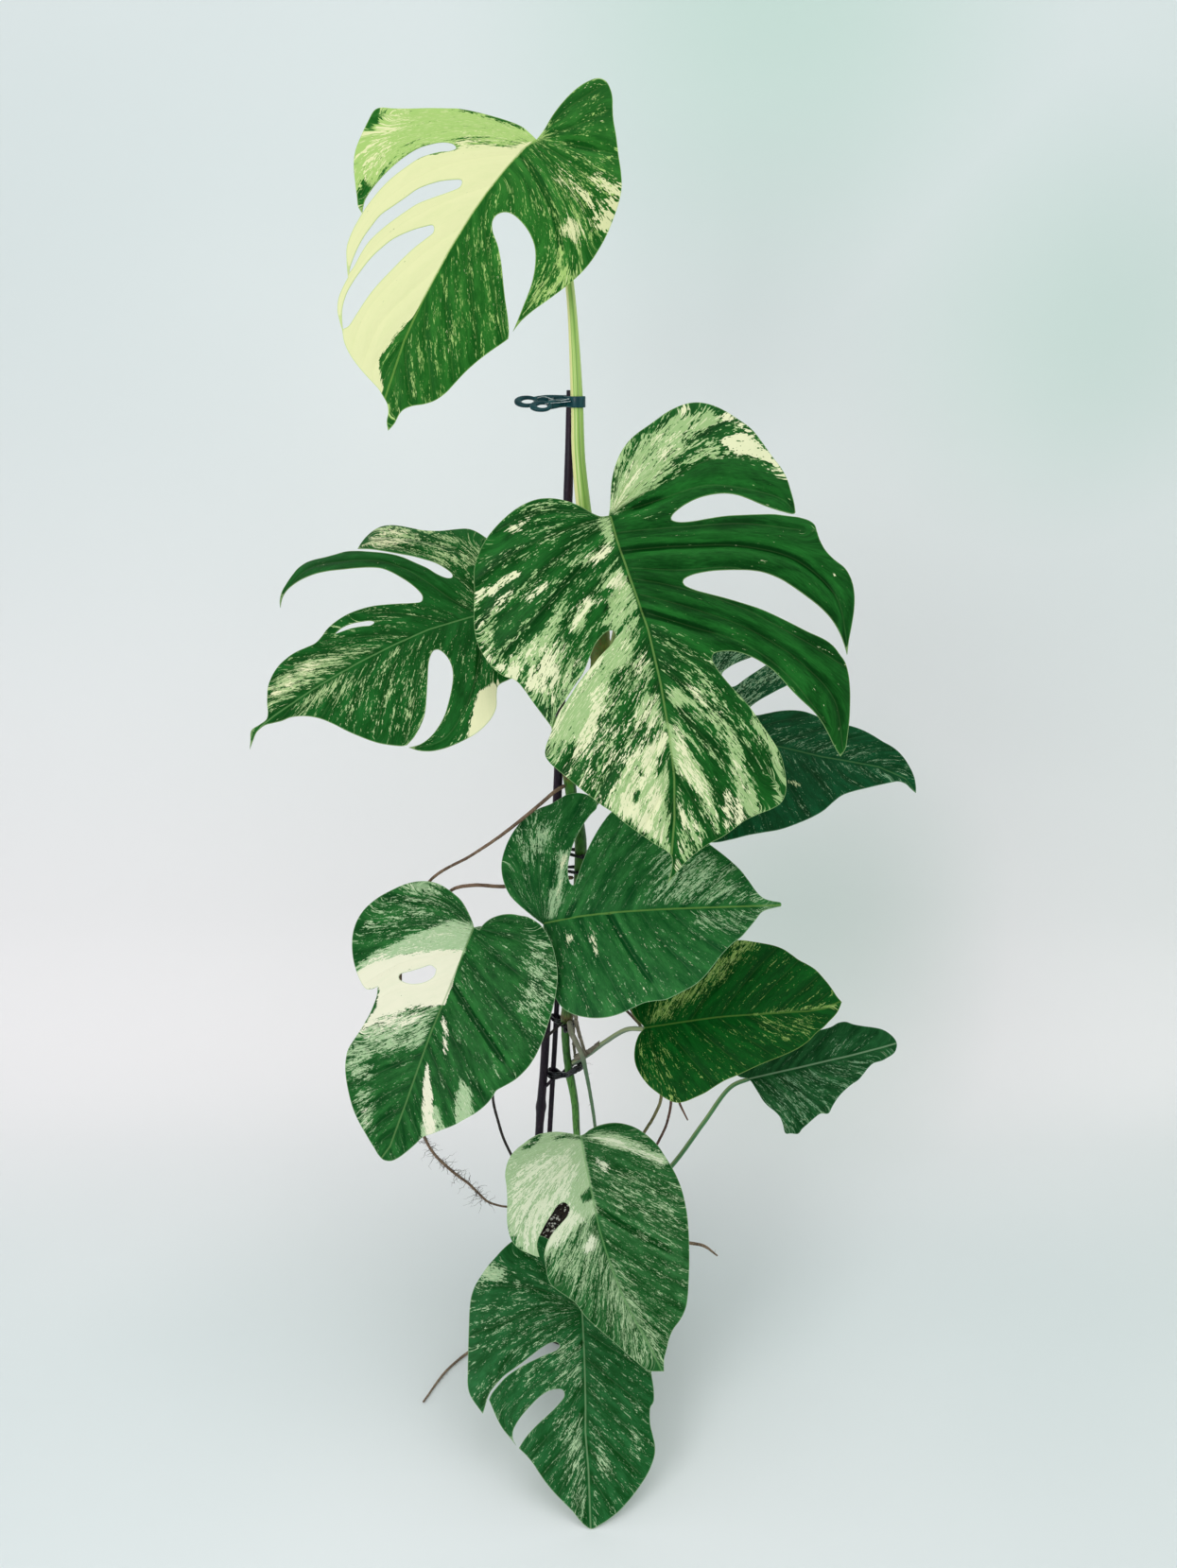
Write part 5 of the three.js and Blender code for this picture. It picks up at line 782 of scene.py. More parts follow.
            ("cream", 0.8, 2, [4, 4, 12, 14, 26, 34, 46, 58, 44, 64, 26, 44, 10, 24]),
            ("cream", 0.8, 2, [20, 2, 28, 3, 38, 9, 36, 13, 24, 9]),
            ("dark", -0.6, 1.5, [-5, 8, -2, 8, 6, 40, 12, 54, 2, 50, -5, 30]),
        ],
    },
    "leaf_10": {  # the lowest leaf
        "base": (4, -120, 126), "turn": (7, 40, 4), "length": 171, "droop": 12, "fold": (5, 5), "arch": (12,
        12), "back": (0, 0), "cream": -0.7, "light": -0.14,
        "midrib": [-90, 5, 0, 5, 30, 4, 50, 3, 80, 1, 100, -1, 130, -1, 172, -3],
        "margin": [[0, 5, -18, 2, -36, -3, -51, -11, -62, -24, -66.5, -39, -62, -53, -56, -62.5, -49, -70.5,
        -42, -78, -34, -85, -26, -91, -17, -95, -7, -97, 3, -98, 15, -99, 30, -100, 44, -101, 55, -101.5,
        63, -99.5, 70, -95], [78, -89, 72, -86.5, 67, -84.5, 61.5, -81.3, 55.5, -75.2, 50, -68.3, 45.5, -60,
        41, -51.5, 36, -43, 31.5, -35, 28, -27, 27.5, -20.5, 30.5, -17.5, 34, -21, 36.5, -30, 39.5, -40, 43,
        -50, 47, -59.5, 51.5, -67.5, 57, -74.2, 63, -80.3], [67.5, -83, 75, -80, 83, -76.8, 91, -72.5, 98,
        -67], [105, -61.5, 99.5, -64, 93.5, -63.5, 88, -60, 82, -54.5, 76, -47.5, 70, -39.5, 66, -31.5,
        64.8, -24, 66, -18, 71, -17, 77, -23, 83, -31, 89, -40, 95, -48, 101, -54.5], [107, -59.5, 113,
        -53.5, 120, -48, 128, -43, 136, -37.5, 144, -31, 152, -23.5, 159, -17, 165, -12.5, 170, -8, 173.5,
        -2.5, 171.5, 4, 168, 12, 163, 21, 157, 29, 150, 37, 142, 45, 134, 51.5, 125, 56.5, 117, 58.3, 108,
        57.3, 100, 56, 91, 56.5, 86, 57.8, 82, 61, 72, 62, 60, 61.5, 46, 62.5, 32, 64.5, 16, 66, 0, 64, -18,
        58, -32, 46, -38, 32, -34, 18, -20, 9]],
        "holes": [],
        "veins": ([[-1, 4, -30, -20, -52, -46], [0, 4, -18, -35, -26, -87], [2, 5, 0, -35, 14, -94], [6, 4,
        18, -30, 36, -62, 70, -88], [30, 4, 46, -18, 62, -46, 82, -70, 102, -63], [62, 2, 82, -14, 102, -36,
        120, -58], [84, 0.5, 104, -14, 130, -42], [106, -1, 124, -14, 146, -29], [126, -1, 142, -10, 160,
        -18], [146, -2, 156, -8, 166, -10]], [[-1, 6, -24, 16, -35, 31], [-1, 6, -14, 36, -14, 58], [2, 6,
        14, 36, 27, 65], [20, 5, 40, 32, 61, 62], [42, 3.5, 64, 28, 90, 58], [66, 2, 88, 24, 116, 55], [90,
        0, 110, 18, 136, 43], [112, -1, 130, 14, 150, 31], [132, -1, 146, 8, 162, 17]]),
        "marks": [
            ("light", 0.02, 5, [-50, -90, -20, -96, 60, -60, 70, -6, 0, -2, -20, -30]),
            ("light", 1, 2, [-44, -88, -30, -90, -28, -64, -40, -60]),
            ("light", 0.35, 3, [26, -26, 62, -14, 62, 1, 28, 1]),
            ("light", 0.35, 4, [88, -24, 114, -20, 168, -14, 172, -4, 88, -1]),
            ("light", 0.4, 3, [96, 3, 128, 10, 136, 20, 124, 18, 98, 8]),
            ("light", 0.5, 2, [106, 38, 124, 38, 124, 43, 108, 44]),
        ],
    },
}

blade = {
    "thickness": 0.9,
    "edgeThickness": 0.5,
    "grid": 2.4,  # spacing of the mesh
    "marginStep": 1.7,
    "marginGap": 0.8,  # from the margin to the nearest inner point
    "ribRows": (-2.6, -1.1, 0, 1.1, 2.6),
    "midribGroove": 0.5,
    "veinGroove": 0.32,
    "veinWidth": 1.3,
    "ribUnder": 1.5,
    "veinUnder": 0.55,
    "wave": 0.66,  # slow waves towards the edge
    "waveFrom": (10, 70),  # the distance from the midrib over which they grow
    "lowered": 0.4,
    "ribEnd": 3,  # how fast the midrib ends behind the petiole
    "ribFade": 14,
    "midribWidth": 3.0,
    "ridgeWidth": 1.1,
    "ridgeShare": 0.75,
    "ribUnderWidth": 1.5,
    "veinUnderWidth": 1.0,
    "edgeTaper": 4,
    "puffEdge": (-3, 9),  # these four grow over such a distance from the edge
    "grooveEdge": (0, 12),
    "creaseEdge": (0, 25),
    "veinEdge": (0, 20),
    "outerGap": 12,  # beyond the outermost vein, as if the next were twice this far
    "halfShift": 40,  # keeps the markings of both halves apart
    "creaseDepth": 2.0,
    "creaseWidth": 4.5,
    "ragged": 1.5,  # least softness of a painted patch's border
    "sharp": 55,  # degrees
}

# Greens and creams of each leaf, how far it puffs, and the veins that lie in a crease (half, number); a
# crease also gets painted shade
leafFinish = {
    "leaf_1": {"dark": "#0c4e10", "mid": "#367f2e", "light": "#a4c670", "cream": "#dfe1ac", "rib": "#7ea64c",
               "puff": 0.7, "finer": 1.35, "edge": 0.2, "creases": ((1, 2), (1, 5))},
    "leaf_2": {"dark": "#043d0a", "mid": "#216b2a", "light": "#a2bd82", "cream": "#e2e2b6", "rib": "#6f9a5c",
               "puff": 0.8, "finer": 1.3, "edge": 0.1, "creases": ((1, 3),)},
    "leaf_3": {"dark": "#003307", "mid": "#226e28", "light": "#9bbb7e", "cream": "#e4e6bc", "rib": "#7fa257",
               "puff": 1.7, "finer": 1.08, "edge": 0.06, "creases": ((1, 4), (1, 6), (1, 10), (0, 5))},
    "leaf_4": {"dark": "#003512", "mid": "#125c34", "light": "#7fa480", "cream": "#c4cf9a", "rib": "#4f7a48",
               "puff": 0.8, "finer": 1.8, "edge": 0.16, "creases": ()},
    "leaf_5": {"dark": "#06461a", "mid": "#38803f", "light": "#9fc294", "cream": "#dfe4bd", "rib": "#79a04c",
               "puff": 0.7, "finer": 1.7, "edge": 0.18, "creases": ((0, 3), (1, 4))},
    "leaf_6": {"dark": "#003a0f", "mid": "#327a38", "light": "#a3c193", "cream": "#eae8ce", "rib": "#6d9458",
               "puff": 0.7, "finer": 1.7, "edge": 0.2, "creases": ((1, 4),)},
    "leaf_7": {"dark": "#00380a", "mid": "#10621e", "light": "#8fae5c", "cream": "#d3dda0", "rib": "#5f8438",
               "puff": 0.9, "finer": 1.6, "edge": 0.16, "creases": ()},
    "leaf_8": {"dark": "#003510", "mid": "#2a6838", "light": "#6f9672", "cream": "#c8d0a8", "rib": "#8fae88",
               "puff": 0.7, "finer": 1.6, "edge": 0.25, "creases": ()},
    "leaf_9": {"dark": "#00400e", "mid": "#3c7a42", "light": "#a2bf90", "cream": "#dde4c6", "rib": "#6fa060",
               "puff": 0.65, "finer": 1.7, "edge": 0.28, "creases": ((0, 3), (1, 4))},
    "leaf_10": {"dark": "#04400f", "mid": "#2f7640", "light": "#a9c79b", "cream": "#dfe6bd", "rib": "#86a97a",
                "puff": 0.65, "finer": 1.8, "edge": 0.18, "creases": ((0, 4),)},
}


def pairs(row):
    return np.reshape(np.array(row, float), (-1, 2))


def smoothLine(row, spacing):
    # through all the points of a row
    places = pairs(row)
    line = []
    for i, (here, after) in enumerate(zip(places, places[1:])):
        before = places[i - 1] if i else here - (after - here) * 0.5
        beyond = places[i + 2] if i + 2 < len(places) else after + (after - here) * 0.5
        steps = max(1, round(np.linalg.norm(after - here) / spacing))
        for t in np.arange(steps) / steps:
            line.append(0.5 * (2 * here + (after - before) * t
                               + (2 * before - 5 * here + 4 * after - beyond) * t * t
                               + (3 * here - before - 3 * after + beyond) * t ** 3))
    line.append(places[-1])
    return np.array(line)


def outline(arcs, spacing):
    # a closed line of smooth arcs that meet at sharp corners
    return np.vstack([smoothLine(arc + after[:2], spacing)[:-1]
                      for arc, after in zip(arcs, arcs[1:] + arcs[:1])])


def toLine(points, line, closed=False):
    # distance to a line, signed by side, and how far along it the nearest place is
    nearest = np.full(len(points), np.inf)
    side = np.ones(len(points))
    along = np.zeros(len(points))
    starts = line if closed else line[:-1]
    ends = np.roll(line, -1, axis=0) if closed else line[1:]
    gone = 0.0
    for a, b in zip(starts, ends):
        way = b - a
        length = np.hypot(*way)
        if length < 1e-9:
            continue
        off = points - a
        share = np.clip(off @ way / length ** 2, 0, 1)
        miss = off - share[:, None] * way
        distance = np.hypot(miss[:, 0], miss[:, 1])
        better = distance < nearest
        nearest = np.where(better, distance, nearest)
        side = np.where(better, np.sign(way[0] * off[:, 1] - way[1] * off[:, 0]), side)
        along = np.where(better, gone + share * length, along)
        gone += length
    return nearest, side, along


def inside(points, loop):
    # even-odd rule
    u, v = points[:, 0], points[:, 1]
    within = np.zeros(len(points), bool)
    for (u0, v0), (u1, v1) in zip(loop, np.roll(loop, -1, axis=0)):
        if v0 == v1:
            continue
        crosses = (v0 > v) != (v1 > v)
        within ^= crosses & (u < (u1 - u0) * (v - v0) / (v1 - v0) + u0)
    return within


def onBlade(points, loops):
    # inside the margin and outside the holes
    within = inside(points, loops[0])
    for loop in loops[1:]:
        within &= ~inside(points, loop)
    return within


def midribAt(leaf, u):
    return np.interp(u, leaf["midrib"][::2], leaf["midrib"][1::2])


def bladePoints(leaf, u, v):
    # the same rule as the solid blades: droop along the leaf, a fold at the midrib, arched halves
    turn, down, lean = (math.radians(a) for a in leaf["turn"])
    level = np.array([math.cos(turn), math.sin(turn), 0])
    along = np.array([math.sin(turn) * math.cos(down), -math.cos(turn) * math.cos(down), -math.sin(down)])
    up = np.cross(along, level)
    across = level * math.cos(lean) + up * math.sin(lean)
    out = up * math.cos(lean) - level * math.sin(lean)
    middle = midribAt(leaf, u)
    half = (v >= middle).astype(int)
    droop = math.radians(leaf["droop"]) / leaf["length"]
    back = np.radians(np.array(leaf["back"], float))[half] / 100
    bend = np.where((u < 0) & (back != 0), back, droop)
    fold = np.radians(np.array(leaf["fold"], float))[half]
    arch = np.radians(np.array(leaf["arch"], float))[half] / 100
    slope = fold - arch * np.abs(v - middle)
    reach = middle + np.sign(v - middle) * (np.sin(fold) - np.sin(slope)) / arch
    lift = (np.cos(slope) - np.cos(fold)) / arch
    turned = bend * u
    return (np.array(leaf["base"], float)
            + (np.sin(turned) / bend + lift * np.sin(turned))[:, None] * along
            + reach[:, None] * across
            + (lift * np.cos(turned) - (1 - np.cos(turned)) / bend)[:, None] * out)


def bladeNormals(leaf, u, v, step=0.6):
    ahead = bladePoints(leaf, u + step, v) - bladePoints(leaf, u - step, v)
    aside = bladePoints(leaf, u, v + step) - bladePoints(leaf, u, v - step)
    normal = np.cross(ahead, aside)
    return normal / np.linalg.norm(normal, axis=1)[:, None]


def ease(value, low, high):
    t = np.clip((value - low) / (high - low), 0, 1)
    return t * t * (3 - 2 * t)


def bell(distance, width):
    return np.exp(-(distance / width) ** 2)


def veinField(leaf, points, creases):
    # for each point: distance to its nearest vein, how far it is between two veins, its place in
    # coordinates that run along and across the veins, and whether that vein lies in a crease
    half = points[:, 1] >= midribAt(leaf, points[:, 0])
    near = np.zeros(len(points))
    amid = np.zeros(len(points))
    flow = np.zeros((len(points), 3))
    creased = np.zeros(len(points))
    for sideIndex in (0, 1):
        chosen = np.flatnonzero(half == bool(sideIndex))
        here = points[chosen]
        lines = [smoothLine(vein, 4) for vein in leaf["veins"][sideIndex]]
        found = [toLine(here, line) for line in lines]
        distance = np.array([f[0] for f in found])
        side = np.array([f[1] for f in found]) * (1 if sideIndex == 0 else -1)
        along = np.array([f[2] for f in found])
        middles = [line[len(line) // 2] for line in lines]
        gaps = [0.0] + [float(np.hypot(*(b - a))) for a, b in zip(middles, middles[1:])]
        across = np.cumsum(gaps)
        nearest = distance.argmin(axis=0)
        columns = np.arange(len(here))
        own = distance[nearest, columns]
        towards = np.where(side[nearest, columns] > 0, 1, -1)
        other = nearest + towards
        beyond = (other < 0) | (other >= len(lines))
        other = np.clip(other, 0, len(lines) - 1)
        rival = distance[other, columns]
        share = np.where(beyond, 0, own / np.maximum(own + rival, 1e-6))
        place = across[nearest] + share * (across[other] - across[nearest])
        place = np.where(beyond, place + towards * own, place)
        near[chosen] = own
        amid[chosen] = np.where(beyond, np.minimum(own / blade["outerGap"], 0.5), share)
        flow[chosen, 0] = (1 - share) * along[nearest, columns] + share * along[other, columns]
        flow[chosen, 1] = place
        flow[chosen, 2] = blade["halfShift"] * sideIndex
        creased[chosen] = np.isin(nearest, [number for half, number in creases if half == sideIndex])
    return near, amid, flow, creased


def paintZones(leaf, points):
    # how much of each place is cream and light green, from the patches painted on the leaf
    zones = np.zeros((len(points), 2))
    zones[:] = leaf["cream"], leaf["light"]
    for kind, strength, soft, patch in leaf["marks"]:
        loop = pairs(patch)
        distance = toLine(points, loop, closed=True)[0]
        depth = np.where(inside(points, loop), distance, -distance)
        share = ease(depth, -blade["ragged"] - 2 * soft, blade["ragged"] + 2 * soft)
        for column, name in enumerate(("cream", "light")):
            if kind in (name, "dark"):
                zones[:, column] += share * (strength - zones[:, column])
    return zones


def bladeMesh(name, leaf):
    loops = [outline(arcs, blade["marginStep"]) for arcs in (leaf["margin"], *leaf["holes"])]
    spacing = blade["grid"]
    everything = np.vstack(loops)
    low, high = everything.min(axis=0), everything.max(axis=0)
    rows = np.arange(low[0], high[0], spacing * math.sqrt(3) / 2)
    grid = np.array([(u, v + (i % 2) * spacing / 2) for i, u in enumerate(rows)
                     for v in np.arange(low[1], high[1], spacing)])
    lines = [smoothLine(vein, spacing) for half in leaf["veins"] for vein in half]
    ribU = np.arange(1.0, leaf["length"] * 1.2, spacing * 0.8)
    ribLine = np.stack([ribU, midribAt(leaf, ribU)], axis=1)
    clear = np.minimum.reduce([toLine(grid, line)[0] for line in lines])
    clear = np.minimum(clear, toLine(grid, ribLine)[0] / 2)
    inner = [grid[clear > 1.5 * blade["veinWidth"]]]
    for line in lines:
        way = np.gradient(line, axis=0)
        aside = np.stack([-way[:, 1], way[:, 0]], axis=1) / np.hypot(way[:, 0], way[:, 1])[:, None]
        for offset in (-blade["veinWidth"], 0, blade["veinWidth"]):
            inner.append(line[2:] + aside[2:] * offset)
    for offset in blade["ribRows"]:
        inner.append(ribLine + (0, offset))
    inner = np.vstack(inner)
    inner = inner[onBlade(inner, loops)]
    inner = inner[np.minimum.reduce([toLine(inner, loop, True)[0] for loop in loops]) > blade["marginGap"]]

    points = [tuple(p) for p in np.vstack([*loops, inner])]
    edges = []
    start = 0
    for loop in loops:
        edges += [(start + i, start + (i + 1) % len(loop)) for i in range(len(loop))]
        start += len(loop)
    made = delaunay_2d_cdt([Vector(p) for p in points], edges, [], 0, 1e-4)
    chart = np.array([tuple(p) for p in made[0]])
    faces = np.array([f for f in made[2] if len(f) == 3])
    faces = faces[onBlade(chart[faces].mean(axis=1), loops)]
    a, b, c = (chart[faces[:, i]] for i in range(3))
    area = (b[:, 0] - a[:, 0]) * (c[:, 1] - a[:, 1]) - (b[:, 1] - a[:, 1]) * (c[:, 0] - a[:, 0])
    faces[area < 0] = faces[area < 0][:, ::-1]
    used = np.unique(faces)
    fresh = np.full(len(chart), -1)
    fresh[used] = np.arange(len(used))
    chart, faces = chart[used], fresh[faces]

    u, v = chart[:, 0], chart[:, 1]
    near, amid, flow, creased = veinField(leaf, chart, leafFinish[name]["creases"])
    rib = np.abs(v - midribAt(leaf, u)) + np.maximum(0, -u) * blade["ribEnd"]
    edge = np.minimum.reduce([toLine(chart, loop, True)[0] for loop in loops])
    tall = np.clip(1 - u / leaf["length"], 0.1, 1)
    fade = ease(rib, 0, blade["ribFade"])
    puff = leafFinish[name]["puff"] * 4 * amid * (1 - amid) * fade * ease(edge, *blade["puffEdge"])
    groove = blade["veinGroove"] * bell(near, blade["veinWidth"]) * ease(edge, *blade["grooveEdge"])
    # a crease is deeper, and its mask is also stored to paint shade in it and a highlight beside it
    crease = bell(near, blade["creaseWidth"]) * creased * ease(edge, *blade["creaseEdge"])
    groove += blade["creaseDepth"] * crease
    ridge = blade["ridgeShare"] * bell(rib, blade["ridgeWidth"])
    middle = blade["midribGroove"] * tall * (bell(rib, blade["midribWidth"]) - ridge)
    # each leaf has its own waves, from its length
    turn = leaf["length"] * 0.7
    wave = np.sin(u / 17 + turn) * np.cos(v / 23 + turn) + 0.5 * np.sin(u / 9 + v / 12 + turn)
    wave = blade["wave"] * ease(np.abs(rib), *blade["waveFrom"]) * wave
    relief = puff - groove - middle + wave - blade["lowered"]
    body = ease(edge, 0, blade["edgeTaper"])
    thick = blade["edgeThickness"] + (blade["thickness"] - blade["edgeThickness"]) * body
    thick += blade["ribUnder"] * tall * bell(rib, blade["ribUnderWidth"]) * body
    thick += blade["veinUnder"] * bell(near, blade["veinUnderWidth"]) * ease(edge, *blade["veinEdge"]) * fade
    normal = bladeNormals(leaf, u, v)
    upper = bladePoints(leaf, u, v) + normal * relief[:, None]
    lower = upper - normal * thick[:, None]
    count = len(chart)
    directed = {(f[i], f[(i + 1) % 3]) for f in faces.tolist() for i in range(3)}
    rim = [(p, p + count, q + count, q) for p, q in directed if (q, p) not in directed]
    shell = faces.tolist() + [(f[0] + count, f[2] + count, f[1] + count) for f in faces.tolist()] + rim
    mesh = newMesh(name, np.vstack([upper, lower]), [], shell)

    zones = paintZones(leaf, chart)
    for label, values in (("flow", flow), ("veins", np.stack([near, rib, edge], axis=1)),
                          ("creamZone", zones[:, 0]), ("lightZone", zones[:, 1]), ("crease", crease)):
        mark(mesh, label, np.concatenate([values, values]))
    mark(mesh, "underside", np.repeat([0, 1], count))
    return smoothed(mesh, blade["sharp"])


marbling = {
    "creamStreaks": {"Seed": 3.0, "Broad": 2.0, "Middle": 2.3, "Fine": 1.7, "Edge": 0.05},
    "lightStreaks": {"Seed": 9.0, "Broad": 1.9, "Middle": 2.3, "Fine": 1.9},
    "lightHalo": 0.35,
    "creamHalo": 0.2,
    "ivoryFlecks": 0.55,
    "veinLine": 0.05,
    "ribLine": 0.5,
    "edgeLine": 0.5,
    "underTone": "#8fae7c",
    "underShare": 0.4,
    "roughness": 0.36,
    "underRoughness": 0.15,
    "specular": 0.06,
    "relief": 0.35,
}


def bladeMaterial(name, seed):
    dark, mid, pale, ivory, rib = (leafFinish[name][k] for k in ("dark", "mid", "light", "cream", "rib"))
    finer, edge = leafFinish[name]["finer"], leafFinish[name]["edge"]
    material, tree = newMaterial(f"{name}Skin", Roughness=0.4, Specular_IOR_Level=marbling["specular"])
    shift = put(tree, "ShaderNodeCombineXYZ", {0: 13.0 * seed, 1: 31.0 * seed, 2: 7.0 * seed})
    flow = attribute(tree, "flow", "Vector") * (finer, finer, finer) + shift
    toVein, toRib, toEdge = attribute(tree, "veins", "Vector").split()
    # colours meet in a clean line at the midrib
    calm = ramp(toRib, 0.6, 5, 0.25, 1)
    cream, creamHalo = streaks(flow, attribute(tree, "creamZone"), calm, **marbling["creamStreaks"])
    light, lightHalo = streaks(flow, attribute(tree, "lightZone"), calm, Edge=edge,
                               **marbling["lightStreaks"])
    slow = drawn(flow, (1 / 38, 1 / 12, 1), 2.0, 0.4)
    grain = drawn(flow, (1 / 7, 1 / 1.3, 1), 2.0, 0.3)
    # painted shade, darker along the vein grooves and darkest in a crease; painted sheen between veins and
    # beside a crease
    crease = attribute(tree, "crease")
    tone = (slow + grain * 0.6 + ramp(toVein, 0.5, 6, -0.15, 0.02)
            + ramp(crease, 0, 0.2) * ramp(crease, 0.5, 0.95, 0.2, -0.6))
    skin = blend(ramp(tone, -0.4, 0.6), dark, mid)
    # around the pale streaks the green is already half pale
    skin = blend(lightHalo * marbling["lightHalo"], skin, between(pale, mid, 0.7))
    patch = blend(ramp(tone, 0.15, 0.4), pale, between(pale, mid, 0.5))
    flecks = ramp(drawn(flow, (1 / 9, 1 / 0.9, 1), 2.0, 0.2), 0.06, 0.13)
    patch = blend(flecks * marbling["ivoryFlecks"], patch, ivory)
    skin = blend(light, skin, patch)
    skin = blend(creamHalo * marbling["creamHalo"], skin, pale)
    skin = blend(cream, skin, blend(ramp(tone, -0.3, 0.6), ivory, between(ivory, pale, 0.15)))
    # light lines along the veins and the midrib, and a pale edge
    skin = blend(ramp(toVein, 0.1, 0.7, 1, 0) * marbling["veinLine"], skin, pale)
    skin = blend(ramp(toRib, 0.35, 1.0, 1, 0) * marbling["ribLine"], skin, rib)
    skin = blend(ramp(toEdge, 0.1, 0.8, 1, 0) * marbling["edgeLine"], skin, pale)
    # the underside is paler and duller
    under = attribute(tree, "underside")
    skin = blend(under * marbling["underShare"], skin, marbling["underTone"])
    net = put(tree, "ShaderNodeTexVoronoi", {"Vector": flow * (1 / 2.6, 1 / 1.5, 1), "Scale": 1.0},
              feature="DISTANCE_TO_EDGE")
    relief = drawn(flow, (1 / 26, 1 / 0.9, 1), 2.0, 0.1) + ramp(net, 0, 0.12) * 0.35
    rough = slow * 0.25 + marbling["roughness"] + under * marbling["underRoughness"]
    return dress(material, skin, rough, relief, marbling["relief"], 0.0003)


for number, (name, leaf) in enumerate(leaves.items(), 1):
    newPiece(f"blade_{number}", bladeMesh(name, leaf), bladeMaterial(name, number),
             "leaf_marbled" if number in (1, 3) else "leaf_green", name)

# Tubes that follow a course: the stem, the petioles, the stakes and the roots

tube = {
    "spacing": 2.5,
    "clearance": 0.3,
    "stemSides": 28,
    "petioleSides": 20,
    "stakeSides": 20,
    "rootSides": 12,
    "stubSides": 12,
    "stakeDome": 0.12,  # how far the cut ends bulge, as a share of the radius
    "stubDome": 0.3,
    "underBlade": 2.0,  # how far along its midrib a petiole meets the blade
    "nodeWidth": 5.0,
}

# The climbing stem, as (x, y, z, radius) from the soil up, thicker at its nodes
stemCourse = [
    (18, 2, 48, 4.0), (17, 1, 97, 4.2), (10, 0, 160, 3.9), (3.6, 0, 224, 3.4), (1.9, 0, 259, 3.6),
    (-2.6, 0, 290, 4.0), (-5.6, 0, 314, 3.7), (-6.6, 0, 336, 3.9), (-5, 0, 356, 6.0), (-4, 0, 374, 4.8),
    (1, 1, 424, 4.8), (2, 2, 440, 6.0), (4, 3, 456, 4.9), (7, 9, 500, 5.0), (8, 12, 519, 5.4),
    (7, 15, 540, 5.0), (1, 18, 562, 5.0), (-1, 18, 577, 5.2), (-2, 14, 592, 5.8), (0, 9, 615, 5.5),
    (12, 0, 650, 5.8), (21, -5, 685, 6.2), (25, -8, 706, 6.2),
]
stemNodes = [(356, 1), (440, 1), (519, 0.15), (592, 1), (655, 1)]  # leaf scars, as (height, strength)

stakeCourses = {
    "stake_tall": [
        (-41.5, 8, 62, 4), (-40, 8, 97, 4), (-33, 8, 227, 4), (-32, 8, 240, 4.3), (-31.2, 8, 250, 5.2),
        (-30.6, 8, 260, 4.2), (-28, 8, 290, 4), (-19.5, 16, 440, 4), (-12, 20, 584, 4), (-7, 14, 700, 4),
        (-1.6, 10.5, 827, 3.8), (0.2, 10.4, 880, 3.5), (0.8, 10.4, 911, 3.1),
    ],
    "stake_short": [(-31, 14, 45, 2.5), (-30, 14, 97, 2.5), (-23, 14, 222, 2.5), (-15, 14, 358, 2.5),
                    (-13, 14, 400, 2.5)],
}
stakeStub = [(-27.6, 6, 273, 1.5), (-24, 4, 278, 1.5), (-20.5, 2.5, 284, 1.4)]

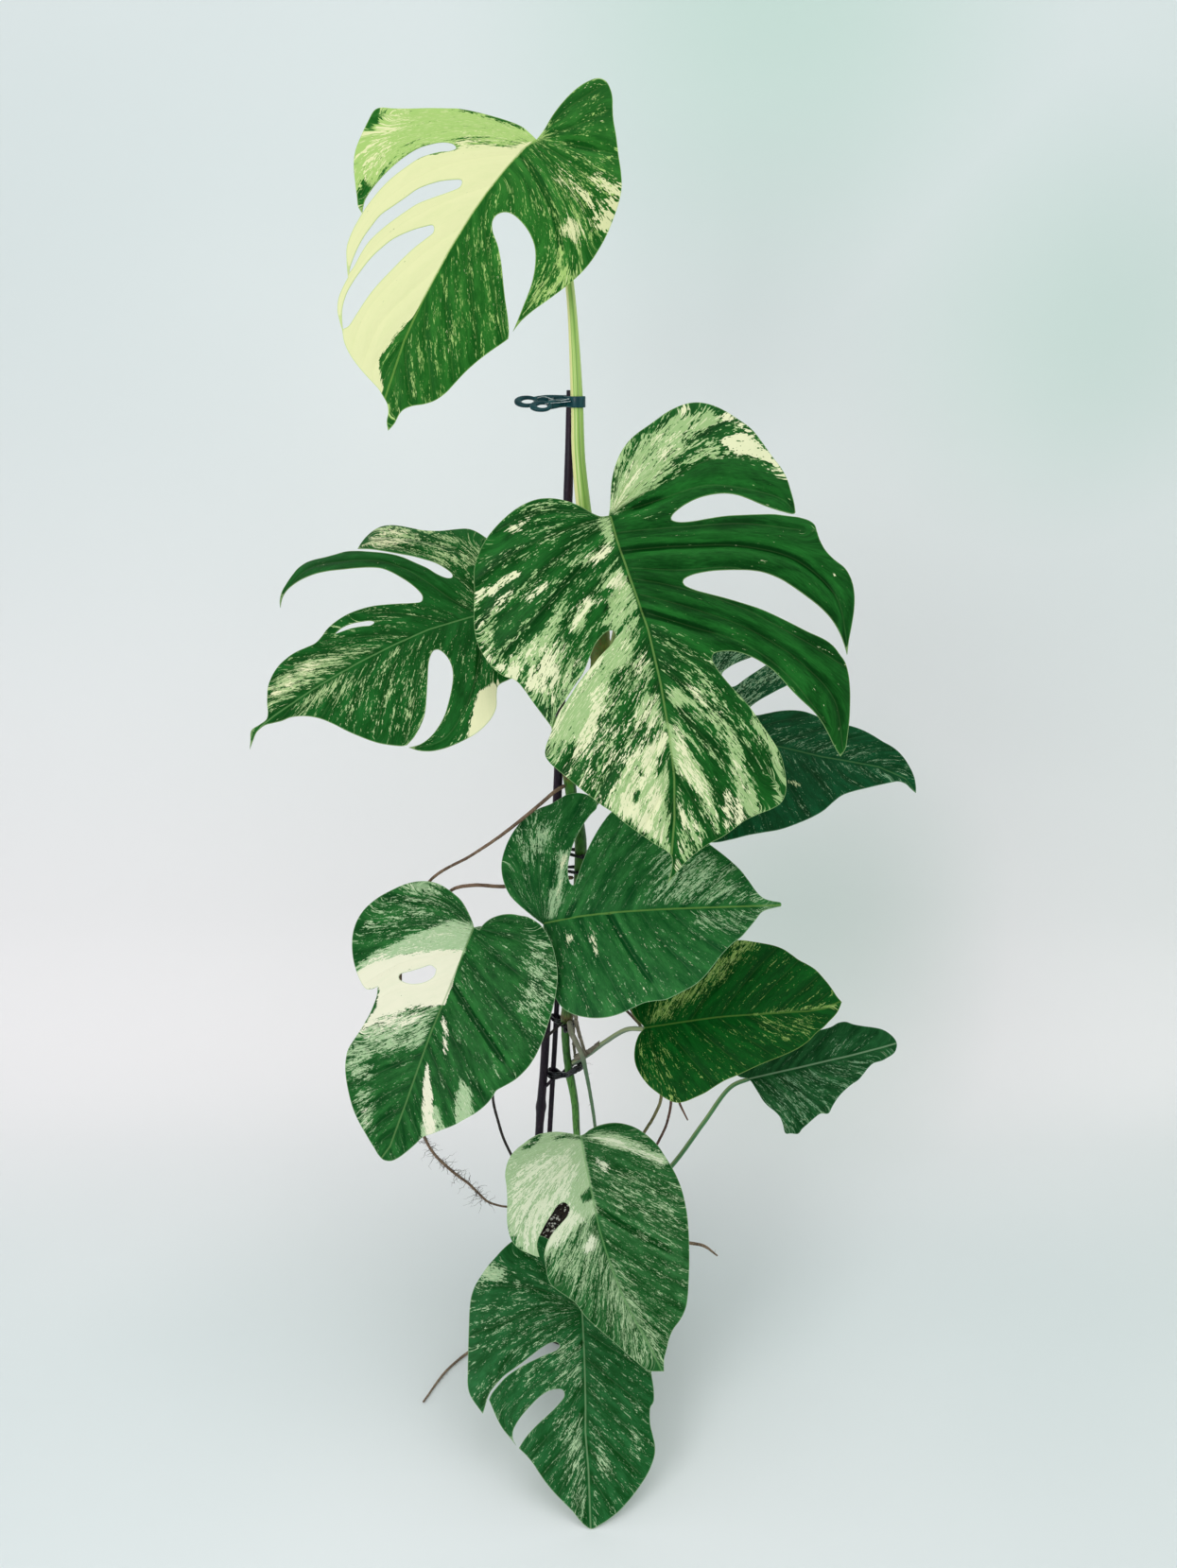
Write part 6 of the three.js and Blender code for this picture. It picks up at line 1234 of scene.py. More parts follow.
petioles = {
    "petiole_1": {"stemTop": True, "endRadius": 2.4, "tones": ("#a9cc63", "#8ab552", "#d9e0a0", 1.0),
        "course": [(24, -8, 730, 6.3), (20, -6, 770, 6.2), (11, -2, 824, 5.8), (7, 1, 865, 5.2),
            (6, 2, 903, 4.8), (1, 0, 985, 3.4), (-7, 4, 1030, 3.0), (-15, 3, 1062, 2.8),
            (-20, -6, 1077, 2.6)]},
    "petiole_2": {"stemHeight": 604, "endRadius": 2.2, "tones": ("#6f9a4b", "#4f7f38", "#a8bd78", 0.3),
        "course": [(-14, 0, 640, 3.2), (-30, -2, 690, 3.0), (-48, -10, 735, 2.6)]},
    "petiole_3": {"stemHeight": 655, "endRadius": 2.5, "tones": ("#7f9a4a", "#66803a", "#b9b878", 0.4),
        "course": [(30, -16, 690, 3.6), (40, -24, 740, 3.4), (42, -40, 785, 3.2), (38, -58, 811, 2.8)]},
    "petiole_4": {"stemHeight": 550, "endRadius": 2.2, "tones": ("#4f7f45", "#3a6a38", "#8fae78", 0.2),
        "course": [(34, 20, 578, 3.2), (66, 18, 612, 3.0), (96, 2, 636, 2.6)]},
    "petiole_5": {"stemHeight": 448, "endRadius": 2.2, "tones": ("#5f9346", "#467a35", "#a3bd78", 0.3),
        "course": [(-4, -24, 458, 3.0), (-14, -46, 470, 2.7), (-21, -64, 481, 2.5)]},
    "petiole_6": {"stemHeight": 432, "endRadius": 2.2, "tones": ("#5f9346", "#467a35", "#a3bd78", 0.3),
        "course": [(-26, -14, 444, 3.0), (-52, -38, 460, 2.7), (-74, -66, 480, 2.5)]},
    "petiole_7": {"stemHeight": 306, "endRadius": 2.1, "tones": ("#7d9078", "#647a62", "#a8b39c", 0.3),
        "course": [(15, -10, 321, 2.5), (30, -20, 340, 2.3), (50, -32, 361, 2.2)]},
    "petiole_8": {"endRadius": 2.0, "tones": ("#4d8a52", "#2f6b3a", "#83a878", 0.2),
        "course": [(30, 8, 55, 2.6), (30, 8, 97, 2.6), (60, 5, 135, 2.4), (98, 0, 188, 2.3),
            (126, -7, 242, 2.2), (150, -13, 287, 2.1)]},
    "petiole_9": {"endRadius": 2.2, "tones": ("#7f9f5c", "#5f8a44", "#b9c98a", 0.4),
        "course": [(8, -22, 52, 3.0), (8, -25, 97, 3.0), (8, -38, 170, 2.8), (9, -52, 235, 2.6),
            (10, -66, 268, 2.4)]},
    "petiole_10": {"endRadius": 2.2, "tones": ("#6f9a4b", "#4f7f38", "#a8bd78", 0.3),
        "course": [(-4, -16, 58, 3.0), (-5, -22, 97, 3.0), (-2, -44, 121, 2.8), (3, -66, 130, 2.6),
            (5, -92, 128, 2.4), (4, -110, 123, 2.3)]},
}

roots = {
    "aerial_root_1": {"stemHeight": 582, "tones": ("#7d6450", "#5c4636", "#a08a72"),
        "course": [(-14, 6, 578, 1.7), (-30, -1, 566, 1.6), (-61, -10, 543, 1.5), (-87, -20, 528, 1.3),
            (-121, -40, 513, 1.3), (-142, -52, 470, 1.3), (-150, -58, 400, 1.3), (-145, -60, 320, 1.3),
            (-134, -60, 262, 1.3), (-126, -60, 245, 1.3), (-109, -58, 223, 1.3), (-97, -57, 211, 1.2),
            (-88, -56, 199, 1.1), (-80, -54, 188, 1.0), (-70, -50, 180, 1.0), (-58, -42, 170, 1.0),
            (-46, -29, 138, 1.0), (-40, -23, 104, 1.0), (-34, -20, 70, 0.9)]},
    "aerial_root_2": {"stemHeight": 494, "tones": ("#7b5f4c", "#5b4334", "#9a836c"),
        "course": [(-24, 0, 496, 1.8), (-57, -30, 503, 1.7), (-84, -45, 511, 1.6), (-101, -52, 510, 1.4),
            (-116, -48, 486, 1.3), (-121, -42, 450, 1.1), (-118, -40, 425, 0.8)]},
    "aerial_root_3": {"stemHeight": 350, "tones": ("#241a1a", "#181112", "#3f332f"),
        "course": [(-22, -14, 344, 1.3), (-52, -18, 322, 1.3), (-72, -14, 298, 1.3), (-76, -10, 272, 1.3),
            (-72, -10, 247, 1.3), (-67, -10, 226, 1.3), (-58, -9, 200, 1.3), (-46, -6, 150, 1.3),
            (-42, -4, 97, 1.3), (-38, -2, 72, 1.0)]},
    "aerial_root_4": {"tones": ("#84705c", "#63503f", "#a89680"),
        "course": [(-40, -5, 1.5, 0.8), (-48, -8, 1.5, 1.1), (-64, -17, 1.6, 1.2), (-84, -31, 1.7, 1.2),
            (-107, -53, 1.7, 1.2), (-125, -75, 1.7, 1.1), (-142, -110, 1.6, 0.9)]},
    "aerial_root_5": {"tones": ("#86705a", "#5f4b3a", "#a5937c"),
        "course": [(41, -10, 70, 1.2), (44, -12, 97, 1.3), (49, -14, 108, 1.3), (58, -18, 114.5, 1.3),
            (72, -24, 120, 1.4), (92, -34, 126, 1.6), (114, -40, 127, 1.6), (127, -44, 127, 1.4),
            (139, -50, 121, 0.8)]},
    "aerial_root_6": {"stemHeight": 424, "tones": ("#6f6c45", "#54502f", "#8f8a5f"),
        "course": [(24, 2, 408, 1.5), (52, -8, 372, 1.5), (76, -22, 325, 1.5), (83, -28, 288, 1.5),
            (77, -24, 262, 1.5), (67, -20, 238, 1.5), (52, -14, 190, 1.4), (42, -6, 140, 1.4),
            (40, -2, 97, 1.3), (38, 0, 70, 1.0)]},
    "aerial_root_7": {"stemHeight": 388, "tones": ("#5e4034", "#432c24", "#84685a"),
        "course": [(30, 10, 374, 1.3), (66, 4, 340, 1.3), (88, -12, 305, 1.3), (93, -18, 279, 1.3),
            (90, -16, 249, 1.3), (82, -11, 222, 1.3), (66, 10, 170, 1.3), (50, 22, 120, 1.3),
            (45, 24, 97, 1.3), (41, 24, 70, 1.0)]},
    "aerial_root_8": {"stemHeight": 400, "tones": ("#6b4c3c", "#4d352a", "#8f7464"),
        "course": [(40, 16, 388, 1.3), (78, 8, 352, 1.3), (94, -10, 312, 1.2), (100, -25, 279, 1.2),
            (108, -30, 262, 0.8)]},
    "aerial_root_9": {"stemHeight": 353, "tones": ("#a8a08e", "#8f8a78", "#7f8f72", "#5f8060"),
        "course": [(-1.6, -12, 347, 2.6), (4, -14, 335, 2.5), (9.6, -16, 321, 2.3), (12.8, -17, 305, 1.9),
            (16.8, -18, 281, 1.7), (20.9, -18, 249, 1.6), (24, -17, 200, 1.6), (25, -14, 150, 1.8),
            (25, -13, 97, 1.8), (24, -13, 70, 1.4)]},
}


def courseLine(course, closed=False):
    # a smooth line through the course, with its radius, every few millimetres
    places = [np.array(p, float) for p in course]
    count = len(places)
    line = []
    for i in range(count if closed else count - 1):
        here, after = places[i], places[(i + 1) % count]
        before = places[i - 1] if closed or i else 2 * here - after
        beyond = places[(i + 2) % count] if closed or i < count - 2 else 2 * after - here
        gaps = [max(np.linalg.norm(b[:3] - a[:3]) ** 0.5, 1e-3)
                for a, b in ((before, here), (here, after), (after, beyond))]
        leave = ((here - before) / gaps[0] - (after - before) / (gaps[0] + gaps[1])
                 + (after - here) / gaps[1]) * gaps[1]
        arrive = ((after - here) / gaps[1] - (beyond - here) / (gaps[1] + gaps[2])
                  + (beyond - after) / gaps[2]) * gaps[1]
        steps = max(2, round(np.linalg.norm(after[:3] - here[:3]) / tube["spacing"]))
        for t in np.arange(steps) / steps:
            point = (here * (2 * t ** 3 - 3 * t * t + 1) + leave * (t ** 3 - 2 * t * t + t)
                     + after * (3 * t * t - 2 * t ** 3) + arrive * (t ** 3 - t * t))
            share = t * t * (3 - 2 * t)
            point[3] = here[3] * (1 - share) + after[3] * share
            line.append(point)
    if not closed:
        line.append(places[-1])
    return np.array(line)


def domed(line, depth=1.0):
    # rounds both ends off over one radius, or over less for a flat end
    caps = []
    for point, before in ((line[0], line[1]), (line[-1], line[-2])):
        way = (point - before)[:3] / np.linalg.norm((point - before)[:3])
        caps.append([np.append(point[:3] + way * depth * point[3] * math.sin(angle),
                               point[3] * (1 - depth + depth * math.cos(angle)))
                     for angle in np.radians((20, 42, 62, 78))])
    return np.vstack([caps[0][::-1], line, caps[1]])


def skinned(curve, radius, sides):
    # a tube round a curve, in real faces
    sized = put(curve.tree, "GeometryNodeSetCurveRadius", {0: curve, 2: radius})
    ring = put(curve.tree, "GeometryNodeCurvePrimitiveCircle", {"Resolution": sides, "Radius": 1.0})
    return put(curve.tree, "GeometryNodeCurveToMesh", {0: sized, 1: ring, "Scale": radius, "Fill Caps": True})


def pushed(geometry, offset):
    return put(geometry.tree, "GeometryNodeSetPosition", {0: geometry, "Offset": offset})


def stored(geometry, name, value, kind):
    return put(geometry.tree, "GeometryNodeStoreNamedAttribute", {0: geometry, "Name": name, "Value": value},
               data_type=kind, domain="POINT")


def finishGeometry(geometry, material):
    real = put(geometry.tree, "GeometryNodeRealizeInstances", {0: geometry})
    finished = put(geometry.tree, "GeometryNodeSetMaterial", {0: real, "Material": material})
    return finishTree(geometry.tree, {"Geometry": ("Geometry", finished)})


def makeTube():
    tree, given = newTree("tubeAlongPath", "GeometryNodeTree", {
        "Geometry": "Geometry", "Sides": 16, "Unevenness": 0.0, "Grain": 300.0, "Seed": 1.0,
        "Finish": "Material"})
    curve = put(tree, "GeometryNodeMeshToCurve", {0: given["Geometry"]})
    curve = stored(curve, "along", put(tree, "GeometryNodeSplineParameter", out="Length"), "FLOAT")
    width = put(tree, "GeometryNodeInputNamedAttribute", {0: "width"}, data_type="FLOAT")
    normal = put(tree, "GeometryNodeInputNormal")
    skin = stored(skinned(curve, width, given["Sides"]), "facing", normal, "FLOAT_VECTOR")
    grain = put(tree, "ShaderNodeTexNoise", {
        "Vector": put(tree, "GeometryNodeInputPosition"), "W": given["Seed"], "Scale": given["Grain"],
        "Detail": 3.0}, noise_dimensions="4D")
    skin = pushed(skin, normal.scaled((grain - 0.5) * given["Unevenness"]))
    return finishGeometry(put(tree, "GeometryNodeSetShadeSmooth", {0: skin}), given["Finish"])


tubeAlongPath = makeTube()


def tubeMesh(name, lines, sides, material, unevenness=0.0, grain=300.0, seed=1.0, node=None):
    # one mesh of tubes, each from a line and whether it closes on itself
    edges, start = [], 0
    for line, closed in lines:
        count = len(line)
        edges += [(start + i, start + (i + 1) % count) for i in range(count if closed else count - 1)]
        start += count
    places = np.vstack([line for line, closed in lines])
    mesh = newMesh(name, places[:, :3], edges, [])
    mark(mesh, "width", places[:, 3] * mm)
    if node is not None:
        mark(mesh, "node", node)
    return grown(mesh, tubeAlongPath, Sides=sides, Unevenness=unevenness * mm, Grain=grain, Seed=seed,
                 Finish=material)


def courseAt(course, height):
    above = next(i for i, p in enumerate(course) if p[2] >= height)
    low, high = np.array(course[above - 1], float), np.array(course[above], float)
    place = low + (high - low) * (height - low[2]) / (high[2] - low[2])
    way = (high - low)[:3]
    return place, way / np.linalg.norm(way)


def seatOnStem(height, after):
    # a first point for something that grows from the stem's side, just clear of it
    seat, along = courseAt(stemCourse, height)
    way = np.array(after[:3], float) - seat[:3]
    way -= along * (way @ along)
    way /= np.linalg.norm(way)
    return (*(seat[:3] + way * (seat[3] + tube["clearance"] + after[3])), after[3])


stemSkin = {
    "top": "#36761e",
    "foot": "#58963a",
    "footFrom": (0.283, 0.305),  # metres
    "mottled": "#164410",
    "shaded": "#0c400c",
    "shadedShare": 0.6,
    "lit": "#7fa65a",
    "litShare": 0.35,
    "bark": ("#8a6a3c", "#4a3520"),
    "roughness": 0.5,
    "ringScale": 180.0,
    "ringHeight": 0.6,
}


def stemMaterial():
    material, tree = newMaterial("vineSkin", Roughness=0.5)
    node = attribute(tree, "node")
    side = attribute(tree, "facing", "Vector").split()
    place = objectPlace(tree)
    mottle = drawn(place, (520, 520, 130), 3.0, 0.3)
    green = blend(ramp(place.split()[2], *stemSkin["footFrom"]), stemSkin["foot"], stemSkin["top"])
    green = blend(ramp(mottle, -0.05, 0.25), green, stemSkin["mottled"])
    green = blend(ramp(side, 0.45, 0.75) * stemSkin["shadedShare"], green, stemSkin["shaded"])
    green = blend(ramp(side, -0.5, -0.9) * stemSkin["litShare"], green, stemSkin["lit"])
    # rough brown scars with ring marks at the nodes
    bark = blend(ramp(mottle, -0.1, 0.15), *stemSkin["bark"])
    scar = node * (mottle * 2.5 + 0.75)
    rings = put(tree, "ShaderNodeTexWave", {"Vector": place, "Scale": stemSkin["ringScale"],
                                            "Distortion": 3.0}, 1, bands_direction="Z")
    relief = drawn(place, (900, 900, 60)) + rings * (node * stemSkin["ringHeight"])
    rough = mottle * 0.5 + stemSkin["roughness"]
    return dress(material, blend(scar, green, bark), rough, relief, 0.5, 0.0006)


stalkSkin = {
    "paleLine": "#e6e79a",
    "greenLine": "#5a8a35",
    "greenShare": 0.55,
    "specks": "#8a7a3c",
    "speckShare": 0.5,
    "speckScale": 14.0,
    "roughness": 0.42,
}


def petioleMaterial(name, light, dark, stripe, striped):
    # striped: how strong the pale and dark lines along the stalk are
    material, tree = newMaterial(name, Roughness=0.4)
    facing = attribute(tree, "facing", "Vector")
    side = facing.split()
    wound = facing * (1.0, 1.0, 0.0) + put(tree, "ShaderNodeCombineXYZ", {2: attribute(tree, "along")})
    lines = drawn(wound, (4.5, 4.5, 9.0), 3.0, 0.1)
    broad = drawn(wound, (1.6, 1.6, 5.0), 2.0, 0.2)
    tone = blend(ramp(broad, -0.18, 0.2), light, dark)
    tone = blend(ramp(lines, 0.02, 0.16) * striped, tone, stripe)
    tone = blend(ramp(side, -0.45, -0.62) * striped, tone, stalkSkin["paleLine"])
    middle = ramp(side, 0.05, 0.2) * ramp(side, 0.5, 0.34) * striped
    tone = blend(middle * stalkSkin["greenShare"], tone, stalkSkin["greenLine"])
    spots = put(tree, "ShaderNodeTexNoise", {"Vector": wound, "Scale": stalkSkin["speckScale"],
                                             "Detail": 2.0})
    tone = blend(ramp(spots, 0.66, 0.72) * stalkSkin["speckShare"], tone, stalkSkin["specks"])
    return dress(material, tone, broad * 0.4 + stalkSkin["roughness"], lines, 0.4, 0.0003)


stakeSkin = {
    "tones": ("#12061a", "#2a1528"),
    "dust": "#5d4a56",
    "dustShare": 0.2,
    "roughness": 0.42,
    "specular": 0.25,
}


def stakeMaterial():
    material, tree = newMaterial("stakePlastic", Roughness=stakeSkin["roughness"],
                                 Specular_IOR_Level=stakeSkin["specular"])
    place = objectPlace(tree)
    wear = drawn(place, (260, 260, 40), 3.0, 0.2)
    tone = blend(ramp(wear, -0.15, 0.25), *stakeSkin["tones"])
    dust = ramp(drawn(place, (900, 900, 260)), 0.08, 0.2)
    tone = blend(dust * stakeSkin["dustShare"], tone, stakeSkin["dust"])
    rough = wear * 0.6 + stakeSkin["roughness"]
    return dress(material, tone, rough, drawn(place, (700, 700, 24)), 0.5, 0.0003)


def rootMaterial(name, tones, change=(0.335, 0.31)):
    # a fourth tone takes over below these heights, in metres
    material, tree = newMaterial(name, Roughness=0.75)
    place = objectPlace(tree)
    fine = drawn(place, (900, 900, 900), 3.0, 0.3)
    tone = blend(ramp(drawn(place, (90, 90, 90)), -0.15, 0.15), *tones[:2])
    if len(tones) > 3:
        tone = blend(ramp(place.split()[2], *change), tone, tones[3])
    tone = blend(ramp(fine, 0.0, 0.2), tone, tones[2])
    return dress(material, tone, fine * 0.5 + 0.72, fine, 0.7, 0.0005)


line = domed(courseLine(stemCourse))
nodeMark = np.max([strength * bell(line[:, 2] - height, tube["nodeWidth"])
                   for height, strength in stemNodes], axis=0)
skin = stemMaterial()
newPiece("vine", tubeMesh("vine", [(line, False)], tube["stemSides"], skin, 1.1, 130, 2.0, nodeMark),
         skin, "vine_green", "vine_stem")

plastic = stakeMaterial()
for name, course in stakeCourses.items():
    line = domed(courseLine(course), tube["stakeDome"])
    mesh = tubeMesh(name, [(line, False)], tube["stakeSides"], plastic, 0.35, 160, 3.0)
    newPiece(f"{name}_rod", mesh, plastic, "stake_dark", name)
line = domed(courseLine(stakeStub), tube["stubDome"])
newPiece("stake_tall_stub", tubeMesh("stub", [(line, False)], tube["stubSides"], plastic, 0.2, 160, 5.0),
         plastic, "stake_dark")

for number, (name, stalk) in enumerate(petioles.items(), 1):
    leaf = leaves[f"leaf_{number}"]
    course = list(stalk["course"])
    under = np.array([tube["underBlade"]])
    middle = midribAt(leaf, under)
    depth = blade["thickness"] + tube["clearance"] + stalk["endRadius"]
    end = (bladePoints(leaf, under, middle) - bladeNormals(leaf, under, middle) * depth)[0]
    course.append((*end, stalk["endRadius"]))
    if "stemHeight" in stalk:
        course.insert(0, seatOnStem(stalk["stemHeight"], course[0]))
    if "stemTop" in stalk:
        x, y, z, radius = stemCourse[-1]
        course.insert(0, (x, y, z + 2 * radius + tube["clearance"], radius))
    skin = petioleMaterial(f"{name}Skin", *stalk["tones"])
    line = domed(courseLine(course))
    mesh = tubeMesh(name, [(line, False)], tube["petioleSides"], skin, 0.25, 110, 4.0 + number)
    newPiece(f"stalk_{number}", mesh, skin, "petiole_green", name)

for number, (name, root) in enumerate(roots.items(), 1):
    course = list(root["course"])
    if "stemHeight" in root:
        course.insert(0, seatOnStem(root["stemHeight"], course[0]))
    skin = rootMaterial(f"{name}Skin", root["tones"])
    line = domed(courseLine(course))
    mesh = tubeMesh(name, [(line, False)], tube["rootSides"], skin, 0.7, 220, 20.0 + number)
    newPiece(f"root_{number}", mesh, skin, "root_brown", name)
print("stem, stakes, petioles and roots made")

# Fine hairs and rootlets on the roots

fringe = {
    "aerial_root_1": {"count": 250, "longest": 19, "thickness": 0.26, "from": 0.6, "to": 0.78},
    "aerial_root_2": {"count": 50, "longest": 4, "thickness": 0.16, "from": 0.3, "to": 1.0},
    "aerial_root_4": {"count": 60, "longest": 6, "thickness": 0.16, "from": 0.1, "to": 1.0},
    "aerial_root_5": {"count": 60, "longest": 5, "thickness": 0.16, "from": 0.4, "to": 1.0},
    "aerial_root_9": {"count": 30, "longest": 9, "thickness": 0.2, "from": 0.1, "to": 0.75},
}
fringeLowest = 0.3  # no hair dips into the surface that the pot stands on


def jittered(geometry, scale, middle, amount):
    # pushed about by a noise that lies round middle
    tree = geometry.tree
    cloud = put(tree, "ShaderNodeTexNoise", {"Vector": put(tree, "GeometryNodeInputPosition"),
                                             "Scale": scale, "Detail": 1.0}, 1)
    return pushed(geometry, (cloud - middle).scaled(amount))


def anyVector(tree, seed, low=(0, 0, 0), high=(6.28, 6.28, 6.28)):
    # another one for each point: without limits it is any turn
    return put(tree, "FunctionNodeRandomValue", {0: low, 1: high, "Seed": seed}, data_type="FLOAT_VECTOR")


def anyShare(tree, seed, power):
    # from 0 to 1 for each point: the higher the power, the rarer a large one
    even = put(tree, "FunctionNodeRandomValue", {2: 0.0, 3: 1.0, "Seed": seed}, 1, data_type="FLOAT")
    return even.math("POWER", power)


def makeFringe():
    tree, given = newTree("hairsAlongRoot", "GeometryNodeTree", {
        "Geometry": "Geometry", "Count": 100, "Longest": 0.01, "From": 0.0, "To": 1.0,
        "Thickness": 0.00016, "Seed": 1, "Finish": "Material"})
    curve = put(tree, "GeometryNodeMeshToCurve", {0: given["Geometry"]})
    stretch = put(tree, "GeometryNodeTrimCurve", {0: curve, 2: given["From"], 3: given["To"]}, mode="FACTOR")
    spots = put(tree, "GeometryNodeCurveToPoints", {0: stretch, "Count": given["Count"]}, mode="COUNT")
    straight = put(tree, "GeometryNodeCurvePrimitiveLine", {0: (0, 0, 0), 1: (0, 0, 1)})
    hair = put(tree, "GeometryNodeResampleCurve", {0: straight, "Count": 6})
    size = (anyShare(tree, given["Seed"], 3.2) * 0.85 + 0.15) * given["Longest"]
    hairs = put(tree, "GeometryNodeInstanceOnPoints", {
        0: spots, "Instance": hair, "Rotation": anyVector(tree, given["Seed"]), "Scale": size})
    travelled = put(tree, "GeometryNodeSplineParameter")
    bent = jittered(put(tree, "GeometryNodeRealizeInstances", {0: hairs}), 330.0, (0.5, 0.5, 0.56),
                    travelled["Length"] * 0.9)
    return finishGeometry(skinned(bent, (1.15 - travelled) * given["Thickness"], 4), given["Finish"])


hairsAlongRoot = makeFringe()
hairSkin = rootMaterial("hairSkin", ("#4f4138", "#3a2f29", "#75675a"))
for number, (name, hairs) in enumerate(fringe.items(), 1):
    line = courseLine(roots[name]["course"])
    mesh = newMesh(f"{name}_hair", line[:, :3], [(i, i + 1) for i in range(len(line) - 1)], [])
    mesh = grown(mesh, hairsAlongRoot, Count=hairs["count"], Longest=hairs["longest"] * mm,
                 Thickness=hairs["thickness"] * mm, From=hairs["from"], To=hairs["to"], Seed=number,
                 Finish=hairSkin)
    for vertex in mesh.vertices:
        vertex.co.z = max(vertex.co.z, fringeLowest * mm)
    newPiece(f"hairs_{name.split('_')[-1]}", mesh, hairSkin, "root_brown")
print("root hairs made")

# Ties, each a few strands drawn round the stem and the stakes, some with a knot

ties = {
    "stem_tie_1": {"stem": 288, "stake": 284, "strands": 4, "radius": 1.4, "spread": 2.4, "rise": 17,
                   "pinch": 0.8, "uprights": ("short",), "petiole": (6, -5, 3.0)},
    "stem_tie_2": {"stem": 348, "stake": 346, "strands": 3, "radius": 1.1, "spread": 1.2, "knot": 3.2,
                   "pinch": 0.6, "uprights": ("short",)},
    "stem_tie_3": {"stem": 501, "stake": 499, "strands": 2, "radius": 1.2, "spread": 0.6,
                   "pinch": 0.3, "uprights": ("tall",)},
    "stem_tie_4": {"stem": 516, "stake": 518, "strands": 2, "radius": 1.1, "spread": 1.0,
                   "pinch": 0.3, "uprights": ("tall",)},
}
band = {
    "step": 10,  # degrees
    "stagger": 0.35,  # each second strand lies this much further out
    "pinchWidth": 0.3,  # as a share of the way from the stake to the stem
    "riseFrom": 10,
    "riseTo": 8,
    "wobble": 0.3,
    "sides": 12,
    "knotPoints": 60,
    "knotScale": 1.25,
    "tones": ("#07080c", "#232b36"),
    "roughness": 0.28,
}


def bandLine(rounds, tie, strand):
    # round all the uprights at once: for each direction the furthest round carries the band
    line = []
    for angle in np.radians(np.arange(0, 360, band["step"])):
        way = np.array([math.cos(angle), math.sin(angle)])
        x, y, z, radius = max(rounds, key=lambda r: r[0] * way[0] + r[1] * way[1] + r[3])
        reach = radius + 2 * tube["clearance"] + tie["radius"] + band["stagger"] * (strand % 2)
        line.append((x + way[0] * reach, y + way[1] * reach, z, tie["radius"]))
    line = courseLine(line, closed=True)
    # between the uprights both runs are drawn together
    right, left = rounds[0][:2], rounds[1][:2]
    share = (line[:, 0] - left[0]) / (right[0] - left[0])
    middle = left[1] + (right[1] - left[1]) * share
    near = bell(share - 0.5, band["pinchWidth"])
    line[:, 1] += (middle - line[:, 1]) * tie["pinch"] * near
    climb = ease(line[:, 0], right[0] - band["riseFrom"], right[0] + band["riseTo"])
    line[:, 2] += tie.get("rise", 0) * climb
    turn = np.linspace(0, 2 * math.pi, len(line), endpoint=False)
    shift = strand * 2 * math.pi / tie["strands"]
    line[:, 2] += tie["spread"] * np.sin(2 * turn + shift) + band["wobble"] * np.sin(7 * turn + shift)
    return line


def knotLines(stem, tie):
    # a trefoil in front of the stem, and its two loose ends
    centre = stem[:3] + (0, -stem[3] - tie["knot"] * 0.6 - 1.2, 0)
    turn = np.linspace(0, 2 * math.pi, band["knotPoints"], endpoint=False)
    x = (np.sin(turn) + 2 * np.sin(2 * turn)) / 3
    y = -np.sin(3 * turn) / 2
    z = (np.cos(turn) - 2 * np.cos(2 * turn)) / 3
    knot = np.stack([x, y, z], axis=1) * tie["knot"] * band["knotScale"] + centre
    lines = [(np.column_stack([knot, np.full(len(turn), tie["radius"])]), True)]
    for side in (-1, 1):
        tail = [(*(centre + (side, -1, 0)), 0.7), (*(centre + (side * 3, -2.5, 3)), 0.7),
                (*(centre + (side * 5, -1.5, 4 + side)), 0.6)]
        lines.append((domed(courseLine(tail)), False))
    return lines


def tieMaterial():
    material, tree = newMaterial("tieCoating", Roughness=0.25)
    place = objectPlace(tree)
    wear = drawn(place, (500, 500, 500))
    tone = blend(ramp(wear, 0.0, 0.25), *band["tones"])
    rough = wear * 0.5 + band["roughness"]
    return dress(material, tone, rough, drawn(place, (900, 900, 900)), 0.3, 0.0003)


coating = tieMaterial()
for name, tie in ties.items():
    stem = courseAt(stemCourse, tie["stem"])[0]
    stakes = [stakeCourses[f"stake_{upright}"] for upright in tie["uprights"]]
    rounds = [stem] + [courseAt(course, tie["stake"])[0] for course in stakes]
    if "petiole" in tie:
        x, y, radius = tie["petiole"]
        rounds.append(np.array([stem[0] + x, stem[1] + y, tie["stem"], radius]))
    lines = [(bandLine(rounds, tie, strand), True) for strand in range(tie["strands"])]
    if "knot" in tie:
        lines += knotLines(stem, tie)
    newPiece(name.replace("stem_tie", "binding"), tubeMesh(name, lines, band["sides"], coating),
             coating, "tie_black", name)
print("ties made")

# The plant clip: two jaws round the stake and the top petiole, arms, finger rings and a spring

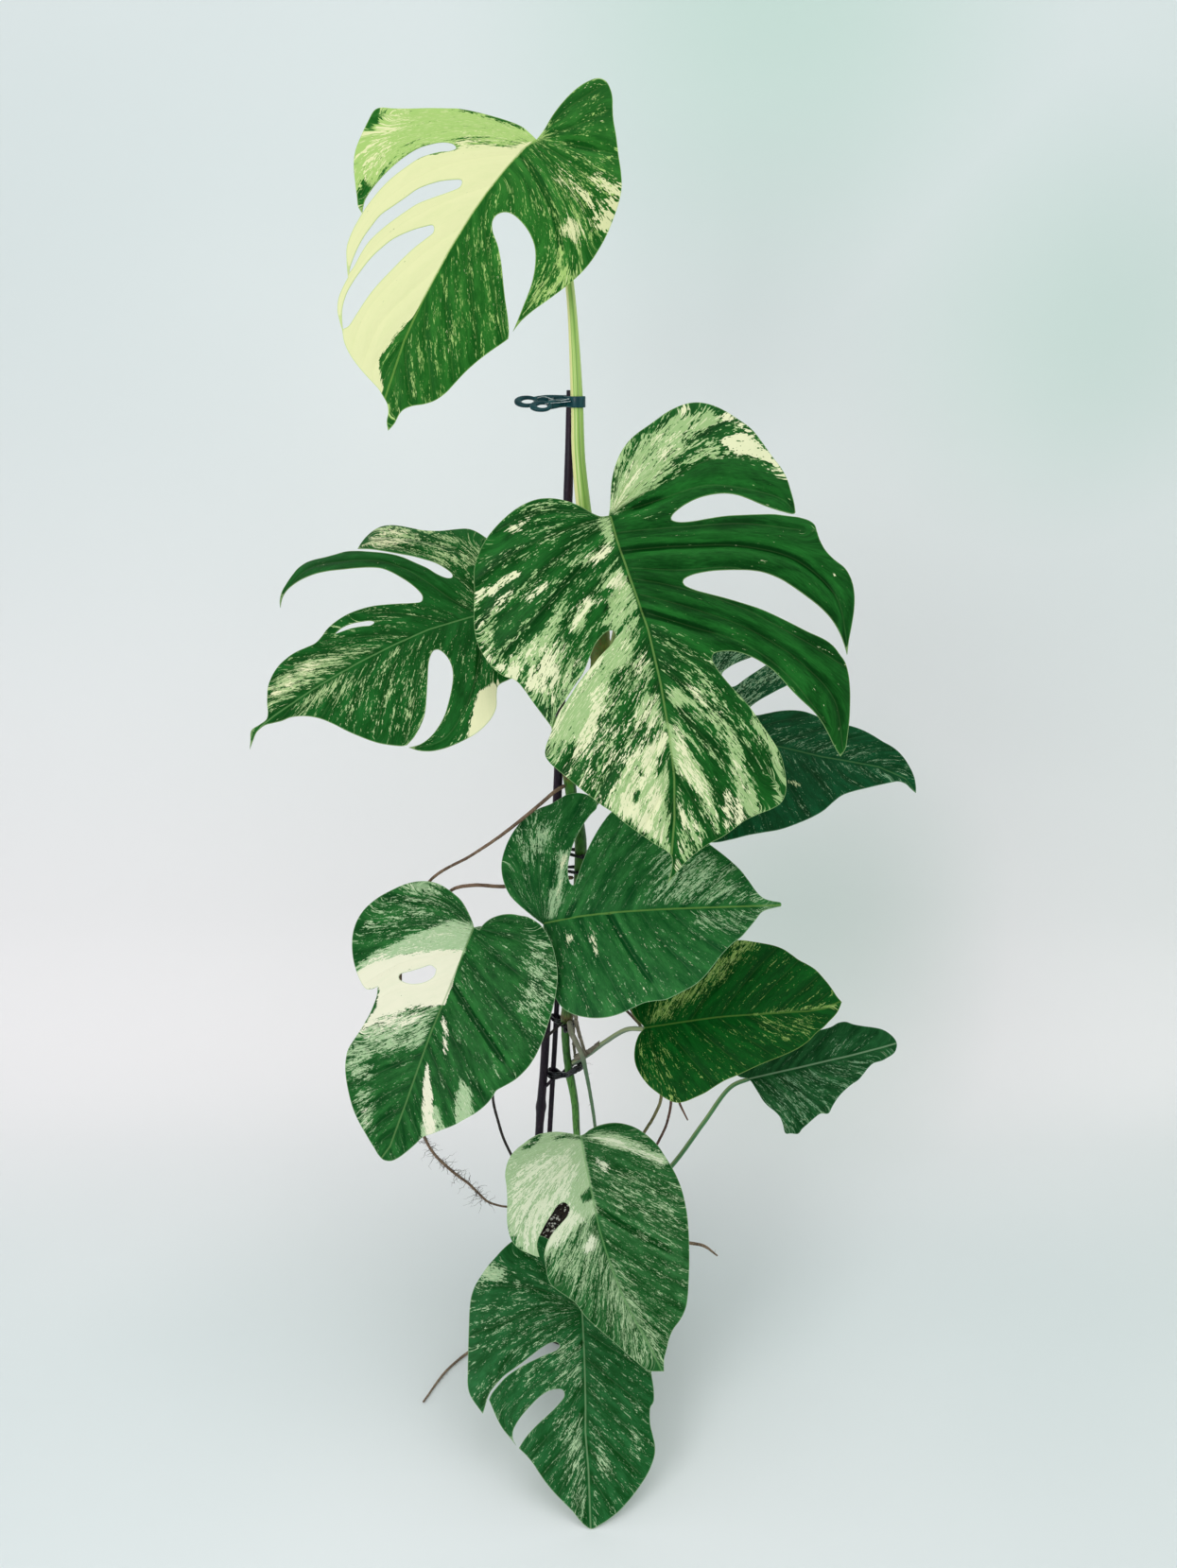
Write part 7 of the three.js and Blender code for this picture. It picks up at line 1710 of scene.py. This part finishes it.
clip = {
    "height": 903,
    "jawTall": 8.4,
    "jawWall": 1.4,
    "jawEase": 0.35,
    "jawStep": 9,  # degrees
    "arms": {
        "clip_jaw_back": {"side": 1, "tall": 6.4, "wide": 3.8, "course": [
            (-1.5, 15.4, 904.4), (-6, 15, 904.4), (-12, 13.8, 904.6), (-18, 12.2, 904.6),
            (-24, 10.4, 904.0), (-27.5, 9.0, 903.4)],
            "ring": {"centre": (-34, 7, 903), "length": 9.2, "width": 6.6}},
        "clip_jaw_front": {"side": -1, "tall": 6.6, "wide": 3.8, "course": [
            (-3.4, 6.6, 902.2), (-7, 5.0, 902.0), (-10.5, 1.0, 901.4), (-13.5, -2.2, 901.0),
            (-16.5, -3.6, 900.6)],
            "ring": {"centre": (-22, -6, 900), "length": 8.6, "width": 6.0}},
    },
    "ringTall": 3.0,
    "ringRim": 2.1,
    "ringFar": 3.4,  # how much wider the rim is at its far end
    "ringTilt": 33,  # degrees
    "ringStep": 10,  # degrees
    "cornerShare": 0.42,
    "sharp": 50,
    "spring": {"centre": (-14.6, 8.4, 903), "coil": 1.9, "wire": 0.38, "turns": 4, "tall": 5,
               "turnPoints": 16, "sides": 10},
    "legs": [
        [(-25, 6, 905.6), (-21, 4.5, 906.8), (-17, 3.0, 906.2), (-12, 1.0, 904.4), (-7, -1.5, 904.2),
         (0, -4.2, 905.4)],
        [(-18.5, -5.6, 901.6), (-14, -4.6, 902.2), (-8, -3.0, 902.6), (1, -4.6, 903.6)],
    ],
    "tones": ("#03343a", "#0a464c"),
    "rubbed": "#4f8a88",
    "rubbedShare": 0.35,
    "roughness": 0.38,
    "specular": 0.25,
    "steel": ("#a9b3b4", "#7c8688"),
    "steelRoughness": 0.28,
}


def loft(build, rows, closed):
    # joins rows of points into a skin, with flat ends where it is open
    made = [[build.verts.new(Vector(p) * mm) for p in row] for row in rows]
    count = len(made[0])
    pairs = list(zip(made, made[1:])) + ([(made[-1], made[0])] if closed else [])
    for a, b in pairs:
        for i in range(count):
            build.faces.new((a[i], a[(i + 1) % count], b[(i + 1) % count], b[i]))
    if not closed:
        build.faces.new(made[0])
        build.faces.new(made[-1][::-1])


def roundedProfile(wide, tall, steps=3):
    # a rectangle's corners rounded off
    corner = clip["cornerShare"] * min(wide, tall)
    points = []
    for turn, (sx, sy) in enumerate(((1, 1), (-1, 1), (-1, -1), (1, -1))):
        for i in range(steps + 1):
            angle = math.pi / 2 * (turn + i / steps)
            points.append((sx * (wide / 2 - corner) + corner * math.cos(angle),
                           sy * (tall / 2 - corner) + corner * math.sin(angle)))
    return points


def stripRows(line, wide, tall):
    ways = np.gradient(np.array(line, float), axis=0)
    rows = []
    for place, way in zip(line, ways):
        aside = np.array([way[1], -way[0], 0]) / math.hypot(way[0], way[1])
        rows.append([np.array(place) + aside * a + (0, 0, b) for a, b in roundedProfile(wide, tall)])
    return rows


def ringRows(ring):
    # the rim is widest at the end away from the arm
    tilt = math.radians(clip["ringTilt"])
    across = np.array([0, math.cos(tilt), math.sin(tilt)])
    out = np.array([0, -math.sin(tilt), math.cos(tilt)])
    level = np.array([1.0, 0, 0])
    rows = []
    for angle in np.radians(np.arange(0, 360, clip["ringStep"])):
        rim = clip["ringRim"] + clip["ringFar"] * (0.5 - 0.5 * math.cos(angle)) ** 2
        place = (np.array(ring["centre"]) + level * (ring["length"] - rim / 2) * math.cos(angle)
                 + across * (ring["width"] - rim / 2) * math.sin(angle))
        way = level * math.cos(angle) + across * math.sin(angle)
        rows.append([place + way * a + out * b for a, b in roundedProfile(rim, clip["ringTall"])])
    return rows


def jawLine(side, stake, stalk):
    # half way round both, on the side that is asked for
    along = (stalk - stake)[:2]
    along /= np.linalg.norm(along)
    aside = np.array([-along[1], along[0]]) * side
    line = []
    for angle in np.radians(np.arange(180, -1, -clip["jawStep"])):
        way = along * math.cos(angle) + aside * math.sin(angle)
        held = stake if math.cos(angle) < 0 else stalk
        reach = held[3] + clip["jawEase"] + clip["jawWall"] / 2
        x, y = held[:2] + way * reach + aside * clip["jawEase"] / 2
        line.append((x, y, clip["height"]))
    return line


def clipMaterial():
    material, tree = newMaterial("clipPlastic", Roughness=clip["roughness"],
                                 Specular_IOR_Level=clip["specular"])
    place = objectPlace(tree)
    cloud = drawn(place, (160, 160, 160), 2.0, 0.3)
    tone = blend(ramp(cloud, -0.2, 0.2), *clip["tones"])
    # paler along the sharpest edges
    rubbed = ramp(put(tree, "ShaderNodeNewGeometry", out="Pointiness"), 0.53, 0.62)
    tone = blend(rubbed * clip["rubbedShare"], tone, clip["rubbed"])
    rough = cloud * 0.5 + clip["roughness"]
    return dress(material, tone, rough, drawn(place, (1400, 1400, 1400)), 0.25, 0.0001)


def steelMaterial():
    material, tree = newMaterial("springSteel", Metallic=1.0, Roughness=clip["steelRoughness"])
    scuff = drawn(objectPlace(tree), (700, 700, 2500))
    tone = blend(ramp(scuff, -0.2, 0.25), *clip["steel"])
    return dress(material, tone, scuff * 0.4 + clip["steelRoughness"])


clipPlastic = clipMaterial()
held = [courseAt(stakeCourses["stake_tall"], clip["height"])[0],
        courseAt(petioles["petiole_1"]["course"], clip["height"])[0]]
for name, arm in clip["arms"].items():
    build = bmesh.new()
    loft(build, stripRows(jawLine(arm["side"], *held), clip["jawWall"], clip["jawTall"]), False)
    course = courseLine([(*p, 1) for p in arm["course"]])[:, :3]
    loft(build, stripRows(course, arm["wide"], arm["tall"]), False)
    loft(build, ringRows(arm["ring"]), True)
    newPiece(name.replace("clip_", "moulded_"), builtMesh(name, build, clip["sharp"]), clipPlastic,
             "clip_teal", name)

steel = steelMaterial()
spring = clip["spring"]
turn = np.linspace(0, 2 * math.pi * spring["turns"], spring["turnPoints"] * spring["turns"])
coil = np.stack([spring["centre"][0] + spring["coil"] * np.cos(turn),
                 spring["centre"][1] + spring["coil"] * np.sin(turn),
                 spring["centre"][2] + spring["tall"] * (turn / turn[-1] - 0.5),
                 np.full(len(turn), spring["wire"])], axis=1)
lines = [(domed(coil), False)]
lines += [(domed(courseLine([(*p, spring["wire"]) for p in leg])), False) for leg in clip["legs"]]
newPiece("springWire", tubeMesh("springWire", lines, spring["sides"], steel), steel, "spring_steel",
         "clip_spring")
print("clip made")

# Dried sheaths: thin curved sheets that half wrap a stalk

sheaths = {
    "greenSheath": {"slot": "petiole_green", "tones": ("#7f8f3c", "#5f7a35", "#8a5a30"), "pieces": [
        {"course": [(23, -7, 684, 7.4), (25, -8, 704, 7.9), (24.5, -8, 722, 7.6), (22, -7.5, 745, 6.9)],
         "from": -115, "to": 70}]},
    "driedSheath": {"slot": "root_brown", "tones": ("#a79e8c", "#7f7464", "#4f3a2a"), "pieces": [
        {"course": [(-4, -2, 368, 6.6), (2, -10, 345, 4.4), (10, -13, 320, 3.2)], "from": 35, "to": 95},
        {"course": [(5, -4, 312, 4.2), (15, -10, 321, 3.5), (27, -18, 336, 3.1)], "from": 20, "to": 150},
        {"course": [(9, -50, 250, 4.0), (10, -56, 262, 4.6)], "from": -70, "to": 120}]},
    "stemSheath": {"slot": "root_brown", "tones": ("#8f8c74", "#75745c", "#5a4a38"), "pieces": [
        {"course": [(-2, 0, 304, 5.6), (-5, 0, 328, 6.2), (-5, 0, 352, 6.9)], "from": -88, "to": -52}]},
}


sheathForm = {
    "across": 17,
    "half": 0.22,
    "narrowing": 0.35,
    "ragged": (8, 5),  # degrees, a slow and a quick part
    "wave": 0.35,
    "edgeLift": 0.7,
    "sharp": 60,
}


def sheathRows(piece, seed):
    line = courseLine(piece["course"])
    ways = np.gradient(line[:, :3], axis=0)
    ways /= np.linalg.norm(ways, axis=1)[:, None]
    middle, half = (piece["from"] + piece["to"]) / 2, (piece["to"] - piece["from"]) / 2
    slow, quick = sheathForm["ragged"]
    rows = []
    for i, (place, way) in enumerate(zip(line, ways)):
        front = np.array([0, -1.0, 0]) + way * way[1]
        front /= np.linalg.norm(front)
        side = np.cross(front, way)
        opening = half * (1 - sheathForm["narrowing"] * (i / (len(line) - 1)) ** 3)
        ragged = slow * math.sin(3.1 * i + seed) + quick * math.sin(7.3 * i + 2 * seed)
        row = []
        # out along the outer face, back along the inner one
        for thick, turn in ((sheathForm["half"], 1), (-sheathForm["half"], -1)):
            for share in np.linspace(-turn, turn, sheathForm["across"]):
                edge = abs(share) == 1
                angle = math.radians(middle + (opening + ragged * edge) * share)
                lift = sheathForm["wave"] * math.sin(5 * angle + seed) + sheathForm["edgeLift"] * edge
                outward = front * math.cos(angle) + side * math.sin(angle)
                row.append(place[:3] + outward * (place[3] + thick + lift))
        rows.append(row)
    return rows


for seed, (name, sheath) in enumerate(sheaths.items()):
    build = bmesh.new()
    for k, piece in enumerate(sheath["pieces"]):
        loft(build, sheathRows(piece, 1.7 * k + seed), False)
    newPiece(name, builtMesh(name, build, sheathForm["sharp"]), rootMaterial(f"{name}Skin", sheath["tones"]),
             sheath["slot"])
print("sheaths made")

# The pot and its soil

pot = {
    "height": 108,
    "rimRadius": 60,
    "baseRadius": 43,
    "wall": 1.6,
    "floor": 2.5,
    "lipWidth": 2.4,
    "lipHeight": 9,
    "rounding": 0.8,
    "segments": 120,
    "drains": 4,
    "drainWidth": 12,
    "drainHeight": 6,
    "drainTurn": 0.08,  # of the angle from one drain to the next
    "drainBevel": 1.2,
    "footWide": 6,  # the base is raised a little inside this ring
    "footTall": 0.6,
    "sharp": 32,
    "tones": ("#121315", "#212326"),
    "scratch": "#55585c",
    "scratchShare": 0.4,
    "dust": "#5a5046",
    "dustShare": 0.5,
    "splash": "#4a3a2c",
    "splashShare": 0.7,
    "roughness": 0.46,
}
soil = {
    "level": 97,
    "crown": 2.5,
    "bump": 1.1,
    "rings": 40,
    "segments": 120,
    "crumbs": 2600,
    "crumbSize": (0.5, 1.9),
    "perlite": 300,
    "perliteSize": (0.9, 2.6),
    "rough": 0.5,
    "sunk": 0.2,
    "seed": 7,
    "tones": ("#17100d", "#2b2019"),
    "fine": "#5c4733",
    "fineShare": 0.7,
    "roughness": 0.88,
    "perliteTones": ("#e9e7e0", "#b9b3a5"),
    "pits": "#857a68",
    "pitShare": 0.35,
    "perliteRoughness": 0.85,
}


def potInside(height):
    slope = (pot["rimRadius"] - pot["lipWidth"] - pot["baseRadius"]) / pot["height"]
    return pot["baseRadius"] + slope * height - pot["wall"]


def latheMesh(name, profile, segments):
    # profile: (radius, height) from the axis round to the axis again
    places = [(0, 0, profile[0][1])]
    faces = []
    turns = np.arange(segments) * 2 * math.pi / segments
    for radius, height in profile[1:-1]:
        places += [(radius * math.cos(t), radius * math.sin(t), height) for t in turns]
    places.append((0, 0, profile[-1][1]))
    last = len(places) - 1
    for i in range(segments):
        j = (i + 1) % segments
        faces.append((0, 1 + j, 1 + i))
        for row in range(len(profile) - 3):
            low, high = 1 + row * segments, 1 + (row + 1) * segments
            faces.append((low + i, low + j, high + j, high + i))
        faces.append((last, last - segments + i, last - segments + j))
    return newMesh(name, places, [], faces)


def roundOff(points, radius, steps=3):
    # cuts each inner corner of a profile with a small arc
    line = [np.array(points[0], float)]
    for before, here, after in zip(points, points[1:], points[2:]):
        before, here, after = (np.array(p, float) for p in (before, here, after))
        reach = min(radius, np.linalg.norm(before - here) / 2, np.linalg.norm(after - here) / 2)
        a = here + (before - here) / np.linalg.norm(before - here) * reach
        b = here + (after - here) / np.linalg.norm(after - here) * reach
        for i in range(steps + 1):
            t = i / steps
            line.append(a * (1 - t) ** 2 + here * 2 * t * (1 - t) + b * t * t)
    line.append(np.array(points[-1], float))
    return line


def potMesh():
    wallTop = pot["height"] - pot["lipHeight"]
    foot = pot["baseRadius"] - pot["footWide"]
    profile = [(0, pot["footTall"]), (foot, pot["footTall"]), (foot + 1, 0), (pot["baseRadius"], 0),
               (potInside(wallTop) + pot["wall"], wallTop), (pot["rimRadius"], wallTop),
               (pot["rimRadius"], pot["height"]), (potInside(pot["height"]), pot["height"]),
               (potInside(pot["floor"]), pot["floor"]), (0, pot["floor"])]
    mesh = latheMesh("nurseryPot", roundOff(profile, pot["rounding"]), pot["segments"])
    holder = bpy.data.objects.new("nurseryPot", mesh)
    collection.objects.link(holder)
    build = bmesh.new()
    for i in range(pot["drains"]):
        turn = Matrix.Rotation(2 * math.pi * (i + pot["drainTurn"]) / pot["drains"], 4, "Z")
        tall = 2 * pot["drainHeight"] * mm
        size = Matrix.Diagonal((tall, pot["drainWidth"] * mm, tall, 1))
        shape = turn @ Matrix.Translation((pot["baseRadius"] * mm, 0, 0)) @ size
        cube = bmesh.ops.create_cube(build, size=1, matrix=shape)
        edges = list({e for v in cube["verts"] for e in v.link_edges})
        bmesh.ops.bevel(build, geom=edges, offset=pot["drainBevel"] * mm, segments=2, affect="EDGES",
                        profile=0.5)
    cutterMesh = bpy.data.meshes.new("drainCutter")
    build.to_mesh(cutterMesh)
    build.free()
    cutter = bpy.data.objects.new("drainCutter", cutterMesh)
    collection.objects.link(cutter)
    cut = holder.modifiers.new("drains", "BOOLEAN")
    cut.operation = "DIFFERENCE"
    cut.solver = "EXACT"
    cut.object = cutter
    made = bpy.data.meshes.new_from_object(holder.evaluated_get(bpy.context.evaluated_depsgraph_get()))
    bpy.data.objects.remove(holder)
    bpy.data.objects.remove(cutter)
    return smoothed(made, pot["sharp"])


def potMaterial():
    material, tree = newMaterial("potPlastic", Roughness=0.45)
    place = objectPlace(tree)
    height = place.split()[2]
    cloud = drawn(place, (30, 30, 30), 3.0, 0.3)
    scratch = drawn(place, (50, 50, 900))
    dust = ramp(height, 0.03, 0.0) * ramp(cloud, -0.15, 0.2)
    splash = ramp(drawn(place, (320, 320, 320), 3.0), 0.17, 0.22) * ramp(height, 0.09, 0.108)
    tone = blend(ramp(cloud, -0.2, 0.25), *pot["tones"])
    tone = blend(ramp(scratch, 0.14, 0.24) * pot["scratchShare"], tone, pot["scratch"])
    tone = blend(dust * pot["dustShare"], tone, pot["dust"])
    tone = blend(splash * pot["splashShare"], tone, pot["splash"])
    grain = drawn(place, (1500, 1500, 1500)) + scratch * 0.6
    rough = cloud * 0.45 + pot["roughness"] + dust * 0.3
    return dress(material, tone, rough, grain, 0.3, 0.0002)


def soilMesh():
    foot = pot["floor"] + tube["clearance"]
    reach = potInside(soil["level"]) - tube["clearance"]
    profile = [(0, foot), (potInside(foot) - tube["clearance"], foot)]
    for ring in range(soil["rings"], -1, -1):
        share = ring / soil["rings"]
        profile.append((share * reach, soil["level"] + soil["crown"] * (1 - share ** 2)))
    mesh = latheMesh("soilBody", profile, soil["segments"])
    for vertex in mesh.vertices:
        inside = math.hypot(vertex.co.x, vertex.co.y) < (reach - 0.5) * mm
        if inside and vertex.co.z > (soil["level"] - 1) * mm:
            vertex.co.z += soil["bump"] * mm * (noise.fractal(vertex.co * 260, 1.0, 2.0, 4) + 0.2)
    return smoothed(mesh)


def makeScatter():
    tree, given = newTree("grainsOnTop", "GeometryNodeTree", {
        "Geometry": "Geometry", "Density": 1000.0, "Smallest": 0.001, "Largest": 0.002,
        "Roundness": 1, "Rough": 0.3, "Sunk": 0.0, "Seed": 1, "Finish": "Material"})
    upward = put(tree, "GeometryNodeInputNormal").split()[2].math("GREATER_THAN", 0.2)
    top = put(tree, "GeometryNodeSeparateGeometry", {0: given["Geometry"], 1: upward}, domain="FACE")
    spots = put(tree, "GeometryNodeDistributePointsOnFaces", {
        0: top, "Density": given["Density"], "Seed": given["Seed"]}, distribute_method="RANDOM")
    grain = put(tree, "GeometryNodeMeshIcoSphere", {"Radius": 1.0, "Subdivisions": given["Roundness"]})
    size = put(tree, "ShaderNodeMapRange", {0: anyShare(tree, given["Seed"], 2.2), 1: 0.0, 2: 1.0,
                                            3: given["Smallest"], 4: given["Largest"]})
    squash = anyVector(tree, given["Seed"], (0.55, 0.6, 0.45), (1.0, 1.0, 0.9))
    sunk = pushed(spots, put(tree, "ShaderNodeCombineXYZ", {2: given["Sunk"]}))
    grains = put(tree, "GeometryNodeInstanceOnPoints", {
        0: sunk, "Instance": grain, "Rotation": anyVector(tree, given["Seed"]), "Scale": squash.scaled(size)})
    real = put(tree, "GeometryNodeRealizeInstances", {0: grains})
    bumpy = jittered(real, 900.0, (0.5, 0.5, 0.5), given["Rough"] * given["Largest"])
    return finishGeometry(bumpy, given["Finish"])


def soilMaterial():
    material, tree = newMaterial("pottingSoil", Roughness=0.95)
    place = objectPlace(tree)
    broad = drawn(place, (70, 70, 70), 3.0, 0.4)
    fine = drawn(place, (800, 800, 800), 3.0)
    tone = blend(ramp(broad, -0.2, 0.2), *soil["tones"])
    tone = blend(ramp(fine, 0.02, 0.2) * soil["fineShare"], tone, soil["fine"])
    return dress(material, tone, broad * 0.3 + soil["roughness"], fine, 0.8, 0.0008)


def perliteMaterial():
    material, tree = newMaterial("perliteGrain", Roughness=0.85)
    place = objectPlace(tree)
    pits = put(tree, "ShaderNodeTexVoronoi", {"Vector": place, "Scale": 1500.0})
    cloud = drawn(place, (400, 400, 400))
    tone = blend(ramp(cloud, -0.2, 0.2), *soil["perliteTones"])
    tone = blend(ramp(pits, 0.25, 0.05) * soil["pitShare"], tone, soil["pits"])
    return dress(material, tone, cloud * 0.3 + soil["perliteRoughness"], pits, 0.6, 0.0004)


newPiece("nurseryPot", potMesh(), potMaterial(), "pot_plastic", "pot")
grainsOnTop = makeScatter()
earth = soilMaterial()
perlite = perliteMaterial()
ground = soilMesh()
soilArea = math.pi * (potInside(soil["level"]) * mm) ** 2
for name, count, size, roundness, finish, shift in (
        ("crumbs", soil["crumbs"], soil["crumbSize"], 1, earth, 0),
        ("perlite", soil["perlite"], soil["perliteSize"], 2, perlite, 1)):
    mesh = grown(ground.copy(), grainsOnTop, Density=count / soilArea, Smallest=size[0] * mm,
                 Largest=size[1] * mm, Roundness=roundness, Rough=soil["rough"],
                 Sunk=soil["sunk"] * mm, Seed=soil["seed"] + shift, Finish=finish)
    newPiece(name, mesh, finish, "potting_soil")
newPiece("soilBody", ground, earth, "potting_soil", "soil")
print("pot and soil made")
